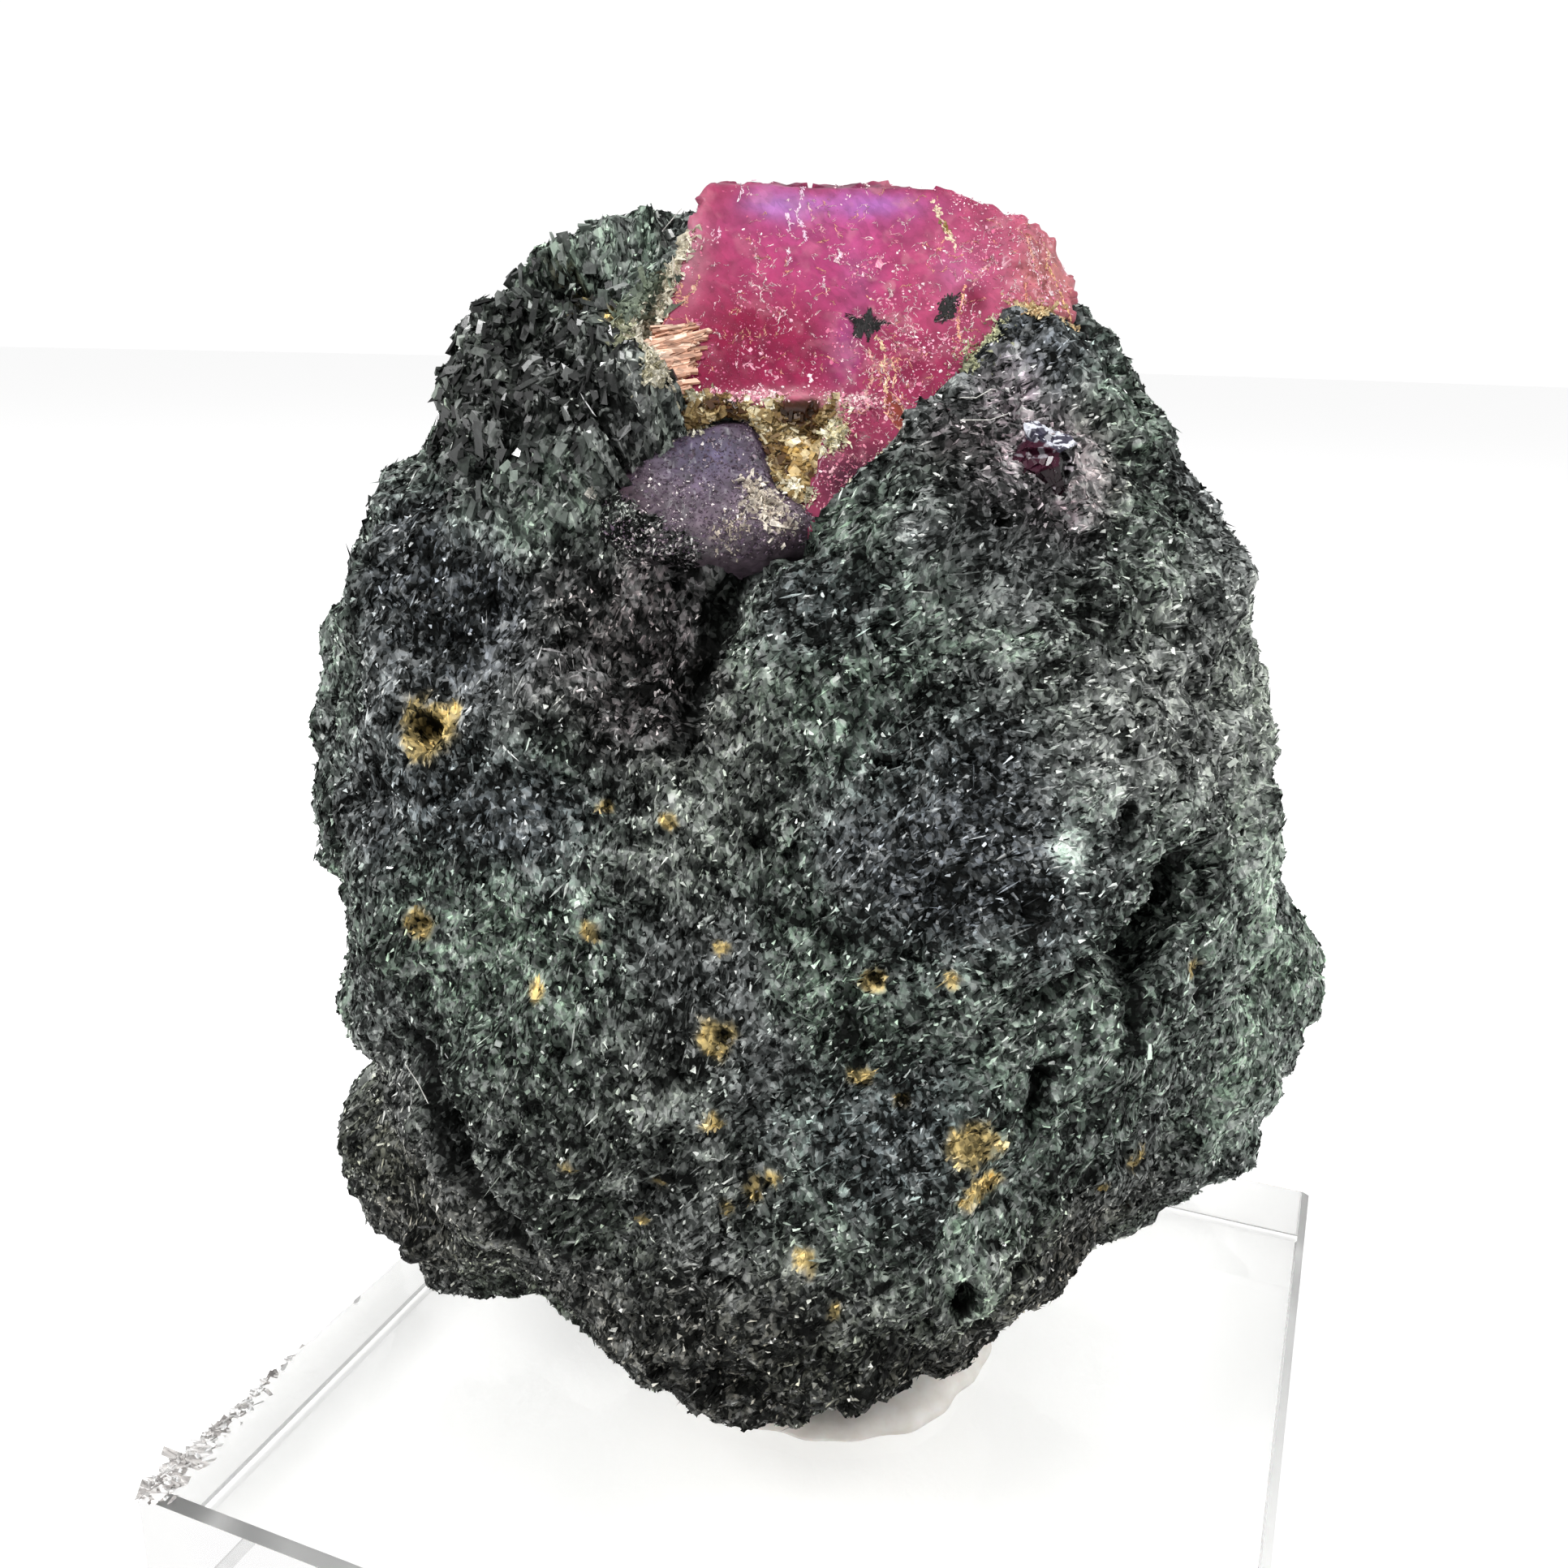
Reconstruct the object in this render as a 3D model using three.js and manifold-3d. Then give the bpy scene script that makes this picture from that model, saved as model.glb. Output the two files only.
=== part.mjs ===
// Ruby on matrix: a cobble of dark amphibole and mica rock with a ruby crystal grown into its top,
// held by a disc of white tack on a square block of clear acrylic.
// Millimetres, +Z up. Origin: the centre of the block's underside.
// The specimen stands turned on its block, so it is built in a frame of its own: X to its right,
// -Y out of its front, Z up from the block's top, and the whole group is turned and lifted at the end.

import * as THREE from 'three';
import { mergeVertices } from 'three/addons/utils/BufferGeometryUtils.js';
import Module from 'manifold-3d';

const wasm = await Module();
wasm.setup();

const degrees = THREE.MathUtils.degToRad;

// ---------------------------------------------------------------- driving dimensions

// Acrylic block
const BLOCK_SIDE = 45;
const BLOCK_HEIGHT = 8;
const BLOCK_EDGE = 0.4; // polished chamfer round both faces
const SPECIMEN_TURN = 21.4; // degrees that the specimen is turned on the block
const EDGE_CHIPS = [-14, -8.5, -1.5, 6]; // places of the chips along the sawn edge
const CHIP_SIZE = 1.3;

// Tack between the rock and the block
const PUTTY_RADIUS = 8.4;
const PUTTY_HEIGHT = 2.6;
const PUTTY_CENTRE = [-0.6, -0.4];

// Space left between neighbours that touch
const GAP = 0.3;

// Rock: the outline seen from the front, as radii from its centre every 15 degrees,
// clockwise from straight up
const ROCK_CENTRE = [-1.8, 0, 27.2];
const ROCK_OUTLINE = [
  24.4, 24.0, 23.2, 22.0, 21.4, 20.4, 19.8, 20.0, 20.0, 21.4, 23.4, 24.2,
  25.2, 24.8, 23.2, 22.0, 20.6, 20.2, 21.0, 20.8, 21.8, 22.2, 24.0, 25.2,
];
const ROCK_FRONT = 15.5; // from the middle to the front
const ROCK_BACK = 14.5; // from the middle to the back
const ROCK_LEAN = 0.15; // the top leans back by this much of its height
const ROCK_SQUARENESS = 2.5; // 2 is an ellipsoid, more is boxier
const ROCK_FOOT = 1.3; // lowest level of the rock above the block
const ROCK_DETAIL = 14; // splits of each icosahedron edge
const FRONT_CROWDING = 0.25; // draws the mesh points towards the front

// The broad heel at the lower back, the shoulder at the right and the lobe at the lower left:
// centre, radii and how softly they join
const HEEL = { centre: [-0.5, 6.5, 13.5], radii: [17.5, 9.4, 11.0], softness: 4 };
const SHOULDER = { centre: [13.0, 4.6, 16.2], radii: [10.2, 9.6, 10.6], softness: 4 };
const LOBE = { centre: [-16.9, 2.6, 8.6], radii: [6.6, 8.6, 6.8], softness: 1.6 };

// Swells and dents of the front: x, z, half width, half height, rise
const SWELLS = [
  [-12.5, 45.5, 4.5, 4.0, 1.6], // crest left of the ruby
  [2.6, 42.0, 4.5, 3.5, 1.3], // plateau beside the ledge
  [-8.0, 34.6, 3.4, 4.4, -1.4], // hollow under the grey crystal
  [-14.5, 38.0, 3.0, 3.4, -0.8],
  [-15.5, 34.5, 4.0, 4.0, 0.5],
  [8.0, 26.0, 6.0, 5.0, 0.7],
  [10.5, 27.0, 2.2, 1.6, -1.0],
  [-3.0, 24.0, 2.6, 9.0, -0.5],
  [-12.0, 18.0, 5.0, 6.0, 0.6],
  [3.0, 11.0, 6.0, 5.0, 0.5],
  [12.5, 40.0, 3.0, 4.0, 0.6],
];

// Ledges of the front: on the left of each line the surface stands lower, and comes back up over its reach
const LEDGES = [
  { from: [-1.4, 42.6], to: [-6.4, 33.6], width: 0.9, drop: 2.2, reach: 6, fade: 3 }, // over the hollow
  { from: [-9.4, 49.4], to: [-16.2, 42.6], width: 1.2, drop: 0.8, reach: 5, fade: 2 }, // along the crest
];

// Grooves of the front: from, to, half width, depth
const GROOVES = [
  { from: [13.2, 28.6], to: [10.8, 26.6], width: 0.9, depth: 1.3 },
  { from: [10.8, 26.6], to: [7.3, 23.8], width: 1.0, depth: 1.1 },
  { from: [14.6, 21.6], to: [14.2, 19.4], width: 0.7, depth: 0.9 },
  { from: [11.8, 19.2], to: [11.6, 18.0], width: 0.6, depth: 0.7 },
];

// Rim of the front face at the lower right, beyond which the flank drops back
const RIM = [
  [19.6, 29.0], [18.6, 25.4], [15.0, 23.2], [14.6, 19.0], [9.6, 18.2],
  [7.4, 14.4], [7.2, 11.0], [5.0, 7.0], [4.0, 3.0],
];
const RIM_DROP = 1.7;
const RIM_WIDTH = 1.6;
const RIM_FADE = 5;

// Low lumps all over: waves along x, y, z, phase, height
const LUMPS = [
  [0.42, 0.31, -0.27, 0.3, 0.34],
  [-0.25, 0.47, 0.38, 1.7, 0.3],
  [0.71, -0.22, 0.52, 2.9, 0.22],
  [-0.63, 0.35, 0.77, 4.1, 0.2],
  [1.15, 0.48, -0.66, 0.9, 0.13],
  [0.35, -1.05, 0.98, 5.3, 0.13],
  [-0.88, -0.71, 1.21, 2.2, 0.11],
  [1.62, 0.9, 0.75, 3.6, 0.08],
  [-1.1, 1.4, 1.35, 1.2, 0.08],
];
const LUMP_SWIRL = 1.3;

// Crystal face: the plane of the ruby's broken front. u runs right along it, v runs up it and
// w stands out of it, from a point at the ruby's lowest tip.
const FACE_ORIGIN = [-1.8, -10.3, 41.2];
const FACE_LEAN = 33; // degrees that it leans back

// Opening in the rock in front of the crystals, in u and v
const RECESS = [
  [-3.6, 19], [14, 19], [14, 9.2], [9.8, 8.9], [7.3, 8.9], [6.3, 7.4], [4.7, 5.1], [1.7, 1.7],
  [0, -0.4], [-1.2, -1.6], [-2.8, -2.1], [-4.8, -2.0], [-6.8, -0.6], [-7.9, 1.0], [-7.3, 2.2],
  [-6.1, 3.6], [-5.0, 4.6], [-6.7, 6.8], [-6.4, 9], [-5.8, 11], [-4.4, 14.5],
];
const RECESS_FLOOR = -0.6;
const RECESS_HEIGHT = 16;
const RECESS_FLARE = 0.12; // how much wider it is at its outer end

// Ruby: three pieces of one crystal, each an outline in u and v, a front level, a depth behind it
// and the taper of its sides, with facets shaved off: a point on each and the way that it faces
const RUBY_PIECES = [
  {
    outline: [[-3.8, 14.3], [5.3, 13.9], [8.2, 12.4], [8.2, 9.0], [3.9, 4.3], [-4.5, 4.4], [-6.1, 6.8], [-5.4, 10.6]],
    front: 0,
    depth: 9,
    taper: 8,
    facets: [
      { at: [0, 13.7, 0], faces: [-0.03, 0.78, 0.62] }, // bevel along the top edge
      { at: [-5.2, 11.2, 0], faces: [-0.75, 0.15, 0.64] }, // light facet down the left side
      { at: [6.4, 13.2, 0], faces: [0.35, 0.45, 0.82] }, // worn top right corner
      { at: [7.4, 10.5, 0], faces: [0.3, -0.05, 0.95] },
      { at: [-4, 5, 0], faces: [-0.25, -0.25, 0.93] },
    ],
  },
  {
    outline: [[0.6, 5.6], [4.9, 5.6], [0.0, -0.3], [-0.9, 0.4]], // tongue down to the lowest tip
    front: -0.5,
    depth: 5,
    taper: 4,
    facets: [{ at: [0, 0.6, -0.5], faces: [-0.1, -0.3, 0.95] }],
  },
  {
    outline: [[7.3, 13.0], [8.8, 12.8], [10.1, 11.1], [9.9, 8.8], [7.3, 8.6]], // right end
    front: 0.1,
    depth: 7,
    taper: 6,
    facets: [
      { at: [8.0, 11, 0.1], faces: [0.62, 0.1, 0.78] },
      { at: [9.2, 12.2, -0.6], faces: [0.5, 0.6, 0.62] },
    ],
  },
];
// Steps broken out of the ruby's front and top edge: centre, size, turn in degrees
const RUBY_STEPS = [
  { at: [5.7, 9.6, 0.3], size: [0.7, 2.6, 1.0], turn: -28 },
  { at: [4.6, 12.5, 0.4], size: [0.6, 1.6, 1.2], turn: 22 },
  { at: [-0.6, 14.6, 0.2], size: [1.6, 1.0, 1.4], turn: 12 },
  { at: [3.2, 14.4, 0.1], size: [1.8, 0.9, 1.6], turn: -9 },
  { at: [7.1, 13.6, -0.3], size: [1.5, 0.9, 1.8], turn: -30 },
  { at: [-2.2, 4.2, 0.5], size: [2.4, 0.9, 1.6], turn: 4 },
];

// Grey corundum: a rounded, worn crystal in u, v, w with flat faces shaved off it
const GREY = { centre: [-4.1, 0.9, -2.4], radii: [3.8, 2.9, 3.2], detail: 5 };
const GREY_FACETS = [
  { at: [-3.4, 1.6, 0.5], faces: [0.05, 0.12, 0.99] },
  { at: [-6.6, 1.4, -1.2], faces: [-0.8, 0.2, 0.56] },
  { at: [-1.6, -0.6, -0.5], faces: [0.5, -0.45, 0.74] },
  { at: [-4.6, -1.2, -0.9], faces: [-0.2, -0.8, 0.56] },
  { at: [-4.6, 3.4, -0.9], faces: [-0.3, 0.8, 0.52] },
];

// Small glassy corundum on the right of the rock
const SMALL_CENTRE = [7.0, -8.9, 43.0];
const SMALL_FACES = [0.36, -0.72, 0.59]; // the way that it looks out of the rock
const SMALL_RADII = [2.2, 1.8, 1.6];
const SMALL_FACETS = [
  { at: [-0.4, 0.5, 1.1], faces: [-0.25, 0.2, 0.95] },
  { at: [0.9, -0.4, 0.9], faces: [0.5, -0.35, 0.79] },
  { at: [-1.0, -0.9, 0.7], faces: [-0.55, -0.6, 0.58] },
];

// Golden mica between the two large crystals, in u and v, with leaves lying on it
const POCKET_OUTLINE = [[-4.7, 4.8], [-4.7, 3.4], [-2.2, 3.0], [-1.1, 1.2], [-0.2, 2.4], [0.6, 4.8]];
const POCKET_FRONT = -0.7;
const POCKET_DEPTH = 2.2;
const POCKET_LEAVES = [
  { at: [-3.4, 4.0, -0.6], size: [1.6, 0.7, 0.35], turn: 6 },
  { at: [-1.6, 3.8, -0.55], size: [1.1, 0.8, 0.4], turn: -14 },
  { at: [-0.2, 3.7, -0.45], size: [0.9, 1.0, 0.5], turn: 20 },
  { at: [-0.8, 2.7, -0.5], size: [1.0, 1.0, 0.5], turn: 38 },
  { at: [-0.9, 2.0, -0.55], size: [0.8, 0.6, 0.4], turn: 55 },
];

// Tan striated mica plate at the ruby's left edge, in u and v
const PATCH_OUTLINE = [[-6.3, 7.3], [-4.3, 7.7], [-4.1, 6.7], [-4.4, 5.0], [-5.5, 5.1], [-6.0, 6.0]];
const PATCH_FRONT = 0.15;
const PATCH_DEPTH = 1.1;
const PATCH_GROOVES = 5;

// Blocky amphibole blades on the crest: centre, size, turns about y and z in degrees
const BLADES = [
  { at: [-15.6, -1.2, 43.6], size: [2.6, 3.0, 3.6], lean: 24, turn: 10 },
  { at: [-14.9, 0.8, 45.6], size: [2.4, 3.4, 3.4], lean: 34, turn: -14 },
  { at: [-13.8, -1.0, 46.9], size: [2.8, 3.0, 3.0], lean: 42, turn: 20 },
  { at: [-12.4, 0.8, 48.2], size: [3.0, 3.6, 2.8], lean: 50, turn: -8 },
  { at: [-10.6, -0.4, 49.4], size: [3.6, 3.2, 2.6], lean: 66, turn: 12 },
  { at: [-8.6, 0.2, 50.3], size: [3.2, 3.6, 2.2], lean: 76, turn: -10 },
  { at: [-13.6, -3.4, 45.0], size: [1.4, 2.4, 3.2], lean: 16, turn: 25 },
  { at: [-12.0, -4.0, 46.0], size: [1.6, 2.4, 2.6], lean: 28, turn: -18 },
  { at: [-10.4, -4.6, 46.8], size: [1.8, 2.3, 2.4], lean: 10, turn: 15 },
  { at: [-14.4, -3.2, 42.2], size: [1.4, 2.4, 3.0], lean: 14, turn: -12 },
  { at: [-12.7, -4.9, 42.9], size: [1.4, 2.2, 2.8], lean: 20, turn: 22 },
  { at: [-10.8, -6.0, 44.0], size: [1.3, 2.2, 2.6], lean: 6, turn: -20 },
];

// Pits in the front: x, z, radius, depth below the surface
const PITS = [
  [-16.8, 32.4, 0.75, 1.0],
  [-17.8, 23.2, 0.5, 0.5],
  [-4.4, 17.6, 0.6, 0.5],
  [5.4, 12.6, 0.9, 0.5],
  [5.6, 10.9, 0.7, 0.4],
  [2.4, 19.9, 0.5, 0.5],
  [2.4, 15.2, 0.55, 0.7],
  [10.9, 32.6, 0.4, 0.8],
  [14.4, 22.4, 0.5, 0.9],
];

// ---------------------------------------------------------------- small tools

const vector = (list) => new THREE.Vector3(list[0], list[1], list[2]);

function smoothstep(t) {
  const s = Math.min(Math.max(t, 0), 1);
  return s * s * (3 - 2 * s);
}

// The lower of two forms, with their meeting rounded over the given softness
function softUnion(a, b, softness) {
  const share = Math.min(Math.max(0.5 + (0.5 * (b - a)) / softness, 0), 1);
  return b + (a - b) * share - softness * share * (1 - share);
}

// A closed mesh as a solid that can be joined and cut
function solidFrom(geometry) {
  const bare = geometry.clone();
  bare.deleteAttribute('normal');
  bare.deleteAttribute('uv');
  const merged = mergeVertices(bare);
  return new wasm.Manifold(
    new wasm.Mesh({
      numProp: 3,
      vertProperties: new Float32Array(merged.attributes.position.array),
      triVerts: new Uint32Array(merged.index.array),
    })
  );
}

// A solid as a geometry again
function geometryFrom(solid) {
  const mesh = solid.getMesh();
  const geometry = new THREE.BufferGeometry();
  geometry.setAttribute('position', new THREE.BufferAttribute(new Float32Array(mesh.vertProperties), 3));
  geometry.setIndex(new THREE.BufferAttribute(new Uint32Array(mesh.triVerts), 1));
  geometry.computeVertexNormals();
  return geometry;
}

// Matrix of the crystal face's frame in the specimen's frame
function faceFrame() {
  const frame = new THREE.Matrix4().makeRotationX(degrees(90 - FACE_LEAN));
  return frame.setPosition(vector(FACE_ORIGIN));
}

// Places a solid made in u, v and w on the crystal face
function onFace(solid) {
  return solid.transform(faceFrame().elements);
}

// The main body of a solid, without crumbs that a cut has left loose
function largestPiece(solid) {
  return solid.decompose().reduce((main, piece) => (piece.volume() > main.volume() ? piece : main));
}

// A box turned about its own axis w, at a place in the crystal face's frame
function turnedBox({ at, size, turn }, grow = 0) {
  const box = new THREE.BoxGeometry(size[0] + 2 * grow, size[1] + 2 * grow, size[2] + 2 * grow);
  box.rotateZ(degrees(turn));
  box.translate(at[0], at[1], at[2]);
  return box;
}

// Shaves a facet off a solid: everything beyond the plane through a point goes
function shave(solid, facet, grow = 0) {
  const reach = 60;
  const normal = vector(facet.faces).normalize();
  const box = new THREE.BoxGeometry(reach, reach, reach);
  const turn = new THREE.Quaternion().setFromUnitVectors(new THREE.Vector3(0, 0, 1), normal);
  const middle = vector(facet.at).addScaledVector(normal, reach / 2 + grow);
  box.applyMatrix4(new THREE.Matrix4().compose(middle, turn, new THREE.Vector3(1, 1, 1)));
  return solid.subtract(solidFrom(box));
}

function shapeFrom(points) {
  return new THREE.Shape(points.map(([u, v]) => new THREE.Vector2(u, v)));
}

// A straight slab of an outline in u and v, from its front level back
function slab(points, front, depth) {
  const geometry = new THREE.ExtrudeGeometry(shapeFrom(points), { depth, bevelEnabled: false });
  geometry.translate(0, 0, front - depth);
  return geometry;
}

// Middle of a list of points
function middleOf(points) {
  const sum = points.reduce((total, [u, v]) => [total[0] + u, total[1] + v], [0, 0]);
  return [sum[0] / points.length, sum[1] / points.length];
}

// ---------------------------------------------------------------- form of the rock
// Each form is a number for every point of space, below zero inside the rock.

// Radius of the front outline at an angle, as a smooth curve through the given radii
function outlineRadius(angle) {
  const count = ROCK_OUTLINE.length;
  const place = ((((angle / (2 * Math.PI)) * count) % count) + count) % count;
  const step = Math.floor(place);
  const t = place - step;
  const [a, b, c, d] = [-1, 0, 1, 2].map((offset) => ROCK_OUTLINE[(step + offset + count) % count]);
  return b + 0.5 * t * (c - a + t * (2 * a - 5 * b + 4 * c - d + t * (3 * (b - c) + d - a)));
}

function ellipsoidForm(point, { centre, radii }) {
  const offset = [0, 1, 2].map((axis) => (point[axis] - centre[axis]) / radii[axis]);
  return (Math.hypot(...offset) - 1) * Math.min(...radii);
}

// Distance along and beside the line between two points of the front
function besideLine(x, z, from, to) {
  const length = Math.hypot(to[0] - from[0], to[1] - from[1]);
  const along = [(to[0] - from[0]) / length, (to[1] - from[1]) / length];
  return {
    along: (x - from[0]) * along[0] + (z - from[1]) * along[1],
    beside: (z - from[1]) * along[0] - (x - from[0]) * along[1],
    length,
  };
}

function grooveDepth(x, z, { from, to, width, depth }) {
  const { along, beside, length } = besideLine(x, z, from, to);
  const beyond = Math.max(-along, along - length, 0);
  return depth * Math.exp(-(beside * beside + beyond * beyond) / (width * width));
}

function ledgeDrop(x, z, { from, to, width, drop, reach, fade }) {
  const { along, beside, length } = besideLine(x, z, from, to);
  const ends = smoothstep(along / fade + 0.5) * smoothstep((length - along) / fade + 0.5);
  const left = -beside;
  return drop * ends * smoothstep(left / width + 0.5) * Math.exp(-((Math.max(left, 0) / reach) ** 2));
}

const RIM_POINTS = RIM.map(([x, z]) => besideLine(x, z, RIM[0], RIM[RIM.length - 1]));

// How far the flank has dropped back from the front face
function rimDrop(x, z) {
  const { along, beside, length } = besideLine(x, z, RIM[0], RIM[RIM.length - 1]);
  const last = RIM_POINTS.length - 1;
  let edge = along <= 0 ? RIM_POINTS[0].beside : RIM_POINTS[last].beside;
  for (let i = 0; i < last; i += 1) {
    const [here, next] = [RIM_POINTS[i], RIM_POINTS[i + 1]];
    if (along > here.along && along <= next.along) {
      const share = (along - here.along) / (next.along - here.along);
      edge = here.beside + share * (next.beside - here.beside);
    }
  }
  const fade = smoothstep(along / RIM_FADE) * smoothstep((length - along) / RIM_FADE);
  return RIM_DROP * fade * smoothstep((beside - edge) / RIM_WIDTH + 0.1);
}

// Rise of the front over the plain egg, from its swells, ledges, grooves and rim
function frontRise(x, z) {
  let rise = -rimDrop(x, z);
  for (const ledge of LEDGES) rise -= ledgeDrop(x, z, ledge);
  for (const [cx, cz, halfWidth, halfHeight, height] of SWELLS) {
    rise += height * Math.exp(-(((x - cx) / halfWidth) ** 2 + ((z - cz) / halfHeight) ** 2));
  }
  for (const groove of GROOVES) rise -= grooveDepth(x, z, groove);
  return rise;
}

function lumps(x, y, z) {
  const sx = x + LUMP_SWIRL * Math.sin(0.31 * z + 0.23 * y);
  const sz = z + LUMP_SWIRL * Math.sin(0.29 * x + 0.37 * y + 1);
  return LUMPS.reduce((sum, [a, b, c, phase, height]) => sum + height * Math.sin(a * sx + b * y + c * sz + phase), 0);
}

function rockForm(point) {
  const [x, y, z] = point;
  const across = x - ROCK_CENTRE[0];
  const up = z - ROCK_CENTRE[2];
  const deep = y - ROCK_LEAN * up;
  const depthShare = deep < 0 ? (deep + frontRise(x, z)) / ROCK_FRONT : deep / ROCK_BACK;
  const outlineShare = Math.hypot(across, up) / outlineRadius(Math.atan2(across, up));
  const power = ROCK_SQUARENESS;
  let form = 20 * ((outlineShare ** power + Math.abs(depthShare) ** power) ** (1 / power) - 1);
  for (const bulge of [HEEL, SHOULDER, LOBE]) form = softUnion(form, ellipsoidForm(point, bulge), bulge.softness);
  form += lumps(x, y, z);
  return Math.max(form, ROCK_FOOT - z);
}

// Distance from the rock's centre to its surface along a direction: the outermost change from
// outside to inside, found by steps and then by halving
function rockRadius(direction) {
  const pointAt = (radius) => ROCK_CENTRE.map((value, axis) => value + radius * direction[axis]);
  const [outermost, innermost, stepLength] = [36, 8, 0.5];
  let inside = outermost;
  while (inside > innermost && rockForm(pointAt(inside)) > 0) inside -= stepLength;
  let outside = inside + stepLength;
  for (let i = 0; i < 20; i += 1) {
    const middle = (inside + outside) / 2;
    if (rockForm(pointAt(middle)) < 0) inside = middle;
    else outside = middle;
  }
  return (inside + outside) / 2;
}

// ---------------------------------------------------------------- rock

function rockBody(grow = 0) {
  const sphere = new THREE.IcosahedronGeometry(1, ROCK_DETAIL);
  sphere.deleteAttribute('normal');
  sphere.deleteAttribute('uv');
  const ball = mergeVertices(sphere);
  const position = ball.attributes.position;
  for (let i = 0; i < position.count; i += 1) {
    const direction = new THREE.Vector3().fromBufferAttribute(position, i);
    direction.y -= FRONT_CROWDING;
    direction.normalize();
    const radius = rockRadius(direction.toArray()) + grow;
    position.setXYZ(i, ...ROCK_CENTRE.map((value, axis) => value + radius * direction.getComponent(axis)));
  }
  return solidFrom(ball);
}

// The opening in front of the crystals, wider at its outer end
function recess() {
  const geometry = slab(RECESS, RECESS_FLOOR + RECESS_HEIGHT, RECESS_HEIGHT);
  const [middleU, middleV] = middleOf(RECESS);
  const position = geometry.attributes.position;
  for (let i = 0; i < position.count; i += 1) {
    const level = position.getZ(i);
    const scale = 1 + (RECESS_FLARE * (level - RECESS_FLOOR)) / RECESS_HEIGHT;
    const u = middleU + (position.getX(i) - middleU) * scale;
    const v = middleV + (position.getY(i) - middleV) * scale;
    position.setXYZ(i, u, v, level);
  }
  geometry.applyMatrix4(faceFrame());
  return solidFrom(geometry);
}

function blade({ at, size, lean, turn }) {
  const box = new THREE.BoxGeometry(...size);
  box.rotateY(degrees(lean));
  box.rotateZ(degrees(turn));
  box.translate(...at);
  return solidFrom(box);
}

// A pit bored into the front: a small ball whose middle is on the surface, drawn out inwards
function pit([x, z, radius, depth]) {
  let y = -30;
  while (rockForm([x, y, z]) > 0) y += 0.05;
  const ball = new THREE.IcosahedronGeometry(1, 1);
  ball.scale(radius, depth, radius * 1.2);
  ball.translate(x, y, z);
  return solidFrom(ball);
}

function rock() {
  let solid = rockBody().subtract(recess());
  for (const one of BLADES) solid = solid.add(blade(one));
  for (const one of PITS) solid = solid.subtract(pit(one));
  for (const seated of [ruby, greyCorundum, micaPocket, micaPatch]) solid = solid.subtract(onFace(seated(GAP)));
  return largestPiece(solid.subtract(smallCorundum(GAP)));
}

// ---------------------------------------------------------------- crystals
// Each takes the amount by which it is grown, so that the same shape cuts its own seat.

// One block of a crystal: an outline in u and v with sides that taper backwards
function taperedBlock({ outline, front, depth, taper, facets }, grow) {
  let solid = solidFrom(new THREE.BoxGeometry(40, 40, depth + 2 * grow).translate(0, 0, front - depth / 2));
  outline.forEach((from, i) => {
    const to = outline[(i + 1) % outline.length];
    const outward = new THREE.Vector2(from[1] - to[1], to[0] - from[0]).normalize();
    const slope = Math.tan(degrees(taper));
    solid = shave(solid, { at: [from[0], from[1], front], faces: [outward.x, outward.y, -slope] }, grow);
  });
  for (const facet of facets) solid = shave(solid, facet, grow);
  return solid;
}

function ruby(grow = 0) {
  let solid = taperedBlock(RUBY_PIECES[0], grow);
  for (const piece of RUBY_PIECES.slice(1)) solid = solid.add(taperedBlock(piece, grow));
  if (grow === 0) {
    for (const step of RUBY_STEPS) solid = solid.subtract(solidFrom(turnedBox(step)));
    solid = solid.subtract(micaPatch(GAP));
  }
  return largestPiece(solid);
}

function greyCorundum(grow = 0) {
  const ball = new THREE.IcosahedronGeometry(1, GREY.detail);
  ball.scale(...GREY.radii.map((radius) => radius + grow));
  ball.translate(...GREY.centre);
  let solid = solidFrom(ball);
  for (const facet of GREY_FACETS) solid = shave(solid, facet, grow);
  return grow === 0 ? largestPiece(solid.subtract(ruby(GAP))) : solid;
}

function smallCorundum(grow = 0) {
  const ball = new THREE.IcosahedronGeometry(1, 2);
  ball.scale(...SMALL_RADII.map((radius) => radius + grow));
  let solid = solidFrom(ball);
  for (const facet of SMALL_FACETS) solid = shave(solid, facet, grow);
  const turn = new THREE.Quaternion().setFromUnitVectors(new THREE.Vector3(0, 0, 1), vector(SMALL_FACES).normalize());
  const place = new THREE.Matrix4().compose(vector(SMALL_CENTRE), turn, new THREE.Vector3(1, 1, 1));
  return solid.transform(place.elements);
}

// ---------------------------------------------------------------- mica

// An outline moved outwards from its middle
function grownOutline(points, grow) {
  const [u0, v0] = middleOf(points);
  return points.map(([u, v]) => {
    const length = Math.hypot(u - u0, v - v0);
    return [u + (grow * 1.4 * (u - u0)) / length, v + (grow * 1.4 * (v - v0)) / length];
  });
}

function micaPocket(grow = 0) {
  const outline = grownOutline(POCKET_OUTLINE, grow);
  let solid = solidFrom(slab(outline, POCKET_FRONT + grow, POCKET_DEPTH + 2 * grow));
  for (const leaf of POCKET_LEAVES) solid = solid.add(solidFrom(turnedBox(leaf, grow)));
  if (grow > 0) return solid;
  return largestPiece(solid.subtract(ruby(GAP)).subtract(greyCorundum(GAP)));
}

function micaPatch(grow = 0) {
  const outline = grownOutline(PATCH_OUTLINE, grow);
  let solid = solidFrom(slab(outline, PATCH_FRONT + grow, PATCH_DEPTH + 2 * grow));
  if (grow === 0) {
    for (let i = 0; i < PATCH_GROOVES; i += 1) {
      const groove = { at: [-5.2, 5.4 + 0.5 * i, PATCH_FRONT + 0.1], size: [3, 0.12, 0.4], turn: 8 };
      solid = solid.subtract(solidFrom(turnedBox(groove)));
    }
  }
  return solid;
}

// ---------------------------------------------------------------- stand

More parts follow.
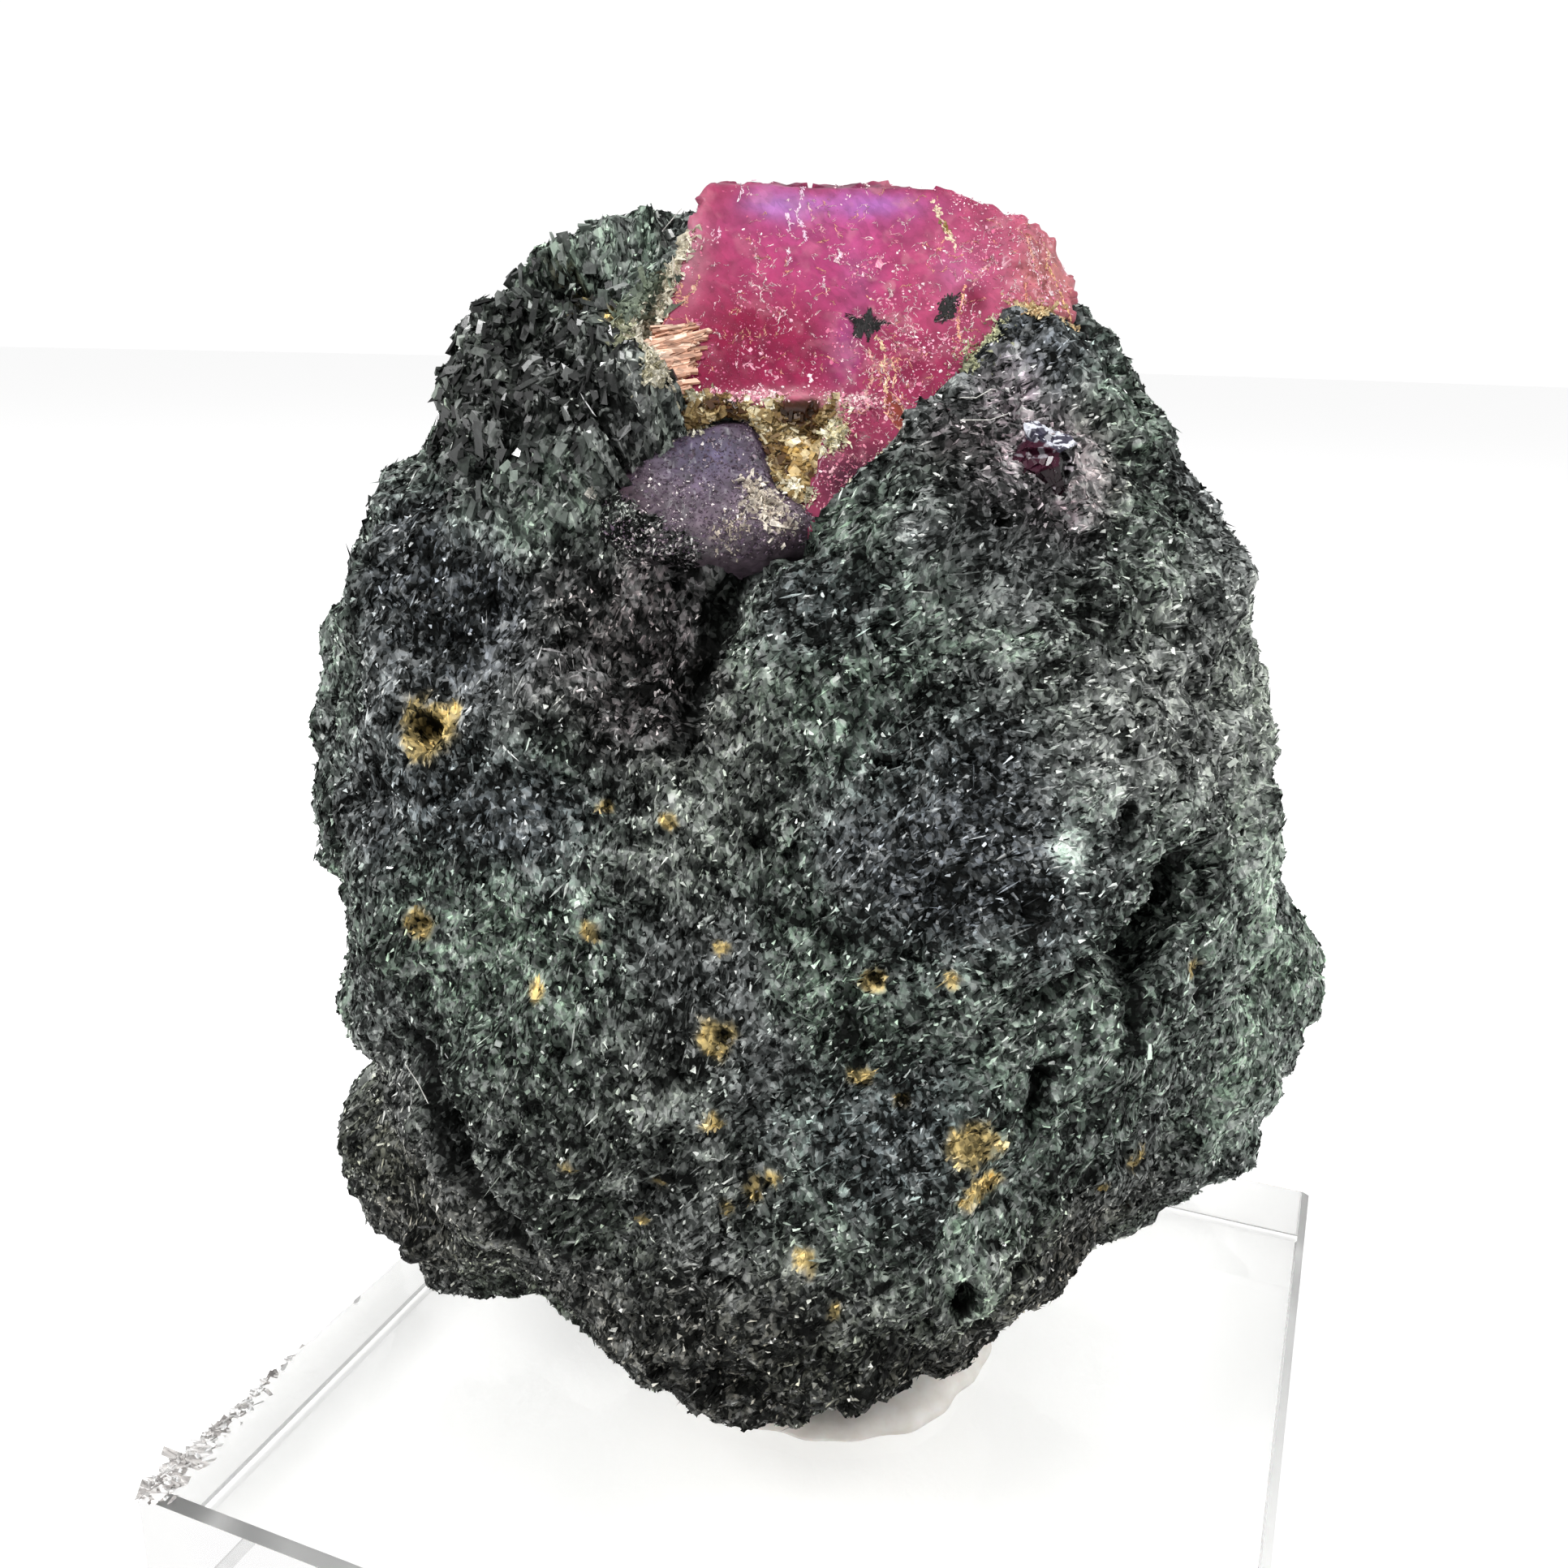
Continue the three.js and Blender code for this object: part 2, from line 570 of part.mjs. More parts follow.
function acrylicBlock() {
  const half = BLOCK_SIDE / 2 - BLOCK_EDGE;
  const square = shapeFrom([[-half, -half], [half, -half], [half, half], [-half, half]]);
  const geometry = new THREE.ExtrudeGeometry(square, {
    depth: BLOCK_HEIGHT - 2 * BLOCK_EDGE,
    bevelThickness: BLOCK_EDGE,
    bevelSize: BLOCK_EDGE,
    bevelSegments: 1,
  });
  geometry.translate(0, 0, BLOCK_EDGE);
  let solid = solidFrom(geometry);
  for (const place of EDGE_CHIPS) {
    const chip = new THREE.IcosahedronGeometry(CHIP_SIZE, 0);
    chip.translate(-BLOCK_SIDE / 2 - CHIP_SIZE * 0.35, place, BLOCK_HEIGHT + CHIP_SIZE * 0.35);
    solid = solid.subtract(solidFrom(chip));
  }
  return solid;
}

// A disc with a rounded rim, pressed out by the rock's foot
function putty() {
  const profile = [
    [0, 0], [0.9, 0], [1.0, 0.14], [1.0, 0.34], [0.94, 0.5], [0.8, 0.62], [0.6, 0.8], [0.4, 1], [0, 1],
  ].map(([radius, height]) => new THREE.Vector2(radius * PUTTY_RADIUS, height * PUTTY_HEIGHT));
  const disc = new THREE.LatheGeometry(profile, 40);
  disc.rotateX(Math.PI / 2);
  disc.translate(PUTTY_CENTRE[0], PUTTY_CENTRE[1], 0);
  return solidFrom(disc).subtract(rockBody(GAP));
}

// ---------------------------------------------------------------- assembly

function material(color, roughness, extra = {}) {
  return new THREE.MeshStandardMaterial({ color, roughness, metalness: 0, ...extra });
}

function named(name, solid, finish) {
  const mesh = new THREE.Mesh(geometryFrom(solid), finish);
  mesh.name = name;
  return mesh;
}

const specimen = new THREE.Group();
specimen.add(named('mounting_putty', putty(), material('#f1efec', 0.8)));
specimen.add(named('matrix_rock', rock(), material('#3a413c', 0.75)));
specimen.add(named('ruby_crystal', onFace(ruby()), material('#b5335f', 0.4)));
specimen.add(named('grey_corundum_crystal', onFace(greyCorundum()), material('#6b5b6e', 0.45)));
specimen.add(named('small_corundum_crystal', smallCorundum(), material('#4a3f4c', 0.3)));
specimen.add(named('mica_pocket', onFace(micaPocket()), material('#9a7a35', 0.6)));
specimen.add(named('mica_patch', onFace(micaPatch()), material('#b98a6a', 0.6)));
specimen.rotation.z = degrees(SPECIMEN_TURN);
specimen.position.z = BLOCK_HEIGHT;

const part = new THREE.Group();
part.add(named('acrylic_block', acrylicBlock(), material('#eef3f4', 0.1, { transparent: true, opacity: 0.4 })));
part.add(specimen);

export default part;
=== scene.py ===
"""Ruby on matrix: the looks of a mineral specimen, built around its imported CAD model.

A cobble of dark, foliated amphibole rock carries a ruby and two duller corundum crystals. It is held by
a disc of white tack on a clear acrylic block. Shapes are worked out in millimetres in the specimen's
own frame (X to its right, -Y out of its front, Z up from the block's top), then turned and lifted on to
the block and written in metres.
"""

from __future__ import annotations

import itertools
import json
import logging
import math
from dataclasses import dataclass, field
from enum import Enum
from typing import Callable, Iterator

import bpy
import numpy as np
from mathutils import Matrix, Vector

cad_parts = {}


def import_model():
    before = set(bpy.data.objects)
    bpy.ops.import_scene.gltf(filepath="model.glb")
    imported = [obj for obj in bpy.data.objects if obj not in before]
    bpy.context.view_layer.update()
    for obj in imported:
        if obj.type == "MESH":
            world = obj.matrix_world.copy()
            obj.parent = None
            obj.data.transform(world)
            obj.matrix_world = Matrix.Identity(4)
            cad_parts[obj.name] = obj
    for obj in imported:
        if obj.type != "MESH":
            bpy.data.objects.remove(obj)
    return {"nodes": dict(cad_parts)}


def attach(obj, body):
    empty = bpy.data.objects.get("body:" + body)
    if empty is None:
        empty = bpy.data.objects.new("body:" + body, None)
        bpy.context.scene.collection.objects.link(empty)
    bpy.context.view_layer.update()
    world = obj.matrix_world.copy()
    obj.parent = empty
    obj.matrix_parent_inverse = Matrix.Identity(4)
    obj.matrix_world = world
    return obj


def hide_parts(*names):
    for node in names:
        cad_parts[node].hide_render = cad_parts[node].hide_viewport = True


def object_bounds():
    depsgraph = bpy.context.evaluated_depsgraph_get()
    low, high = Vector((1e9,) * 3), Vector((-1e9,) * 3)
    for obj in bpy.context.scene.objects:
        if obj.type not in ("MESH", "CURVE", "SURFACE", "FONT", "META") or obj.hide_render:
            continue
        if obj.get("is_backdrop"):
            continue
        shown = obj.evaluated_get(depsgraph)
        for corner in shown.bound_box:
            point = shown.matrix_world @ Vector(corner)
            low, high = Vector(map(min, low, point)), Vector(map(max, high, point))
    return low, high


log = logging.getLogger("ruby_on_matrix")

Array = np.ndarray
Pair = tuple[float, float]
Triple = tuple[float, float, float]
Form = Callable[[Array], Array]  # a number for each point of space, below zero inside
Line = tuple[Pair, ...]  # corners of a path or an outline
Rng = np.random.Generator
Tree = bpy.types.NodeTree
Node = bpy.types.Node

MM = 0.001  # metres in a millimetre
ROOT = "root"


# ---- Numbers and noise


def linear(colour: str) -> Array:
    """Turns an sRGB hex colour such as #a03060 into linear red, green and blue."""
    parts = [int(colour[i : i + 2], 16) / 255 for i in (1, 3, 5)]
    return np.array([c / 12.92 if c <= 0.04045 else ((c + 0.055) / 1.055) ** 2.4 for c in parts])


def columns(*parts: Array | float) -> Array:
    """Arrays of numbers side by side, one column each; a single number fills its whole column."""
    return np.stack(np.broadcast_arrays(*parts), axis=-1)


def smoothstep(t: Array) -> Array:
    """Eases a value from 0 to 1: 3t² - 2t³ between the ends."""
    eased = np.clip(t, 0, 1)
    return eased * eased * (3 - 2 * eased)


def unit(vectors: Array) -> Array:
    """Vectors of length one along the last axis."""
    return vectors / np.maximum(np.linalg.norm(vectors, axis=-1, keepdims=True), 1e-12)


def flattened(directions: Array, normals: Array) -> Array:
    """Directions laid flat on a surface: less their part along the normals, at unit length."""
    return unit(directions - (directions * normals).sum(axis=1, keepdims=True) * normals)


def hashed(cells: Array, seed: int) -> Array:
    """Gives each whole-number cell of a lattice a random number from 0 to 1, the same on every run.

    Args:
        cells: Whole numbers, three to a row.
        seed: Number that sets one pattern apart.

    Returns:
        A number from 0 to 1 for each row.
    """
    x, y, z = np.moveaxis(cells, -1, 0)
    bits = x * 73856093 ^ y * 19349663 ^ z * 83492791 ^ (seed * 7919 + 17)
    bits = (bits ^ (bits >> 13)) * 1274126177
    bits = (bits ^ (bits >> 16)) * 668265263
    return ((bits ^ (bits >> 15)) & 0xFFFFFF) / 0x1000000


def smooth_noise(points: Array, size: float, seed: int) -> Array:
    """Random height from -1 to 1: numbers at the corners of cubes, blended across each cube by smoothstep.

    Args:
        points: Places, in mm.
        size: Side of the cubes, which is the width of the lumps, in mm.
        seed: Which of the random fields.

    Returns:
        The height at each point.
    """
    scaled = points / size
    base = np.floor(scaled).astype(np.int64)
    share = smoothstep(scaled - base)
    total = np.zeros(points.shape[:-1])
    for corner in itertools.product((0, 1), repeat=3):
        weight = np.prod(np.where(np.array(corner) == 1, share, 1 - share), axis=-1)
        total += weight * hashed(base + np.array(corner), seed)
    return 2 * total - 1


def layered_noise(points: Array, size: float, seed: int, layers: int = 3) -> Array:
    """Smooth noise with finer layers on it, each half as wide and half as high as the one before."""
    total = sum(smooth_noise(points, size / 2**i, seed + i) / 2**i for i in range(layers))
    return total / (2 - 2 ** (1 - layers))


def jostled(points: Array, shift: float, size: float, seed: int, layers: int = 3) -> Array:
    """Points pushed about by layered noise, which makes the edges of what is drawn at them ragged."""
    return points + shift * columns(*(layered_noise(points, size, seed + i, layers) for i in range(3)))


def bell(x: Array, z: Array, middle: Pair, reach: Pair, power: int = 2) -> Array:
    """Bell curve over two coordinates: exp(-(offset over reach)^power) in each, multiplied."""
    return np.exp(-(((x - middle[0]) / reach[0]) ** power) - ((z - middle[1]) / reach[1]) ** power)


def greatest(distances: list[Array], rounding: float) -> Array:
    """Softened greatest of several distances: rounding · log of the sum of exp(distance / rounding).

    Args:
        distances: Rows of distances, in mm.
        rounding: Width of the softening, in mm.

    Returns:
        One distance for each column.
    """
    stack = np.stack(distances) / rounding
    most = stack.max(axis=0)
    return rounding * (most + np.log(np.exp(stack - most).sum(axis=0)))


def scattered_cells(points: Array, size: float, seed: int) -> tuple[Array, Array]:
    """Finds the nearest of centres scattered one to each cube of a lattice.

    Args:
        points: Places, in mm.
        size: Side of the cubes, in mm.
        seed: Which of the random scatters.

    Returns:
        The whole numbers of the nearest centre's cube, and the offset from that centre in mm.
    """
    scaled = points / size
    base = np.floor(scaled).astype(np.int64)
    nearest = np.full(len(points), np.inf)
    cube, offset = base.copy(), np.zeros_like(points)
    for shift in itertools.product((-1, 0, 1), repeat=3):
        candidate = base + np.array(shift)
        centre = candidate + columns(*(hashed(candidate, seed + axis) for axis in range(3)))
        gap = scaled - centre
        distance = (gap**2).sum(axis=1)
        closer = distance < nearest
        nearest[closer], cube[closer], offset[closer] = distance[closer], candidate[closer], gap[closer]
    return cube, offset * size


def facet_relief(points: Array, size: float, tilt: float, step: float, seed: int) -> Array:
    """Broken crystalline surface: each scattered cell is a plane with a tilt and a level of its own.

    Height = step · random level + tilt · (random direction · offset from the cell's centre).

    Args:
        points: Places, in mm.
        size: Width of the cells, in mm.
        tilt: Steepest slope of a cell's plane.
        step: Greatest difference of level, in mm.
        seed: Which of the random scatters.

    Returns:
        The height at each point, in mm.
    """
    cube, offset = scattered_cells(points, size, seed)
    slope = columns(*(hashed(cube, seed + 10 + axis) * 2 - 1 for axis in range(3)))
    return step * (hashed(cube, seed + 20) - 0.5) + tilt * (slope * offset).sum(axis=1)


def colour_ramp(values: Array, stops: dict[float, str]) -> Array:
    """Linear colours along a ramp of sRGB hex stops, one for each value.

    Args:
        values: Places on the ramp.
        stops: An sRGB hex colour for each stop's place.

    Returns:
        Rows of linear red, green and blue.
    """
    places = list(stops)
    channels = np.array([linear(colour) for colour in stops.values()]).T
    return columns(*(np.interp(values, places, channel) for channel in channels))


def mixed(colours: Array, share: Array, colour: str) -> Array:
    """Colours with a share of another laid over them."""
    return colours * (1 - share[:, None]) + linear(colour) * share[:, None]


def path_distance(x: Array, y: Array, path: Array) -> Array:
    """Distance to a line of straight steps: the least distance to any of its steps.

    Args:
        x: First coordinate of each place, in mm.
        y: Second coordinate of each place, in mm.
        path: Corners of the line.

    Returns:
        A distance for each place, in mm.
    """
    nearest = np.full(x.shape, np.inf)
    for (x0, y0), (x1, y1) in zip(path[:-1], path[1:]):
        run, rise = x1 - x0, y1 - y0
        share = np.clip(((x - x0) * run + (y - y0) * rise) / (run**2 + rise**2), 0, 1)
        nearest = np.minimum(nearest, np.hypot(x - x0 - run * share, y - y0 - rise * share))
    return nearest


def outline_distance(u: Array, v: Array, outline: Line) -> Array:
    """Distance from an outline, below zero inside: there a line to one side meets it an odd many times.

    Args:
        u: Places along the face, in mm.
        v: Places up the face, in mm.
        outline: Corners of a closed outline on the face.

    Returns:
        A distance for each place, in mm.
    """
    corners = np.array((*outline, outline[0]), float)
    inside = np.zeros(u.shape, bool)
    for (u0, v0), (u1, v1) in zip(corners[:-1], corners[1:]):
        rise = v1 - v0 if v1 != v0 else 1e-9
        inside ^= ((v0 <= v) != (v1 <= v)) & (u < u0 + (v - v0) / rise * (u1 - u0))
    nearest = path_distance(u, v, corners)
    return np.where(inside, -nearest, nearest)


def path_reach(path: Array) -> Array:
    """Length of a path up to each of its points."""
    return np.concatenate([[0], np.cumsum(np.linalg.norm(np.diff(path, axis=0), axis=1))])


def wandering_path(rng: Rng, start: Pair, heading: float, length: float, wander: float) -> Array:
    """A crack's path: ten steps whose heading drifts at random.

    Args:
        rng: Source of the random numbers.
        start: Where it begins.
        heading: Its first direction, in degrees.
        length: Its length, in mm.
        wander: How far the heading drifts at each step, in degrees.

    Returns:
        Its points, one in each row.
    """
    steps = 10
    angles = np.radians(heading + np.cumsum(rng.normal(0, wander, steps)))
    moves = columns(np.cos(angles), np.sin(angles)) * length / steps
    return np.concatenate([np.array([start]), np.array(start) + np.cumsum(moves, axis=0)])


# ---- Frames


@dataclass(frozen=True)
class Stance:
    """How the specimen stands on its block."""

    turn: float = 21.4  # degrees about the upright
    lift: float = 8.0  # height of the block's top, mm

    def to_part(self, points: Array) -> Array:
        """Points of the specimen's frame, in mm, as points of the part's frame, in metres.

        Args:
            points: Places in the specimen's frame, in mm, one row each.

        Returns:
            The same places, in metres, in the part's frame.
        """
        turn = math.radians(self.turn)
        x = points[:, 0] * math.cos(turn) - points[:, 1] * math.sin(turn)
        y = points[:, 0] * math.sin(turn) + points[:, 1] * math.cos(turn)
        return columns(x, y, points[:, 2] + self.lift) * MM

    def matrix(self) -> Matrix:
        """The same change of frame for a camera or a lamp, whose places are in metres."""
        return Matrix.Translation((0, 0, self.lift * MM)) @ Matrix.Rotation(math.radians(self.turn), 4, "Z")


STANCE = Stance()


@dataclass(frozen=True)
class CrystalFace:
    """Plane of the ruby's broken front: u to the right, v up the face, w straight out of it."""

    origin: Triple = (-1.8, -10.3, 41.2)
    lean: float = 33.0  # degrees that it leans back

    def axes(self) -> Array:
        """The directions of u, v and w, one in each row."""
        s, c = math.sin(math.radians(self.lean)), math.cos(math.radians(self.lean))
        return np.array([[1, 0, 0], [0, s, c], [0, -c, s]])

    def measure(self, points: Array) -> Array:
        """The u, v and w of points of the specimen's frame."""
        return (points - np.array(self.origin)) @ self.axes().T

    def place(self, coordinates: Array) -> Array:
        """The points of the specimen's frame at given u, v and w."""
        return coordinates @ self.axes() + np.array(self.origin)


FACE = CrystalFace()


# ---- Surfaces


@dataclass
class Shell:
    """A closed surface: vertices in mm, and the corners of its faces, which point outwards."""

    vertices: Array
    faces: Array

    def normals(self) -> Array:
        """Outward direction at each vertex: the sum of its faces' diagonals crossed, at unit length.

        Returns:
            A direction of length 1 for each vertex.
        """
        corners = self.vertices[self.faces]
        last = corners[:, 3] if self.faces.shape[1] == 4 else corners[:, 0]
        across = np.cross(corners[:, 2] - corners[:, 0], last - corners[:, 1])
        places, shares = self.faces.ravel(), np.repeat(across, self.faces.shape[1], axis=0)
        return unit(columns(*(np.bincount(places, part, len(self.vertices)) for part in shares.T)))

    def raised(self, heights: Array) -> "Shell":
        """The shell with each vertex moved along its normal by a height in mm."""
        return Shell(self.vertices + self.normals() * heights[:, None], self.faces)

    def joined(self, other: "Shell") -> "Shell":
        """This shell and another as one mesh."""
        faces = np.concatenate([self.faces, other.faces + len(self.vertices)])
        return Shell(np.concatenate([self.vertices, other.vertices]), faces)

    def on_face(self) -> "Shell":
        """The shell carried from the u, v and w of the crystals' face to the specimen's frame."""
        return Shell(FACE.place(self.vertices), self.faces)


def halved(quads: Array) -> Array:
    """Each four-cornered face as two triangles."""
    return np.concatenate([quads[:, [0, 1, 2]], quads[:, [0, 2, 3]]])


def ring_walls(rings: int, sides: int) -> Array:
    """Triangles of a closed tube: walls between rings of points, and ends drawn to the last two points.

    Args:
        rings: Number of rings.
        sides: Points in each ring.

    Returns:
        Three corner numbers to a row.
    """
    index = np.arange(rings * sides).reshape(rings, sides)
    after = np.roll(index, -1, axis=1)
    walls = columns(index[:-1], after[:-1], after[1:], index[1:]).reshape(-1, 4)
    start, end = rings * sides, rings * sides + 1
    ends = [columns(start, after[0], index[0]), columns(end, index[-1], after[-1])]
    return np.concatenate([halved(walls), *ends])


def level_axes(angle: Array) -> Array:
    """Length, width and thickness directions of grains that lie level, each turned by an angle."""
    s, c, zero = np.sin(angle), np.cos(angle), 0 * angle
    return np.stack([columns(c, s, zero), columns(-s, c, zero), columns(zero, zero, zero + 1)], axis=1)


def cube_ball(side: int) -> Shell:
    """A ball of radius one: a cube's square grids pressed out, with tan(45° · t) evening the squares.

    Args:
        side: Squares along each edge of the cube.

    Returns:
        The ball, with the vertices on shared edges merged.
    """
    steps = np.arange(side + 1)
    first, second = np.meshgrid(steps, steps, indexing="ij")
    grid, corners = [], []
    index = np.arange((side + 1) ** 2).reshape(side + 1, side + 1)
    quads = columns(index[:-1, :-1], index[1:, :-1], index[1:, 1:], index[:-1, 1:]).reshape(-1, 4)
    for axis, end in itertools.product(range(3), (0, side)):
        layers = [np.full_like(first, end)] * 3
        layers[(axis + 1) % 3], layers[(axis + 2) % 3] = first, second
        corners.append((quads if end else quads[:, ::-1]) + len(grid) * (side + 1) ** 2)
        grid.append(columns(*layers).reshape(-1, 3))
    points, merged = np.unique(np.concatenate(grid), axis=0, return_inverse=True)
    spread = np.tan(math.pi / 4 * (points * 2 / side - 1))
    return Shell(unit(spread), merged.reshape(-1)[np.concatenate(corners)])


def pressed_ball(form: Form, middle: Triple, side: int, reach: Pair, step: float, crowd: Triple) -> Shell:
    """A ball of points drawn in along its radii on to a form's surface.

    Along each radius, the outermost change from outside to inside is found by even steps inwards, and
    then by halving.

    Args:
        form: The form, a number that is below zero inside.
        middle: Middle of the ball, in mm.
        side: Squares along each edge of the ball's cube.
        reach: Greatest and least radius, in mm.
        step: Length of the even steps, in mm.
        crowd: Push on the directions, which gathers the points on one side.

    Returns:
        The surface.
    """
    ball, centre = cube_ball(side), np.array(middle)
    directions = unit(ball.vertices + np.array(crowd))
    inside = np.full(len(directions), float(reach[0]))
    moving = np.arange(len(directions))
    while len(moving):
        outside = form(centre + directions[moving] * inside[moving, None]) > 0
        moving = moving[outside & (inside[moving] > reach[1])]
        inside[moving] -= step
    beyond = inside + step
    for _ in range(12):
        half = (inside + beyond) / 2
        within = form(centre + directions * half[:, None]) < 0
        inside, beyond = np.where(within, half, inside), np.where(within, beyond, half)
    return Shell(centre + directions * ((inside + beyond) / 2)[:, None], ball.faces)


def slab(outline: Line, front: float, depth: float) -> Shell:
    """A plate of an outline in u and v, from its front level back, with a middle point in each face.

    Args:
        outline: Corners of a closed outline on the face.
        front: Level of its front, in mm.
        depth: How far it goes back from there, in mm.

    Returns:
        The closed plate, in the face's frame.
    """
    rim = np.array(outline, float)
    middle = rim.mean(axis=0)
    count = len(rim)
    flat = np.concatenate([rim, middle[None]])
    if np.sum(np.cross(rim, np.roll(rim, -1, axis=0))) < 0:
        flat[:count] = rim[::-1]
    top, low = columns(*flat.T, front), columns(*flat.T, front - depth)
    here, after = np.arange(count), (np.arange(count) + 1) % count
    under = count + 1
    faces = [columns(here, after, count), columns(after, here, count) + under]
    faces += [columns(here + under, after + under, after), columns(here + under, after, here)]
    return Shell(np.concatenate([top, low]), np.concatenate(faces))


def arc_tube(points: Array, radius: float, sides: int = 5) -> Shell:
    """A thin round thread: a ring of points carried along a path, closed by a point at each end.

    Args:
        points: Places in the specimen's frame, in mm, one row each.
        radius: Radius of the thread, in mm.
        sides: Points in each ring.

    Returns:
        The closed thread.
    """
    ahead = unit(np.gradient(points, axis=0))
    first = unit(np.cross(ahead, np.array([0.31, 0.17, 0.93])))
    second = np.cross(ahead, first)
    angles = np.arange(sides) * 2 * math.pi / sides
    ring = first[:, None] * np.cos(angles)[None, :, None] + second[:, None] * np.sin(angles)[None, :, None]
    tube = (points[:, None] + ring * radius).reshape(-1, 3)
    return Shell(np.concatenate([tube, points[:1], points[-1:]]), ring_walls(len(points), sides))


# ---- Grains


@dataclass(frozen=True)
class GrainKind:
    """One kind of small crystal strewn on a surface: middle sizes in mm, and how unruly it lies."""

    length: float
    width: float
    thickness: float
    spread: float = 0.35  # of the sizes, as a share
    tilt: float = 0.4  # lean out of the surface
    wander: float = 0.35  # turn away from the grain direction, radians
    sunk: float = 0.35  # share of the thickness that is below the surface
    ragged: float = 0.4  # share by which corners are drawn in


@dataclass
class Places:
    """Where grains lie: a point, the outward direction and the grain direction of each."""

    points: Array
    normals: Array
    along: Array


def scatter(shell: Shell, count: int, rng: Rng, weights: Array) -> tuple[Array, Array]:
    """Random points spread over a shell's area.

    Args:
        shell: The surface, of quads.
        count: How many points.
        rng: Source of the random numbers.
        weights: Density at each vertex.

    Returns:
        The points, and the outward directions there.
    """
    triangles = halved(shell.faces)
    corners = shell.vertices[triangles]
    area = np.linalg.norm(np.cross(corners[:, 1] - corners[:, 0], corners[:, 2] - corners[:, 0]), axis=1)
    area = area * weights[triangles].mean(axis=1)
    chosen = rng.choice(len(triangles), size=count, p=area / area.sum())
    shares = rng.dirichlet((1, 1, 1), size=count)
    normals = shell.normals()[triangles[chosen]]
    points = (corners[chosen] * shares[..., None]).sum(axis=1)
    return points, unit((normals * shares[..., None]).sum(axis=1))


class GrainShape(Enum):
    """Shapes of small grains: what the corners, at plus and minus one, are called."""

    BLOCK = "a box"
    SLIVER = "a stretched octahedron"
    CRUMB = "a tetrahedron"

    def mesh(self) -> tuple[Array, Array]:
        """Corners, and outward faces, of a grain from -1 to 1.

        Returns:
            Rows of corners, and rows of their numbers for the faces.
        """
        if self is GrainShape.BLOCK:
            signs = [[x, y, z] for z in (-1, 1) for x, y in ((-1, -1), (1, -1), (1, 1), (-1, 1))]
            faces = [[0, 3, 2, 1], [4, 5, 6, 7], [0, 1, 5, 4], [1, 2, 6, 5], [2, 3, 7, 6], [3, 0, 4, 7]]
        elif self is GrainShape.SLIVER:
            signs = [[1, 0, 0], [-1, 0, 0], [0, 1, 0], [0, -1, 0], [0, 0, 1], [0, 0, -1]]
            faces = [[0, 2, 4], [2, 1, 4], [1, 3, 4], [3, 0, 4], [2, 0, 5], [1, 2, 5], [3, 1, 5], [0, 3, 5]]
        else:
            signs = [[1, 1, 1], [1, -1, -1], [-1, 1, -1], [-1, -1, 1]]
            faces = [[0, 1, 2], [0, 2, 3], [0, 3, 1], [1, 3, 2]]
        return np.array(signs), np.array(faces)


def grains(shape: GrainShape, middles: Array, axes: Array, sizes: Array, ragged: float, rng: Rng) -> Shell:
    """Joined grains of one shape with uneven corners.

    Corner = middle + sum over the axes of ±half size · axis, each part cut by a random share.

    Args:
        shape: Which shape they have.
        middles: Middle of each grain, in mm.
        axes: Length, width and thickness direction of each grain.
        sizes: Length, width and thickness of each grain, in mm.
        ragged: Greatest share by which a corner is drawn in.
        rng: Source of the random numbers.

    Returns:
        All the grains as one mesh.
    """
    signs, faces = shape.mesh()
    count = len(middles)
    cut = 1 - ragged * rng.random((count, len(signs), 3))
    if shape is GrainShape.BLOCK:
        cut[..., 2] = 1
    corners = middles[:, None] + np.einsum("nck,nkd->ncd", signs[None] * sizes[:, None] / 2 * cut, axes)
    joined = faces[None] + len(signs) * np.arange(count)[:, None, None]
    return Shell(corners.reshape(-1, 3), joined.reshape(-1, faces.shape[1]))


def grain_mesh(shape: GrainShape, places: Places, kind: GrainKind, rng: Rng) -> Shell:
    """Grains of one kind at the given places, leaning and turned at random.

    Args:
        shape: Which shape they have.
        places: Where they lie.
        kind: Their sizes and their disorder.
        rng: Source of the random numbers.

    Returns:
        The grains as one mesh.
    """
    count = len(places.points)
    up = unit(places.normals + kind.tilt * rng.normal(size=(count, 3)) * 0.6)
    flat = flattened(places.along, up)
    turn = kind.wander * rng.normal(size=(count, 1))
    along = flat * np.cos(turn) + np.cross(up, flat) * np.sin(turn)
    axes = np.stack([along, np.cross(up, along), up], axis=1)
    middle_sizes = np.array([kind.length, kind.width, kind.thickness])
    sizes = middle_sizes * np.exp(kind.spread * rng.normal(size=(count, 3)))
    middles = places.points + places.normals * (sizes[:, 2] * (0.5 - kind.sunk))[:, None]
    return grains(shape, middles, axes, sizes, kind.ragged, rng)


# ---- Pieces and node trees


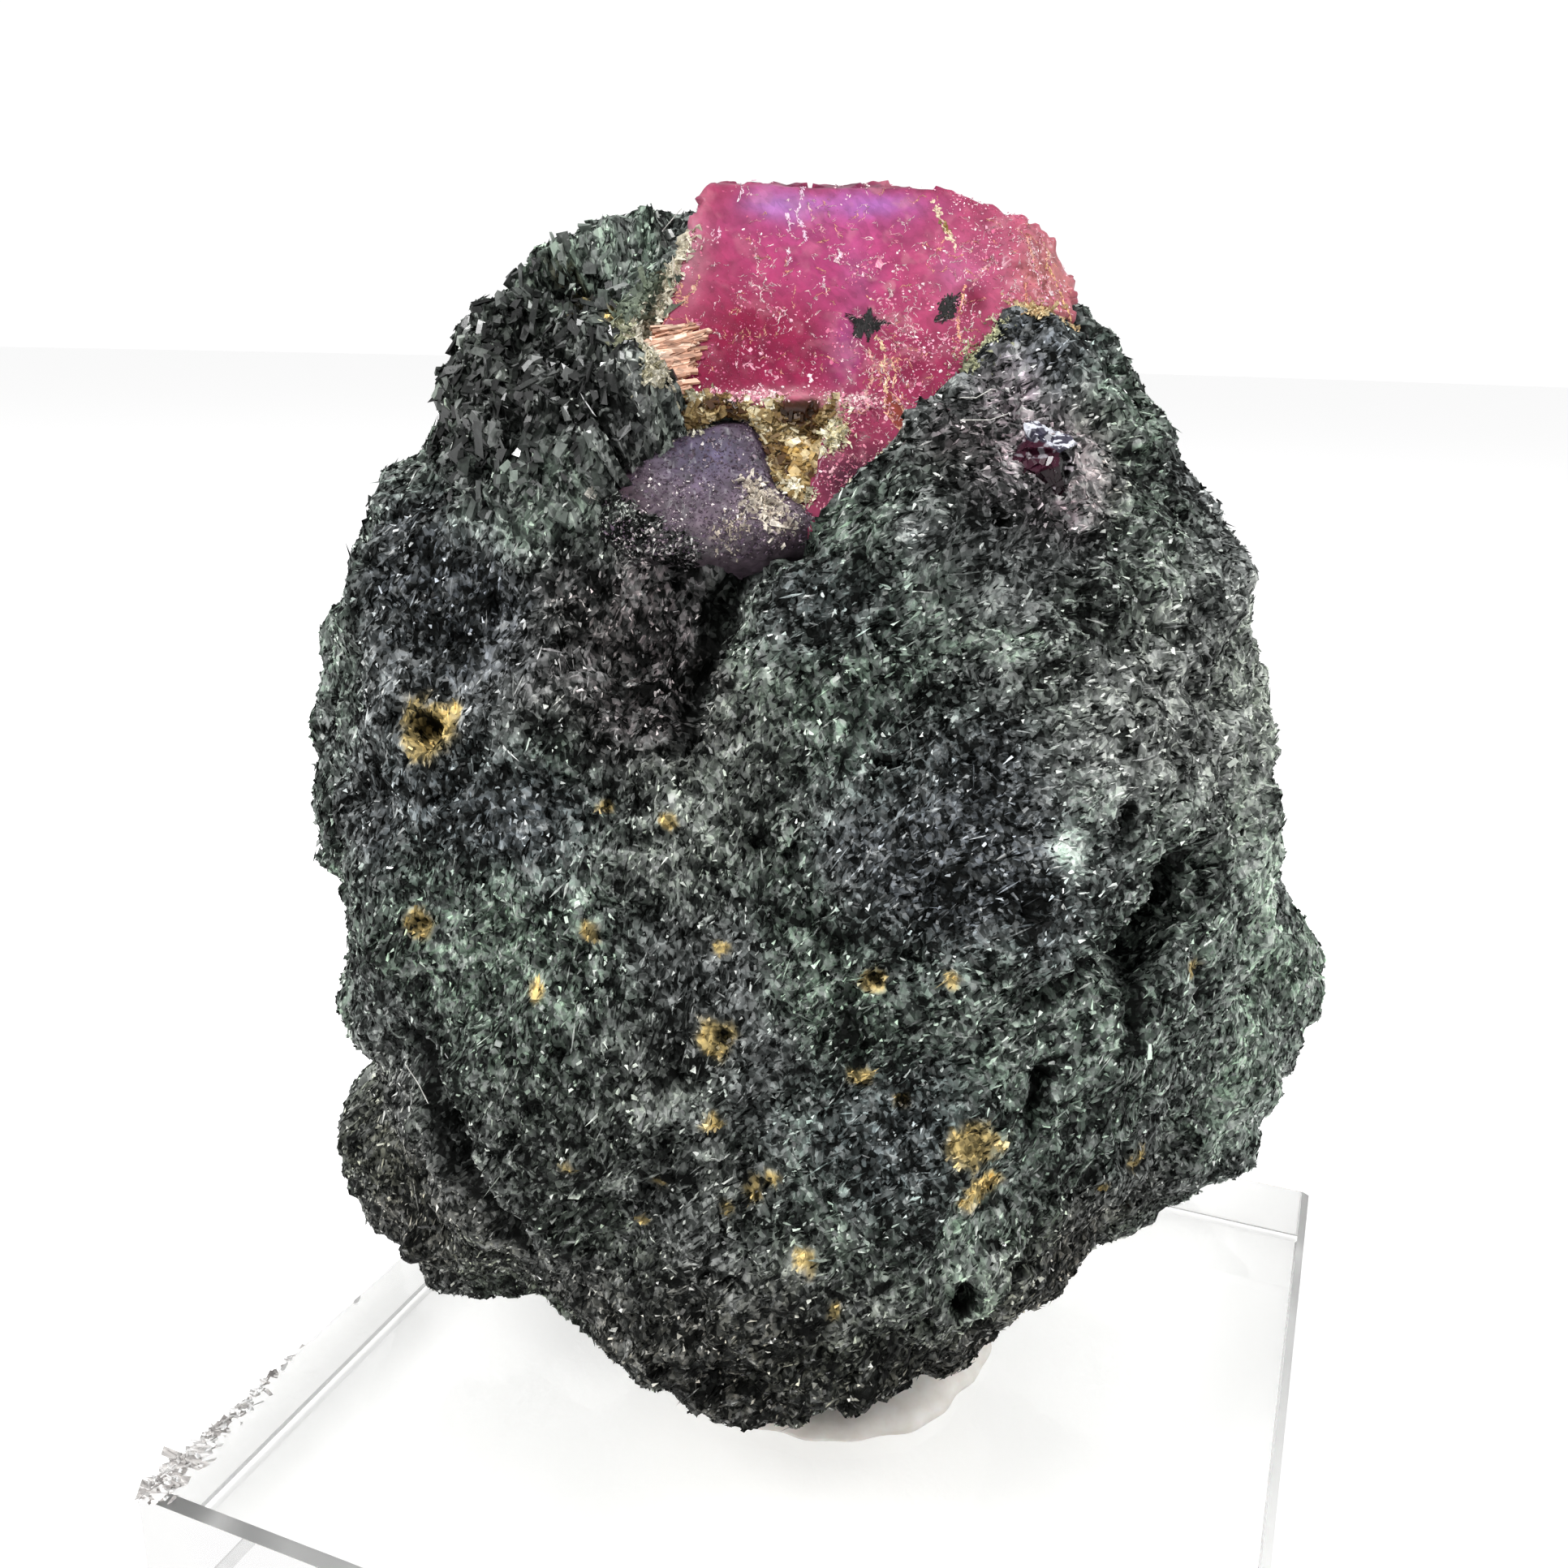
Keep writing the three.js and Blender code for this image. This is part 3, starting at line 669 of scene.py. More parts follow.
def make_piece(
    name: str, shell: Shell, finish: bpy.types.Material, slot: str, smooth: bool, **tints: Array
) -> bpy.types.Object:
    """Writes a shell to a mesh that rides on the part's one body.

    Args:
        name: Name of the piece.
        shell: The surface, in mm in the specimen's frame.
        finish: Its material.
        slot: Not used.
        smooth: Whether the faces are shaded smooth.
        **tints: Attributes: a linear colour (n, 3) or a number (n,) for each vertex.

    Returns:
        The object, at the origin, with its place in its mesh.
    """
    mesh = bpy.data.meshes.new(name)
    count, corners = shell.faces.shape
    mesh.vertices.add(len(shell.vertices))
    mesh.vertices.foreach_set("co", STANCE.to_part(shell.vertices).astype(np.float32).ravel())
    mesh.loops.add(count * corners)
    mesh.loops.foreach_set("vertex_index", shell.faces.astype(np.int32).ravel())
    mesh.polygons.add(count)
    mesh.polygons.foreach_set("loop_start", np.arange(0, count * corners, corners, dtype=np.int32))
    for key, values in tints.items():
        if values.ndim == 2:
            attribute = mesh.attributes.new(key, "FLOAT_COLOR", "POINT")
            filled = np.column_stack([values, np.ones(len(values))])
            attribute.data.foreach_set("color", filled.astype(np.float32).ravel())
        else:
            mesh.attributes.new(key, "FLOAT", "POINT").data.foreach_set("value", values.astype(np.float32))
    mesh.update(calc_edges=True)
    mesh.validate()
    if smooth:
        mesh.shade_smooth()
    else:
        mesh.shade_flat()
    mesh.materials.append(finish)
    piece = bpy.data.objects.new(name, mesh)
    bpy.context.scene.collection.objects.link(piece)
    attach(piece, ROOT)
    log.info("%s: %d vertices, %d faces", name, len(shell.vertices), count)
    return piece


def feed(tree: Tree, node: Node, **inputs: object) -> Node:
    """Sets or links inputs of a node.

    Args:
        tree: The node tree.
        node: The node.
        **inputs: A value, an output socket, or a node whose first output is meant, for each input. The
            keys are the inputs' names with _ for a space, or i and the input's number.

    Returns:
        The node.
    """
    for key, value in inputs.items():
        numbered = key[0] == "i" and key[1:].isdigit()
        socket = node.inputs[int(key[1:])] if numbered else node.inputs[key.replace("_", " ")]
        if isinstance(value, Node):
            value = value.outputs[0]
        if isinstance(value, bpy.types.NodeSocket):
            tree.links.new(value, socket)
        else:
            socket.default_value = value
    return node


def add_node(tree: Tree, kind: str, settings: dict | None = None, **inputs: object) -> Node:
    """Adds a node with its settings and its inputs.

    Args:
        tree: The node tree.
        kind: Blender's name for the node's type, less its first part, ShaderNode.
        settings: Properties of the node itself.
        **inputs: The inputs, as for `feed`.

    Returns:
        The node.
    """
    node = tree.nodes.new(f"ShaderNode{kind}")
    for key, value in (settings or {}).items():
        setattr(node, key, value)
    return feed(tree, node, **inputs)


def fill_ramp(node: Node, stops: dict[float, str]) -> None:
    """Gives a Color Ramp its stops: a place and an sRGB hex colour each.

    Args:
        node: The Color Ramp.
        stops: An sRGB hex colour for each stop's place.
    """
    elements = node.color_ramp.elements
    while len(elements) < len(stops):
        elements.new(0.5)
    for element, (place, colour) in zip(elements, stops.items()):
        element.position = place
        element.color = (*linear(colour), 1)


def start_material(name: str) -> tuple[bpy.types.Material, Tree, Node]:
    """A new material with its node tree and its Principled shader.

    Args:
        name: The material's name.

    Returns:
        The material, its tree and its shader.
    """
    material = bpy.data.materials.new(name)
    material.use_nodes = True
    return material, material.node_tree, material.node_tree.nodes["Principled BSDF"]


def millimetres(tree: Tree, size: float, stretch: Triple = (1, 1, 1), turn: Triple = (0, 0, 0)) -> Node:
    """Object coordinates counted in pattern sizes.

    Args:
        tree: The node tree.
        size: Real size of one step of the pattern, in mm.
        stretch: How much longer the pattern is along each of its own axes.
        turn: Turn of the pattern, in degrees about X, Y and Z.

    Returns:
        The node that gives the coordinates.
    """
    place = add_node(tree, "TexCoord").outputs["Object"]
    turned = add_node(tree, "Mapping", i0=place, Rotation=[math.radians(angle) for angle in turn])
    return add_node(tree, "Mapping", i0=turned, Scale=[1 / (size * MM * share) for share in stretch])


def cell_numbers(tree: Tree, place: Node) -> Node:
    """Random numbers in red, green and blue for each cell of a scatter: two nodes in line."""
    texture = add_node(tree, "TexVoronoi", Vector=place, Scale=1.0)
    return add_node(tree, "SeparateColor", i0=texture.outputs["Color"])


# ---- Finishes

CORUNDUM_IOR = 1.77
ACRYLIC_IOR = 1.49

# Grey of each tone, so that a tone of a half shows as middle grey
TONE_STOPS = {0.0: "#060706", 0.1: "#1a1c1b", 0.2: "#333534", 0.3: "#4c4e4d"}
TONE_STOPS |= {0.45: "#727473", 0.6: "#999b9a", 0.8: "#ccceca", 1.0: "#f8f9f6"}

# Settings of a Mix node that multiplies two colours
MULTIPLY = {"data_type": "RGBA", "blend_type": "MULTIPLY"}


@dataclass(frozen=True)
class MineralFinish:
    """Amphibole schist and its grains, broken: interlocked crystals, each with its own shade.

    The eye sees salt-and-pepper speckle with a glassy wink here and there. Attribute `tone` is how
    light each place shows, attribute `cast` its hue, and cells of two sizes and a cloudy noise vary it.
    """

    name: str
    fine: float = 0.38  # tone between the finest cells
    coarse: float = 0.32  # tone between the coarser cells
    cloud: float = 0.55  # tone of the cloudy noise
    cell: float = 0.17  # width of the finest cells, mm
    roughness: float = 0.55
    specular: float = 0.06
    bump: float = 0.06  # height between cells, mm

    def material(self) -> bpy.types.Material:
        """Builds the finish.

        Returns:
            The finished material.
        """
        material, tree, shader = start_material(self.name)
        tone = add_node(tree, "Attribute", {"attribute_name": "tone"}).outputs["Fac"]
        cast = add_node(tree, "Attribute", {"attribute_name": "cast"}).outputs["Color"]
        pepper = cell_numbers(tree, millimetres(tree, self.cell, (1, 1, 1.5), (0, 20, 0)))
        grain = cell_numbers(tree, millimetres(tree, self.cell * 2, (1, 1, 1.6), (0, -35, 0)))
        place = millimetres(tree, 0.9)
        noise = add_node(tree, "TexNoise", Vector=place, Scale=1.0, Detail=3.0, Roughness=0.7)
        for source, strength in ((pepper, self.fine), (grain, self.coarse), (noise, self.cloud)):
            off = add_node(tree, "Math", {"operation": "SUBTRACT"}, i0=source, i1=0.5)
            tone = add_node(tree, "Math", {"operation": "MULTIPLY_ADD"}, i0=off, i1=strength, i2=tone)
        shade = add_node(tree, "ValToRGB", i0=tone)
        fill_ramp(shade, TONE_STOPS)
        hued = add_node(tree, "Mix", MULTIPLY, i0=1.0, i6=shade, i7=cast)
        glassy = {"From_Min": 0.8, "To_Min": self.roughness, "To_Max": self.roughness * 0.45}
        polish = add_node(tree, "MapRange", Value=pepper.outputs[1], **glassy)
        relief = add_node(tree, "Bump", Strength=1.0, Distance=self.bump * MM, Height=pepper.outputs[2])
        feed(tree, shader, Base_Color=hued.outputs[2], Roughness=polish, Normal=relief)
        feed(tree, shader, Specular_IOR_Level=self.specular)
        return material


@dataclass(frozen=True)
class GrainFinish:
    """Cleavage faces of mica: flat and glassy, with the colour of each flake in `tint`."""

    name: str
    roughness: float = 0.38
    specular: float = 0.35
    mottle: float = 0.12  # width of the shading within a flake, mm
    streak: float = 2.5  # how much longer than wide that shading is

    def material(self) -> bpy.types.Material:
        """Builds the finish.

        Returns:
            The finished material.
        """
        material, tree, shader = start_material(self.name)
        tint = add_node(tree, "Attribute", {"attribute_name": "tint"}).outputs["Color"]
        shade = cell_numbers(tree, millimetres(tree, self.mottle, (self.streak, 1, 1)))
        level = add_node(tree, "MapRange", Value=shade, To_Min=0.6, To_Max=1.3)
        body = add_node(tree, "Mix", MULTIPLY, i0=1.0, i6=tint, i7=level)
        feed(tree, shader, Base_Color=body.outputs[2], Roughness=self.roughness)
        feed(tree, shader, Specular_IOR_Level=self.specular)
        return material


@dataclass(frozen=True)
class FracturedCorundum:
    """Corundum broken across: glassy and part clear, clouded inside, its colour in attribute `tint`.

    Light goes some way under the surface, so the stone glows, and fine dimples give it a wet sparkle.
    """

    name: str
    glow: float = 0.2  # share of the light that travels under the surface
    glow_reach: Triple = (1.0, 0.25, 0.4)  # mm that red, green and blue travel
    roughness: float = 0.3
    specular: float = 0.16
    parting: float = 0.25  # how much lighter the lightest of the fine parting planes is
    sparkle: float = 0.16  # width of the dimples, mm
    bump: float = 0.012  # depth of the dimples, mm

    def material(self) -> bpy.types.Material:
        """Builds the finish.

        Returns:
            The finished material.
        """
        material, tree, shader = start_material(self.name)
        tint = add_node(tree, "Attribute", {"attribute_name": "tint"}).outputs["Color"]
        place = millimetres(tree, 0.6)
        cloud = add_node(tree, "TexNoise", Vector=place, Scale=1.0, Detail=6.0, Roughness=0.65)
        clouding = {"From_Min": 0.3, "From_Max": 0.7, "To_Min": 0.8, "To_Max": 1.25}
        level = add_node(tree, "MapRange", Value=cloud, **clouding)
        cell = cell_numbers(tree, millimetres(tree, 0.2, (1, 1, 2.5), (0, 40, 0)))
        parting = add_node(tree, "Math", {"operation": "MULTIPLY_ADD"}, i0=cell, i1=self.parting, i2=level)
        body = add_node(tree, "Mix", MULTIPLY, i0=1.0, i6=tint, i7=parting)
        dimples = cell_numbers(tree, millimetres(tree, self.sparkle))
        relief = add_node(tree, "Bump", Strength=0.7, Distance=self.bump * MM, Height=dimples)
        feed(tree, shader, Base_Color=body.outputs[2], Roughness=self.roughness, Normal=relief)
        feed(tree, shader, IOR=CORUNDUM_IOR, Specular_IOR_Level=self.specular, Subsurface_Scale=MM)
        feed(tree, shader, Subsurface_Weight=self.glow, Subsurface_Radius=self.glow_reach)
        return material


@dataclass(frozen=True)
class CastAcrylic:
    """Cast acrylic, cut and polished: clear as glass, with narrow scraped chamfers that look frosted."""

    name: str = "cast_acrylic_polished"
    clear: str = "#fbfbfa"
    roughness: float = 0.02
    scraped: float = 0.45  # roughness of the chamfers

    def material(self) -> bpy.types.Material:
        """Builds the finish.

        Returns:
            The finished material.
        """
        material, tree, shader = start_material(self.name)
        facing = add_node(tree, "NewGeometry").outputs["True Normal"]
        parts = add_node(tree, "VectorMath", {"operation": "ABSOLUTE"}, i0=facing)
        parts = add_node(tree, "SeparateXYZ", i0=parts)
        most = parts
        for part in parts.outputs[1:]:
            most = add_node(tree, "Math", {"operation": "MAXIMUM"}, i0=most, i1=part)
        levels = {"From_Min": 0.8, "From_Max": 0.95, "To_Min": self.scraped, "To_Max": self.roughness}
        rough = add_node(tree, "MapRange", Value=most, **levels)
        feed(tree, shader, Base_Color=(*linear(self.clear), 1), Transmission_Weight=1.0, IOR=ACRYLIC_IOR)
        feed(tree, shader, Roughness=rough)
        return material


@dataclass(frozen=True)
class MountingTack:
    """Synthetic rubber tack, pressed by hand: matt white, faintly dimpled, slightly soft to the light."""

    name: str = "white_mounting_tack_pressed"
    colour: str = "#f4f1ec"
    dimple: float = 0.7  # width of the dimples, mm

    def material(self) -> bpy.types.Material:
        """Builds the finish.

        Returns:
            The finished material.
        """
        material, tree, shader = start_material(self.name)
        noise = add_node(tree, "TexNoise", Vector=millimetres(tree, self.dimple), Scale=1.0, Detail=4.0)
        ramp = add_node(tree, "ValToRGB", i0=noise)
        fill_ramp(ramp, {0.3: "#e9e4dc", 0.7: self.colour})
        relief = add_node(tree, "Bump", Strength=0.5, Distance=0.08 * MM, Height=noise)
        feed(tree, shader, Base_Color=ramp, Roughness=0.8, Normal=relief)
        feed(tree, shader, Subsurface_Weight=0.15, Subsurface_Scale=MM)
        return material


# ---- Form of the rock


@dataclass(frozen=True)
class Bulge:
    """An ellipsoid that swells out of the rock: middle, radii, and how softly it joins."""

    centre: Triple
    radii: Triple
    softness: float

    def form(self, points: Array) -> Array:
        """(Length of the offset over the radii, less one) times the least radius."""
        return (np.linalg.norm((points - self.centre) / self.radii, axis=-1) - 1) * min(self.radii)


@dataclass(frozen=True)
class Stroke:
    """A straight line on the rock's front, between two points given by x and z."""

    start: Pair
    end: Pair

    def measure(self, x: Array, z: Array) -> tuple[Array, Array, float]:
        """Distance along the line, distance to its upper left, and the line's length.

        Args:
            x: Places across the front, in mm.
            z: Their heights, in mm.

        Returns:
            The two distances for each place, and the length, in mm.
        """
        run, rise = self.end[0] - self.start[0], self.end[1] - self.start[1]
        length = math.hypot(run, rise)
        along = ((x - self.start[0]) * run + (z - self.start[1]) * rise) / length
        beside = ((z - self.start[1]) * run - (x - self.start[0]) * rise) / length
        return along, beside, length


@dataclass(frozen=True)
class Ledge:
    """A break in the front: beyond the line the surface stands lower, and rises again over its reach."""

    line: Stroke
    width: float
    drop: float
    reach: float
    fade: float

    def depth(self, x: Array, z: Array) -> Array:
        """Drop eased in across the width and at both ends, times a bell curve over the reach.

        Args:
            x: Places across the front, in mm.
            z: Their heights, in mm.

        Returns:
            The drop at each place, in mm.
        """
        along, beside, length = self.line.measure(x, z)
        ends = smoothstep(along / self.fade + 0.5) * smoothstep((length - along) / self.fade + 0.5)
        over = -beside
        fall = np.exp(-((np.maximum(over, 0) / self.reach) ** 2))
        return self.drop * ends * smoothstep(over / self.width + 0.5) * fall


@dataclass(frozen=True)
class Groove:
    """A groove in the front, with a bell-shaped section and round ends; where a crevice runs along it,
    painted shade darkens it.
    """

    line: Stroke
    width: float
    deep: float

    def depth(self, x: Array, z: Array) -> Array:
        """Depth times exp(-(distance from the line over the width)²).

        Args:
            x: Places across the front, in mm.
            z: Their heights, in mm.

        Returns:
            The depth at each place, in mm.
        """
        along, beside, length = self.line.measure(x, z)
        beyond = np.maximum(np.maximum(-along, along - length), 0)
        return self.deep * np.exp(-(beside**2 + beyond**2) / self.width**2)


@dataclass(frozen=True)
class Blade:
    """A blocky amphibole crystal on the crest: middle, size, and turns about Y and then Z in degrees."""

    at: Triple
    size: Triple
    lean: float
    turn: float

    def form(self, points: Array) -> Array:
        """Greatest distance beyond the box's faces, in the box's own axes.

        Args:
            points: Places in the specimen's frame, in mm, one row each.

        Returns:
            A distance for each place, in mm, below zero inside.
        """
        turn, lean = math.radians(self.turn), math.radians(self.lean)
        x, y, z = (points - np.array(self.at)).T
        x, y = x * math.cos(turn) + y * math.sin(turn), y * math.cos(turn) - x * math.sin(turn)
        x, z = x * math.cos(lean) - z * math.sin(lean), x * math.sin(lean) + z * math.cos(lean)
        half = np.array(self.size) / 2
        return np.max([np.abs(x) - half[0], np.abs(y) - half[1], np.abs(z) - half[2]], axis=0)


@dataclass(frozen=True)
class Crevice:
    """A narrow crack of the front, darkened by painted shade: its path by x and z, half width and depth."""

    path: Line
    width: float
    depth: float

    def share(self, x: Array, z: Array) -> Array:
        """Bell curve over the distance from the path."""
        return np.exp(-((path_distance(x, z, np.array(self.path)) / self.width) ** 2))


def crevices(points: Array) -> tuple[Array, Array]:
    """How deep in a crevice each point of the front is, from 0 to 1, and the depth there in mm.

    Args:
        points: Places in the specimen's frame, in mm, one row each.

    Returns:
        The share, from 0 to 1, and the depth, in mm, at each place.
    """
    share, depth = np.zeros(len(points)), np.zeros(len(points))
    front = np.flatnonzero(points[:, 1] < 1)
    spots = points[front]
    ragged = jostled(spots, 0.3, 0.8, 700, 2)
    for crevice in CREVICES:
        own = crevice.share(ragged[:, 0], ragged[:, 2])
        share[front] = np.maximum(share[front], own)
        depth[front] = np.maximum(depth[front], crevice.depth * own)
    return share, depth


CREST_BLADES = (
    Blade((-15.6, -1.2, 43.6), (2.6, 3.0, 3.6), 24, 10),
    Blade((-14.9, 0.8, 45.6), (2.4, 3.4, 3.4), 34, -14),
    Blade((-13.8, -1.0, 46.9), (2.8, 3.0, 3.0), 42, 20), Blade((-12.4, 0.8, 48.2), (3.0, 3.6, 2.8), 50, -8),
    Blade((-10.6, -0.4, 49.4), (3.6, 3.2, 2.6), 66, 12), Blade((-8.6, 0.2, 50.3), (3.2, 3.6, 2.2), 76, -10),
    Blade((-13.6, -3.4, 45.0), (1.4, 2.4, 3.2), 16, 25),
    Blade((-12.0, -4.0, 46.0), (1.6, 2.4, 2.6), 28, -18),
    Blade((-10.4, -4.6, 46.8), (1.8, 2.3, 2.4), 10, 15),
    Blade((-14.4, -3.2, 42.2), (1.4, 2.4, 3.0), 14, -12),
    Blade((-12.7, -4.9, 42.9), (1.4, 2.2, 2.8), 20, 22),
    Blade((-10.8, -6.0, 44.0), (1.3, 2.2, 2.6), 6, -20),
)

CREVICES = (
    Crevice(((-2.4, 40.6), (-4.2, 39.5), (-4.8, 38.2), (-5.3, 37.0), (-5.9, 35.0), (-6.2, 33.4)), 0.5, 1.0),
    Crevice(((-16.6, 20.4), (-15.4, 18.2), (-14.6, 16.4), (-13.5, 14.4), (-12.7, 12.4)), 0.85, 2.3),
    Crevice(((12.1, 29.0), (11.5, 27.4), (10.4, 26.0)), 0.8, 1.4),
    Crevice(((10.3, 26.0), (8.6, 25.8), (6.6, 24.8)), 0.5, 0.9),
    Crevice(((10.6, 24.8), (10.6, 22.4)), 0.4, 0.8), Crevice(((13.6, 24.8), (13.8, 22.6)), 0.35, 0.8),
    Crevice(((9.7, 31.9), (9.7, 31.1)), 0.3, 0.7), Crevice(((7.3, 21.8), (7.1, 20.2)), 0.5, 0.8),
    Crevice(((-13.2, 46.8), (-12.4, 45.4), (-12.3, 44.2)), 0.55, 0.9),
    Crevice(((-10.9, 45.4), (-9.3, 45.9)), 0.3, 0.5), Crevice(((-11.2, 48.6), (-10.6, 47.8)), 0.35, 0.5),
    Crevice(((4.8, 13.1), (4.8, 12.3)), 0.45, 0.8),
    Crevice(((5.6, 9.6), (6.6, 12.4), (7.2, 14.6)), 0.35, 0.4),
)


@dataclass(frozen=True)
class RockForm:
    """The cobble as a number for every point of space, below zero inside, in mm."""

    centre: Triple = (-1.8, 0.0, 27.2)
    outline: tuple[float, ...] = (
        24.4, 24.0, 23.2, 22.0, 21.4, 20.4, 19.8, 20.0, 20.0, 21.4, 23.4, 24.2, 25.2, 24.8, 23.2, 22.0,
        20.6, 20.2, 21.0, 20.8, 21.8, 22.2, 24.0, 25.2,
    )  # radii every 15 degrees, clockwise from straight up
    front: float = 15.5
    back: float = 14.5
    lean: float = 0.15
    squareness: float = 2.5
    foot: float = 1.3
    bulges: tuple[Bulge, ...] = (
        Bulge((-0.5, 6.5, 13.5), (17.5, 9.4, 11.0), 4), Bulge((13.0, 4.6, 16.2), (10.2, 9.6, 10.6), 4),
        Bulge((-16.9, 2.6, 8.6), (6.6, 8.6, 6.8), 1.6), Bulge((6.6, -4.9, 45.5), (3.6, 3.0, 3.0), 1.5),
    )
    swells: tuple[tuple[float, ...], ...] = (
        (-12.5, 45.5, 4.5, 4.0, 1.6), (2.6, 42.0, 4.5, 3.5, 1.3), (-8.0, 34.6, 3.4, 4.4, -1.4),
        (-14.5, 38.0, 3.0, 3.4, -0.8), (-15.5, 34.5, 4.0, 4.0, 0.5), (8.0, 26.0, 6.0, 5.0, 0.7),
        (10.5, 27.0, 2.2, 1.6, -1.0), (-3.0, 24.0, 2.6, 9.0, -0.5), (-12.0, 18.0, 5.0, 6.0, 0.6),
        (3.0, 11.0, 6.0, 5.0, 0.5), (12.5, 40.0, 3.0, 4.0, 0.6),
    )  # x, z, half width, half height, rise
    ledges: tuple[Ledge, ...] = (
        Ledge(Stroke((-1.4, 42.6), (-6.4, 33.6)), 0.9, 2.2, 6, 3),
        Ledge(Stroke((-9.4, 49.4), (-16.2, 42.6)), 1.2, 0.8, 5, 2),
    )
    grooves: tuple[Groove, ...] = (
        Groove(Stroke((13.2, 28.6), (10.8, 26.6)), 0.9, 1.3),
        Groove(Stroke((10.8, 26.6), (7.3, 23.8)), 1.0, 1.1),
        Groove(Stroke((14.6, 21.6), (14.2, 19.4)), 0.7, 0.9),
        Groove(Stroke((11.8, 19.2), (11.6, 18.0)), 0.6, 0.7),
    )
    rim: Line = (
        (19.6, 29.0), (18.6, 25.4), (15.0, 23.2), (14.6, 19.0), (9.6, 18.2), (7.4, 14.4), (7.2, 11.0),
        (5.0, 7.0), (4.0, 3.0),
    )
    rim_drop: float = 1.7
    rim_width: float = 1.6
    rim_fade: float = 5.0
    lumps: tuple[tuple[float, ...], ...] = (
        (0.42, 0.31, -0.27, 0.3, 0.34), (-0.25, 0.47, 0.38, 1.7, 0.3), (0.71, -0.22, 0.52, 2.9, 0.22),
        (-0.63, 0.35, 0.77, 4.1, 0.2), (1.15, 0.48, -0.66, 0.9, 0.13), (0.35, -1.05, 0.98, 5.3, 0.13),
        (-0.88, -0.71, 1.21, 2.2, 0.11), (1.62, 0.9, 0.75, 3.6, 0.08), (-1.1, 1.4, 1.35, 1.2, 0.08),
    )  # waves along x, y, z, phase, height
    swirl: float = 1.3
    recess: Line = (
        (-3.6, 19), (14, 19), (14, 9.2), (9.8, 8.9), (7.3, 8.9), (6.3, 7.4), (4.7, 5.1), (1.7, 1.7),
        (0, -0.4), (-1.2, -1.6), (-2.8, -2.1), (-4.8, -2.0), (-6.8, -0.6), (-7.9, 1.0), (-7.3, 2.2),
        (-6.1, 3.6), (-5.0, 4.6), (-6.7, 6.8), (-6.4, 9), (-5.8, 11), (-4.4, 14.5),
    )  # opening in front of the crystals, in u and v
    recess_floor: float = -0.6
    recess_flare: float = 0.1

    def outline_radius(self, angle: Array) -> Array:
        """Radius of the front outline: a smooth curve through the given radii.

        Args:
            angle: Directions seen from the front, in radians.

        Returns:
            The radius in each direction, in mm.
        """
        radii = np.array(self.outline)
        count = len(radii)
        place = (angle / (2 * math.pi) * count) % count
        step = np.floor(place).astype(int)
        t = place - step
        a, b, c, d = (radii[(step + offset) % count] for offset in (-1, 0, 1, 2))
        return b + 0.5 * t * (c - a + t * (2 * a - 5 * b + 4 * c - d + t * (3 * (b - c) + d - a)))

    def rim_depth(self, x: Array, z: Array) -> Array:
        """Drop of the flank beyond the rim, eased in over the rim's width and at both ends.

        Args:
            x: Places across the front, in mm.
            z: Their heights, in mm.

        Returns:
            The drop at each place, in mm.
        """
        chord = Stroke(self.rim[0], self.rim[-1])
        along, beside, length = chord.measure(x, z)
        corners = np.array(self.rim)
        corner_along, corner_beside, _ = chord.measure(corners[:, 0], corners[:, 1])
        edge = np.interp(along, corner_along, corner_beside)
        fade = smoothstep(along / self.rim_fade) * smoothstep((length - along) / self.rim_fade)
        return self.rim_drop * fade * smoothstep((beside - edge) / self.rim_width + 0.1)

    def front_rise(self, x: Array, z: Array) -> Array:
        """Rise of the front over the plain egg: swells, less ledges, grooves and the rim's drop.

        Args:
            x: Places across the front, in mm.
            z: Their heights, in mm.

        Returns:
            The rise at each place, in mm.
        """
        rise = -self.rim_depth(x, z)
        for centre_x, centre_z, half_width, half_height, height in self.swells:
            rise += height * bell(x, z, (centre_x, centre_z), (half_width, half_height))
        for cut in (*self.ledges, *self.grooves):
            rise -= cut.depth(x, z)
        return rise

    def low_lumps(self, points: Array) -> Array:
        """Sum of plane waves over coordinates that are themselves swirled by slow waves.

        Args:
            points: Places in the specimen's frame, in mm, one row each.

        Returns:
            A height for each place, about -1 to 1.
        """
        x, y, z = points[..., 0], points[..., 1], points[..., 2]
        swirled_x = x + self.swirl * np.sin(0.31 * z + 0.23 * y)
        swirled_z = z + self.swirl * np.sin(0.29 * x + 0.37 * y + 1)
        total = np.zeros(x.shape)
        for a, b, c, start, height in self.lumps:
            total += height * np.sin(a * swirled_x + b * y + c * swirled_z + start)
        return total

    def cobble(self, points: Array) -> Array:
        """The rock without its opening: a squarish egg, softly joined by its bulges, with low lumps.

        Args:
            points: Places in the specimen's frame, in mm, one row each.

        Returns:
            A distance for each place, in mm, below zero inside.
        """
        across = points[..., 0] - self.centre[0]
        up = points[..., 2] - self.centre[2]
        deep = points[..., 1] - self.lean * up
        rise = self.front_rise(points[..., 0], points[..., 2])
        depth_share = np.where(deep < 0, (deep + rise) / self.front, deep / self.back)
        outline_share = np.hypot(across, up) / self.outline_radius(np.arctan2(across, up))
        power = self.squareness
        form = 20 * ((outline_share**power + np.abs(depth_share) ** power) ** (1 / power) - 1)
        for bulge in self.bulges:
            other = bulge.form(points)
            share = np.clip(0.5 + 0.5 * (other - form) / bulge.softness, 0, 1)
            form = other + (form - other) * share - bulge.softness * share * (1 - share)
        form = form + self.low_lumps(points)
        near = np.flatnonzero((points[:, 2] > 38) & (points[:, 0] < -5))
        for blade in CREST_BLADES:
            form[near] = np.minimum(form[near], blade.form(points[near]))
        return np.maximum(form, self.foot - points[..., 2])

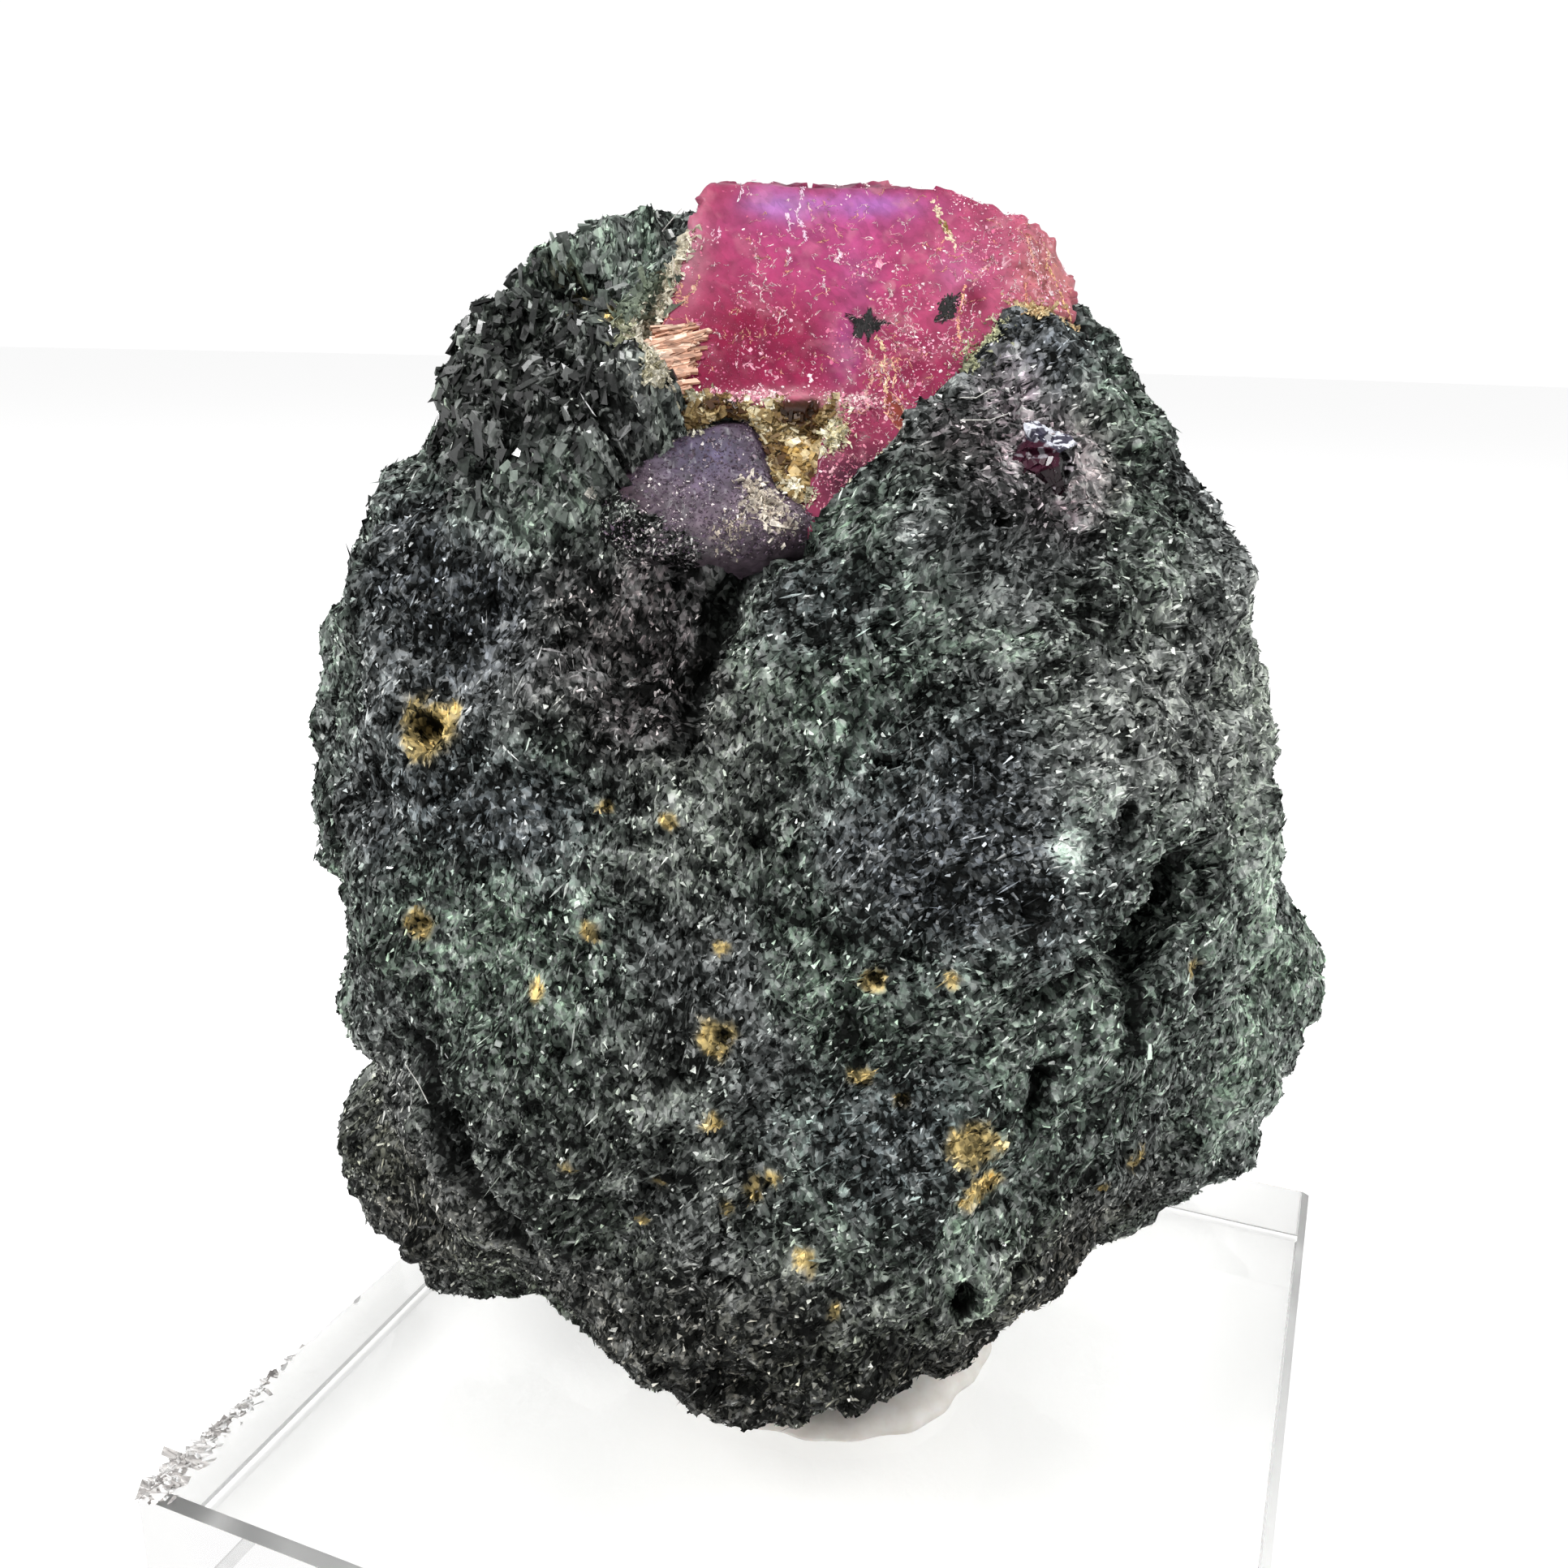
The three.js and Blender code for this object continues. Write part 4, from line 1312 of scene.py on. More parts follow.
    def opening(self, points: Array) -> Array:
        """The opening before the crystals, below zero inside: its outline grown outwards, and its floor.

        Args:
            points: Places in the specimen's frame, in mm, one row each.

        Returns:
            A distance for each place, in mm.
        """
        u, v, w = FACE.measure(points).T
        beside = outline_distance(u, v, self.recess) - self.recess_flare * w
        return np.maximum(beside, self.recess_floor - w)

    def whole(self, points: Array) -> Array:
        """The cobble less the opening."""
        return np.maximum(self.cobble(points), -self.opening(points))


# ---- Colours of the rock


class Hue(Enum):
    """Hue of each kind of patch in the rock, as an sRGB colour of middling lightness."""

    PLAIN = "#50514e"
    GREEN = "#4b544c"
    BLUE = "#4b4d52"
    PURPLE = "#544b4e"
    BROWN = "#534f49"
    MAUVE = "#786a70"
    RUST = "#8a7952"

    def cast(self) -> Array:
        """The hue alone: its linear colour over its own brightness."""
        colour = linear(self.value)
        return colour / (colour @ np.array([0.2126, 0.7152, 0.0722]))


@dataclass(frozen=True)
class Patch:
    """A soft-edged patch of the rock's front: middle, half sizes, how much lighter it is, and its hue."""

    x: float
    z: float
    half_width: float
    half_height: float
    tone: float
    hue: Hue

    def weight(self, points: Array) -> Array:
        """A bell curve over x and z on the front, and the same, turned round, on the back.

        Args:
            points: Places in the specimen's frame, in mm, one row each.

        Returns:
            A weight for each place, from 0 to 1.
        """
        x = np.where(points[:, 1] < 3, points[:, 0], -points[:, 0])
        share = bell(x, points[:, 2], (self.x, self.z), (self.half_width, self.half_height))
        return share * smoothstep(np.abs(points[:, 1] - 3) / 6)


# Patches of each hue: middle x and z, half width, half height, and how much lighter they are
PATCHES = tuple(
    Patch(*row, hue)
    for hue, rows in {
        Hue.BLUE: (
            (-15.4, 38.6, 2.6, 2.4, -0.15), (-13.6, 37.6, 1.6, 1.6, -0.08), (-15.2, 31.0, 2.4, 2.2, -0.12),
            (-12.0, 30.6, 1.8, 1.8, -0.08), (-0.9, 38.6, 2.0, 1.2, -0.13), (4.0, 31.6, 3.4, 2.6, -0.08),
            (6.2, 28.6, 2.4, 2.4, -0.15), (2.8, 28.6, 1.8, 1.8, -0.10), (2.1, 19.6, 3.0, 2.2, -0.12),
            (6.4, 47.6, 2.2, 1.6, -0.12),
        ),
        Hue.PURPLE: (
            (-8.0, 37.5, 3.0, 3.2, -0.09), (-6.6, 35.6, 1.6, 2.0, -0.14), (4.4, 44.0, 1.4, 1.2, -0.10),
        ),
        Hue.GREEN: (
            (-0.8, 40.6, 1.8, 1.0, -0.10), (-12.6, 42.0, 3.0, 1.5, 0.14), (-10.8, 41.2, 1.6, 1.4, 0.09),
            (-13.0, 26.2, 3.0, 2.6, 0.12), (0.8, 38.6, 2.4, 1.4, 0.06), (9.4, 22.6, 4.6, 4.2, 0.09),
            (-4.4, 37.4, 0.9, 2.0, 0.13), (3.8, 25.8, 2.8, 1.3, 0.06), (11.4, 29.8, 1.6, 2.0, 0.05),
            (-10.5, 32.6, 1.0, 0.8, 0.06), (4.7, 15.4, 0.9, 2.2, 0.30), (5.8, 12.6, 0.6, 1.6, 0.30),
            (8.1, 29.8, 0.6, 1.2, 0.40), (8.4, 32.0, 0.45, 1.2, 0.32), (5.2, 37.5, 1.7, 0.35, 0.20),
            (-20.8, 36.2, 1.4, 3.0, 0.18), (18.6, 17.0, 3.0, 5.0, 0.09), (18.0, 25.5, 2.6, 4.6, 0.3),
            (-10.0, 50.2, 3.2, 1.6, 0.22),
        ),
        Hue.PLAIN: (
            (-4.7, 17.4, 1.6, 1.4, -0.08), (-10.0, 18.4, 3.4, 2.8, -0.06), (10.7, 34.6, 4.4, 4.0, 0.11),
            (-6.4, 30.0, 1.8, 2.0, 0.08), (-3.6, 32.4, 1.2, 2.0, 0.06), (11.0, 37.9, 1.1, 0.4, 0.34),
            (16.6, 34.0, 2.6, 4.6, 0.2), (-7.1, 22.2, 1.8, 1.8, 0.06), (-13.6, 45.6, 3.0, 3.2, -0.10),
            (-9.4, 45.6, 1.8, 1.6, -0.08),
        ),
        Hue.BROWN: (
            (-18.7, 10.1, 4.6, 5.2, -0.02), (-4.2, 8.6, 6.0, 4.0, -0.19), (4.2, 6.6, 5.0, 2.6, -0.10),
            (9.8, 10.0, 4.0, 3.6, -0.09),
        ),
        Hue.MAUVE: ((6.4, 43.7, 1.8, 1.7, 0.13), (8.2, 42.6, 1.2, 1.2, 0.16), (5.6, 46.0, 1.1, 1.0, 0.10)),
    }.items()
    for row in rows
)

# Rust-stained spots where iron ore has weathered out: x, z, radius
STAINS = (
    (-15.6, 33.5, 1.0), (-15.9, 26.2, 0.55), (-9.3, 27.0, 0.35), (-11.3, 24.6, 0.3), (-4.6, 26.8, 0.3),
    (-4.7, 23.5, 0.75), (0.9, 25.8, 0.5), (3.5, 26.1, 0.3), (0.5, 22.1, 0.45), (2.1, 21.0, 0.3),
    (-4.8, 20.0, 0.4), (-10.0, 18.4, 0.25), (-6.8, 17.3, 0.25), (-7.4, 15.5, 0.25), (-3.3, 17.1, 0.4),
    (-2.6, 17.5, 0.25), (-4.2, 16.5, 0.25), (4.8, 19.5, 0.95), (5.1, 17.6, 0.8), (-1.3, 14.5, 0.45),
    (-0.1, 12.4, 0.3), (12.2, 15.8, 0.4), (10.5, 15.6, 0.25), (13.1, 25.0, 0.3), (-8.8, 31.3, 0.3),
    (-6.5, 31.0, 0.3), (-14.6, 34.2, 0.3), (-11.0, 48.4, 0.4), (-9.4, 48.0, 0.3),
)

# Pits: x, z, radius, depth
PITS = (
    (-15.6, 33.4, 0.6, 1.2), (-15.9, 26.2, 0.3, 0.5), (-4.4, 23.6, 0.35, 0.25), (4.8, 12.6, 0.5, 0.9),
    (0.9, 25.8, 0.25, 0.3), (2.1, 21.0, 0.35, 0.6), (-13.3, 46.6, 0.6, 0.8), (-5.9, 42.0, 0.3, 0.4),
    (-15.5, 18.7, 0.85, 1.7), (-15.0, 17.6, 0.75, 1.6), (-13.6, 14.7, 0.75, 1.6), (-13.0, 13.5, 0.7, 1.5),
)

# Direction of the grain on the front: x, z, degrees from level
GRAIN_ANCHORS = (
    (-13, 46, 78), (-18, 40, 72), (-12, 42, 55), (-16, 33, 95), (-12, 28, 80), (-7, 28, 82), (0.5, 39, 14),
    (7, 38, 8), (-1, 32, 66), (4, 29, 22), (11.6, 32, 6), (16, 22, 60), (19, 19, 62), (14, 12, 50),
    (8, 14, 60), (3, 22, 35), (-2.5, 14.6, 30), (-10, 15, 65), (-18, 10, 70), (-9, 46, 98),
)


def pits(points: Array) -> Iterator[tuple[Array, float]]:
    """For each pit, how far points are from its middle in its own radii, and its depth in mm."""
    for x, z, radius, depth in PITS:
        yield np.hypot(points[:, 0] - x, points[:, 2] - z) / radius, depth


def grain_direction(points: Array, normals: Array) -> Array:
    """Direction of the foliation along the surface.

    The doubled angles of the anchors are averaged, each weighted by one over its distance cubed, and
    the direction in x and z is then laid flat on the surface.

    Args:
        points: Places in the specimen's frame, in mm, one row each.
        normals: Outward direction at each place.

    Returns:
        A direction of length 1 for each place.
    """
    total = np.zeros((len(points), 2))
    for x, z, angle in GRAIN_ANCHORS:
        weight = 1 / ((points[:, 0] - x) ** 2 + (points[:, 2] - z) ** 2 + 4) ** 1.5
        doubled = math.radians(2 * angle)
        total += weight[:, None] * np.array([math.cos(doubled), math.sin(doubled)])
    angle = np.arctan2(total[:, 1], total[:, 0]) / 2
    direction = columns(np.cos(angle), 0, np.sin(angle))
    return unit(direction - (direction * normals).sum(axis=1, keepdims=True) * normals + 1e-6)


@dataclass(frozen=True)
class RockColours:
    """Where the rock is lighter, darker, greener or rusty, and where light and shade are painted on it."""

    base: float = 0.275  # tone of a middling place
    flank: float = 0.12  # painted light on the right flank, as if lit from that side
    seed: int = 40

    def rust(self, points: Array) -> Array:
        """How rusty each point is, from 0 to 1, with ragged edges; the back has the spots turned round.

        Args:
            points: Places in the specimen's frame, in mm, one row each.

        Returns:
            A share for each place.
        """
        rust = np.zeros(len(points))
        across = np.where(points[:, 1] < 0, points[:, 0], 1.5 - 0.9 * points[:, 0])
        ragged = 0.5 * layered_noise(points, 0.45, self.seed + 30, 2)
        for x, z, radius in STAINS:
            away = np.hypot(across - x, points[:, 2] - z) / radius
            rust = np.maximum(rust, smoothstep((1.3 + ragged - away) / 0.5))
        return rust

    def hollow_shade(self, points: Array) -> Array:
        """How deep in a pit or a crevice each point is, from 0 to 1: the share of painted shade there.

        Args:
            points: Places in the specimen's frame, in mm, one row each.

        Returns:
            A share for each place.
        """
        hollow_shade = np.zeros(len(points))
        for away, _ in pits(points):
            hollow_shade = np.maximum(hollow_shade, smoothstep((1.1 - away) / 0.4) * (points[:, 1] < 0))
        return np.maximum(hollow_shade, smoothstep((crevices(points)[0] - 0.25) / 0.4))

    def dress(self, points: Array, spread: Array | float = 0.0) -> dict[str, Array]:
        """Tone and cast at each point.

        Tone = base + painted light on the right flank + wide and middling noise + patches + the grain's
        own spread, less painted shade in pits and crevices. The cast is the mean of the hues of the
        patches and of green and blue fields, each by its weight.

        Args:
            points: Places, in mm.
            spread: How much lighter each grain is than its place.

        Returns:
            The attributes `tone` and `cast`.
        """
        tone = self.base + 0.09 * layered_noise(points, 6.0, self.seed)
        # painted light: the right flank drawn lighter, as if lit more from that side
        tone += self.flank * smoothstep((points[:, 0] - 14) / 4)
        tone += 0.25 * layered_noise(points, 1.6, self.seed + 5, 2)
        tone += 0.16 * smooth_noise(points, 0.5, self.seed + 7)
        green = smoothstep(0.5 + 1.5 * layered_noise(points, 5.0, self.seed + 9))[:, None]
        cast = Hue.GREEN.cast() * green + (Hue.PLAIN.cast() * 0.6 + Hue.BLUE.cast() * 0.4) * (1 - green)
        total = np.ones((len(points), 1))
        ragged = jostled(points, 1.3, 1.8, self.seed + 12)
        for patch in PATCHES:
            weight = patch.weight(ragged)[:, None]
            tone += patch.tone * weight[:, 0]
            cast = cast + 3 * weight * patch.hue.cast()
            total = total + 3 * weight
        cast = cast / total
        rust = self.rust(points)
        tone = tone + rust * (0.24 + 0.15 * smooth_noise(points, 0.35, self.seed + 60)) + spread
        own = hashed(np.round(points * 20).astype(np.int64), self.seed + 70)[:, None]
        cast = cast ** (0.1 + 1.3 * own)
        cast = cast * (1 - rust[:, None]) + Hue.RUST.cast() * rust[:, None]
        # painted shade: pits and crevices darkened, by up to 85 per cent
        tone = np.clip(tone, 0.02, 1.1) * (1 - 0.85 * self.hollow_shade(points))
        return {"tone": tone, "cast": cast}


# ---- Sub-assemblies


@dataclass
class MatrixRock:
    """The cobble: its body, the grains of its broken surface, and the blades along its crest."""

    form: RockForm = field(default_factory=RockForm)
    colours: RockColours = field(default_factory=RockColours)
    side: int = 126  # squares along the ball's edge: 190,512 triangles in all
    fibres: int = 23500  # in each of the fibre pieces
    fibre_pieces: int = 3
    crumbs: int = 47000
    flakes: int = 4000
    blades: int = 1300
    plates: int = 150
    clear_of_glass: float = 1.1  # mm round the small crystal's middle that are free of grains
    seed: int = 11

    def body_shell(self) -> Shell:
        """The cobble with its opening, its pits and the relief of its broken grains.

        A ball is pressed on to the form. Points inside the opening are drawn in along their radii to
        its walls and floor. Noise and facets are then added along the normals.

        Returns:
            The closed surface of the body.
        """
        middle = np.array(self.form.centre)
        shell = pressed_ball(self.form.cobble, self.form.centre, self.side, (34, 9), 0.6, (0, -0.25, 0))
        offset = shell.vertices - middle
        radii = np.linalg.norm(offset, axis=1)
        directions = offset / radii[:, None]
        inside = np.flatnonzero(self.form.opening(shell.vertices) < 0)
        beyond = radii[inside]
        for _ in range(80):
            still = self.form.opening(middle + directions[inside] * beyond[:, None]) < 0
            beyond = np.where(still, beyond - 0.15, beyond)
        radii[inside] = beyond
        shell = Shell(middle + directions * radii[:, None], shell.faces)
        return shell.raised(self.relief(shell.vertices))

    def crest_share(self, points: Array) -> Array:
        """How near each point is to the broken crest left of the ruby, from 0 to 1."""
        x, y, z = points.T
        return bell(x, z, (-12.6, 46.0), (4.4, 4.2), 4) * smoothstep((5 - y) / 4)

    def relief(self, points: Array) -> Array:
        """Height of the fine relief: low noise and broken facets of two sizes, less pits and crevices.

        Args:
            points: Places in the specimen's frame, in mm, one row each.

        Returns:
            A height for each place, in mm.
        """
        height = 0.30 * layered_noise(points, 4.0, 3) + 0.20 * layered_noise(points, 1.5, 6, 2)
        height += facet_relief(points, 1.4, 0.28, 0.22, 60) + facet_relief(points, 0.6, 0.3, 0.14, 90)
        height += 0.05 * (hashed(np.round(points * 50).astype(np.int64), 5) - 0.5)
        crest = self.crest_share(points)
        height += crest * facet_relief(points, 2.2, 0.5, 0.7, 120)
        height += crest * facet_relief(points, 1.0, 0.5, 0.4, 150)
        for away, depth in pits(points):
            height -= depth * np.clip(1.15 - away**2, 0, 1) * (points[:, 1] < 0)
        return height - crevices(points)[1]

    def places(self, shell: Shell, count: int, rng: Rng, weights: Array) -> Places:
        """Scatters places over the body, with the foliation's direction at each."""
        points, normals = scatter(shell, count, rng, weights)
        return Places(points, normals, grain_direction(points, normals))

    def density(self, shell: Shell) -> Array:
        """Weight of the grains at each vertex: none beside the crystals, few in a pit, in a crevice or at
        the back.

        Args:
            shell: The surface of the body.

        Returns:
            A weight for each vertex.
        """
        u, v, w = FACE.measure(shell.vertices).T
        covered = (outline_distance(u, v, self.form.recess) < 0.1) & (w > -2.5)
        behind = 1 - 0.4 * smoothstep(shell.vertices[:, 1] / 6)
        from_glass = np.linalg.norm(shell.vertices - np.array(SmallCorundum.centre), axis=1)
        bare = covered | (from_glass < self.clear_of_glass)
        return np.where(bare, 0, behind * (1 - 0.85 * self.colours.hollow_shade(shell.vertices)))

    def dress(self) -> None:
        """Builds the rock's pieces."""
        rng = np.random.default_rng(self.seed)
        shell = self.body_shell()
        finish = MineralFinish("amphibole_schist_broken").material()
        attributes = self.colours.dress(shell.vertices)
        body = make_piece("matrix_rock_body", shell, finish, "amphibole_rock", False, **attributes)
        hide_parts("matrix_rock")
        density = self.density(shell)
        self.strew(shell, density, rng)
        self.crest(shell, density, rng)

    def lay(
        self,
        name: str,
        shape: GrainShape,
        kind: GrainKind,
        places: Places,
        spread: Array,
        finish: bpy.types.Material,
        rng: Rng,
    ) -> None:
        """Makes one piece of grains, with the tone and cast of each grain all over it.

        Args:
            name: The piece's name.
            shape: Shape of the grains.
            kind: Their sizes and how they lie.
            places: Where they lie.
            spread: How much their tones differ.
            finish: The finish of the grains.
            rng: The source of random numbers.
        """
        mesh = grain_mesh(shape, places, kind, rng)
        corners_each = len(mesh.vertices) // len(places.points)
        attributes = self.colours.dress(places.points, spread)
        repeated = {key: np.repeat(values, corners_each, axis=0) for key, values in attributes.items()}
        make_piece(name, mesh, finish, "amphibole_rock", False, **repeated)

    def strew(self, shell: Shell, density: Array, rng: Rng) -> None:
        """Strews fibres, crumbs and mica flakes over the body.

        Args:
            shell: The surface of the body.
            density: Weight of the grains at each vertex.
            rng: The source of random numbers.
        """
        fibre = GrainKind(0.38, 0.12, 0.12, spread=0.45, tilt=0.3, wander=0.22, sunk=0.5)
        cleaved = MineralFinish("amphibole_fibres_cleaved", 0.26, 0.2, 0.55, roughness=0.45, bump=0.03)
        finish = cleaved.material()
        long_fibre = GrainKind(0.65, 0.1, 0.1, spread=0.4, tilt=0.22, wander=0.25, sunk=0.5)
        for number in range(1, self.fibre_pieces + 1):
            places = self.places(shell, self.fibres, rng, density)
            spread = rng.choice((-0.3, 0.0, 0.33), self.fibres, p=(0.4, 0.4, 0.2))
            spread += rng.normal(-0.01, 0.11, self.fibres)
            kind = long_fibre if number == self.fibre_pieces else fibre
            self.lay(f"amphibole_fibres_{number}", GrainShape.SLIVER, kind, places, spread, finish, rng)
        crumb = GrainKind(0.22, 0.1, 0.1, spread=0.4, tilt=0.7, wander=0.5, sunk=0.4)
        places = self.places(shell, self.crumbs, rng, density)
        bright = (rng.random(self.crumbs) < 0.19) * rng.uniform(0.35, 1.0, self.crumbs)
        spread = rng.normal(-0.06, 0.2, self.crumbs) + bright
        pale = MineralFinish("feldspar_crumbs_broken", 0.2, 0.1, 0.4, roughness=0.5, bump=0.03)
        self.lay("feldspar_crumbs", GrainShape.CRUMB, crumb, places, spread, pale.material(), rng)
        flake = GrainKind(0.24, 0.12, 0.04, tilt=0.8, wander=0.8, sunk=-0.8)
        places = self.places(shell, self.flakes, rng, density)
        spread = rng.normal(0.14, 0.15, self.flakes)
        mica = MineralFinish("chlorite_mica_flakes", 0.1, 0.1, 0.3, roughness=0.2, specular=0.7, bump=0.01)
        self.lay("mica_flakes", GrainShape.BLOCK, flake, places, spread, mica.material(), rng)

    def crest(self, shell: Shell, density: Array, rng: Rng) -> None:
        """Small lustrous amphibole blades standing along the crest, left of the ruby.

        Args:
            shell: The surface of the body.
            density: Weight of the grains at each vertex.
            rng: The source of random numbers.
        """
        places = self.places(shell, self.blades, rng, self.crest_share(shell.vertices) * density)
        blade = GrainKind(0.62, 0.28, 0.22, spread=0.45, tilt=0.7, wander=0.35, sunk=0.5, ragged=0.6)
        spread = rng.normal(-0.1, 0.17, self.blades)
        glossy = {"roughness": 0.22, "specular": 0.6, "bump": 0.01}
        finish = MineralFinish("amphibole_blades_cleaved", 0.06, 0.06, 0.4, **glossy).material()
        self.lay("amphibole_blades", GrainShape.BLOCK, blade, places, spread, finish, rng)
        places = self.places(shell, self.plates, rng, self.crest_share(shell.vertices) ** 2 * density)
        plate = GrainKind(0.95, 0.55, 0.2, spread=0.25, tilt=0.5, wander=0.4, sunk=0.6, ragged=0.6)
        spread = rng.normal(-0.02, 0.12, self.plates)
        self.lay("amphibole_plates", GrainShape.BLOCK, plate, places, spread, finish, rng)


@dataclass(frozen=True)
class FacetCut:
    """A flat facet: a point on it and the way that it faces, in u, v and w."""

    at: Triple
    faces: Triple

    def beyond(self, points: Array) -> Array:
        """How far points are beyond it."""
        direction = unit(np.array(self.faces, float))
        return points @ direction - np.dot(direction, self.at)


@dataclass(frozen=True)
class CrystalBlock:
    """One block of a crystal: an outline, a front level, a depth behind it, tapered sides and facets."""

    outline: Line
    front: float
    depth: float
    taper: float
    cuts: tuple[FacetCut, ...]

    def form(self, points: Array, rounding: float) -> Array:
        """Softened greatest distance beyond the faces.

        Args:
            points: Places in the face's frame, in mm, one row each.
            rounding: Width of the softened edges, in mm.

        Returns:
            A distance for each place, in mm, below zero inside.
        """
        u, v, w = points.T
        slope = math.tan(math.radians(self.taper))
        beyond = [outline_distance(u, v, self.outline) + slope * (self.front - w)]
        beyond += [w - self.front, self.front - self.depth - w]
        return greatest(beyond + [cut.beyond(points) for cut in self.cuts], rounding)


@dataclass(frozen=True)
class Shade:
    """A soft spot of colour on a crystal's front: middle, half sizes, colour and strength."""

    u: float
    v: float
    half_u: float
    half_v: float
    colour: str
    strength: float

    def lay(self, colours: Array, u: Array, v: Array) -> Array:
        """Mixes the colour in by strength · exp(-(distance over the half sizes)²)."""
        share = self.strength * bell(u, v, (self.u, self.v), (self.half_u, self.half_v))
        return mixed(colours, share, self.colour)


@dataclass(frozen=True)
class Thread:
    """A thin vein or healed crack in a crystal: path in u and v, half width, colour and how full it is."""

    path: Line
    width: float
    colour: str
    strength: float = 0.9

    def streaks(self, rng: Rng) -> Array:
        """Slivers lying along the path: rows of u, v, direction, length, width, red, green and blue.

        Args:
            rng: The source of random numbers.

        Returns:
            One row for each sliver.
        """
        path = np.array(self.path, float)
        steps = np.diff(path, axis=0)
        reach = path_reach(path)
        count = max(3, int(self.strength * reach[-1] / 0.035))
        at = rng.uniform(0, reach[-1], count)
        step = np.clip(np.searchsorted(reach, at) - 1, 0, len(steps) - 1)
        angle = np.arctan2(steps[step, 1], steps[step, 0]) + rng.normal(0, 0.45, count)
        u = np.interp(at, reach, path[:, 0]) + rng.normal(0, 0.5 * self.width, count)
        v = np.interp(at, reach, path[:, 1]) + rng.normal(0, 0.5 * self.width, count)
        length = 0.15 * np.exp(0.4 * rng.normal(size=count))
        width = np.maximum(0.02, 0.6 * self.width) * np.exp(0.4 * rng.normal(size=count))
        colour = linear(self.colour) * rng.uniform(0.75, 1.1, (count, 1))
        return np.column_stack([u, v, angle, length, width, np.clip(colour, 0, 1)])


def fleck_streaks(rng: Rng, u: Array, v: Array, size: float, colours: tuple[str, ...]) -> Array:
    """Small flecks of random direction: rows of u, v, direction, length, width, red, green and blue.

    Args:
        rng: The source of random numbers.
        u: Places along the face, in mm.
        v: Places up the face, in mm.
        size: Length of a fleck, in mm.
        colours: The sRGB hex colours they may have.

    Returns:
        One row for each fleck.
    """
    count = len(u)
    length = size * np.exp(0.5 * rng.normal(size=count))
    chosen = np.array([linear(colour) for colour in colours])[rng.integers(0, len(colours), count)]
    angle = rng.uniform(0, math.pi, count)
    return np.column_stack([u, v, angle, length, length * rng.uniform(0.3, 0.9, count), chosen])


def surface_levels(shell: Shell, u: Array, v: Array) -> Array:
    """Height of a shell's front at places, read from the highest vertex in each small square.

    Args:
        shell: The surface, in u, v and w.
        u: Places across.
        v: Places up.

    Returns:
        Its w there; -50 where there is nothing.
    """
    cell, span, nothing = 0.16, 200, -50.0
    levels = np.full((span, span), nothing)

    def squares(places: Array) -> tuple[Array, Array]:
        """Row and column of the square that each place is in."""
        return tuple(np.clip(((places + cell * span / 2) / cell).astype(int), 0, span - 1).T)

    np.maximum.at(levels, squares(shell.vertices[:, :2]), shell.vertices[:, 2])
    for _ in range(2):
        around = np.max([np.roll(levels, shift, axis) for shift in (1, -1) for axis in (0, 1)], axis=0)
        levels = np.where(levels == nothing, around, levels)
    return levels[squares(columns(u, v))]


def make_streaks(name: str, shell: Shell, rows: Array, form: Form, slot: str, rng: Rng) -> None:
    """Makes a piece of slivers lying in a crystal's front.

    Args:
        name: Name of the piece.
        shell: The crystal's surface, in u, v and w.
        rows: Rows of u, v, direction, length, width, red, green and blue.
        form: The crystal's form, whose slope the slivers follow.
        slot: Passed to make_piece, where it is not used.
        rng: Source of the random numbers.
    """
    lowest, thickness = -2.2, 0.035
    rows = rows[form(columns(rows[:, 0], rows[:, 1], -1.0)) < 0]
    level = surface_levels(shell, rows[:, 0], rows[:, 1])
    rows, level = rows[level > lowest], level[level > lowest]
    u, v, angle, length, width = rows[:, :5].T
    points = columns(u, v, level)
    slope = gradient(form, points)
    along = flattened(columns(np.cos(angle), np.sin(angle), 0), slope)
    axes = np.stack([along, unit(np.cross(slope, along)), slope], axis=1)
    slivers = grains(GrainShape.CRUMB, points, axes, columns(length, width, thickness), 0.3, rng)
    finish = GrainFinish(f"{name}_frosted", roughness=0.5, specular=0.3, mottle=0.1, streak=1).material()
    make_piece(name, slivers.on_face(), finish, slot, False, tint=np.repeat(rows[:, 5:8], 4, axis=0))


def gradient(form: Form, points: Array) -> Array:
    """Outward directions of a form: its differences over steps of 0.05 mm, made one long."""
    step = 0.05
    return unit(columns(*(form(points + offset) - form(points - offset) for offset in np.eye(3) * step)))


def flecks(points: Array, size: float, radius: float, density: float, seed: int) -> Array:
    """Small dots, one at most to each cell: 1 inside a dot, 0 outside.

    Args:
        points: Places, in mm.
        size: Width of the cells, in mm.
        radius: Greatest radius of a dot, in mm.
        density: Share of the cells that have a dot.
        seed: Which of the random scatters.

    Returns:
        How much of a dot covers each point.
    """
    cube, offset = scattered_cells(points, size, seed)
    own = radius * (0.4 + 0.6 * hashed(cube, seed + 31))
    away = np.linalg.norm(offset * np.array([1, 0.7, 1]), axis=1)
    return smoothstep((own - away) / (0.5 * own) + 0.5) * (hashed(cube, seed + 32) < density)


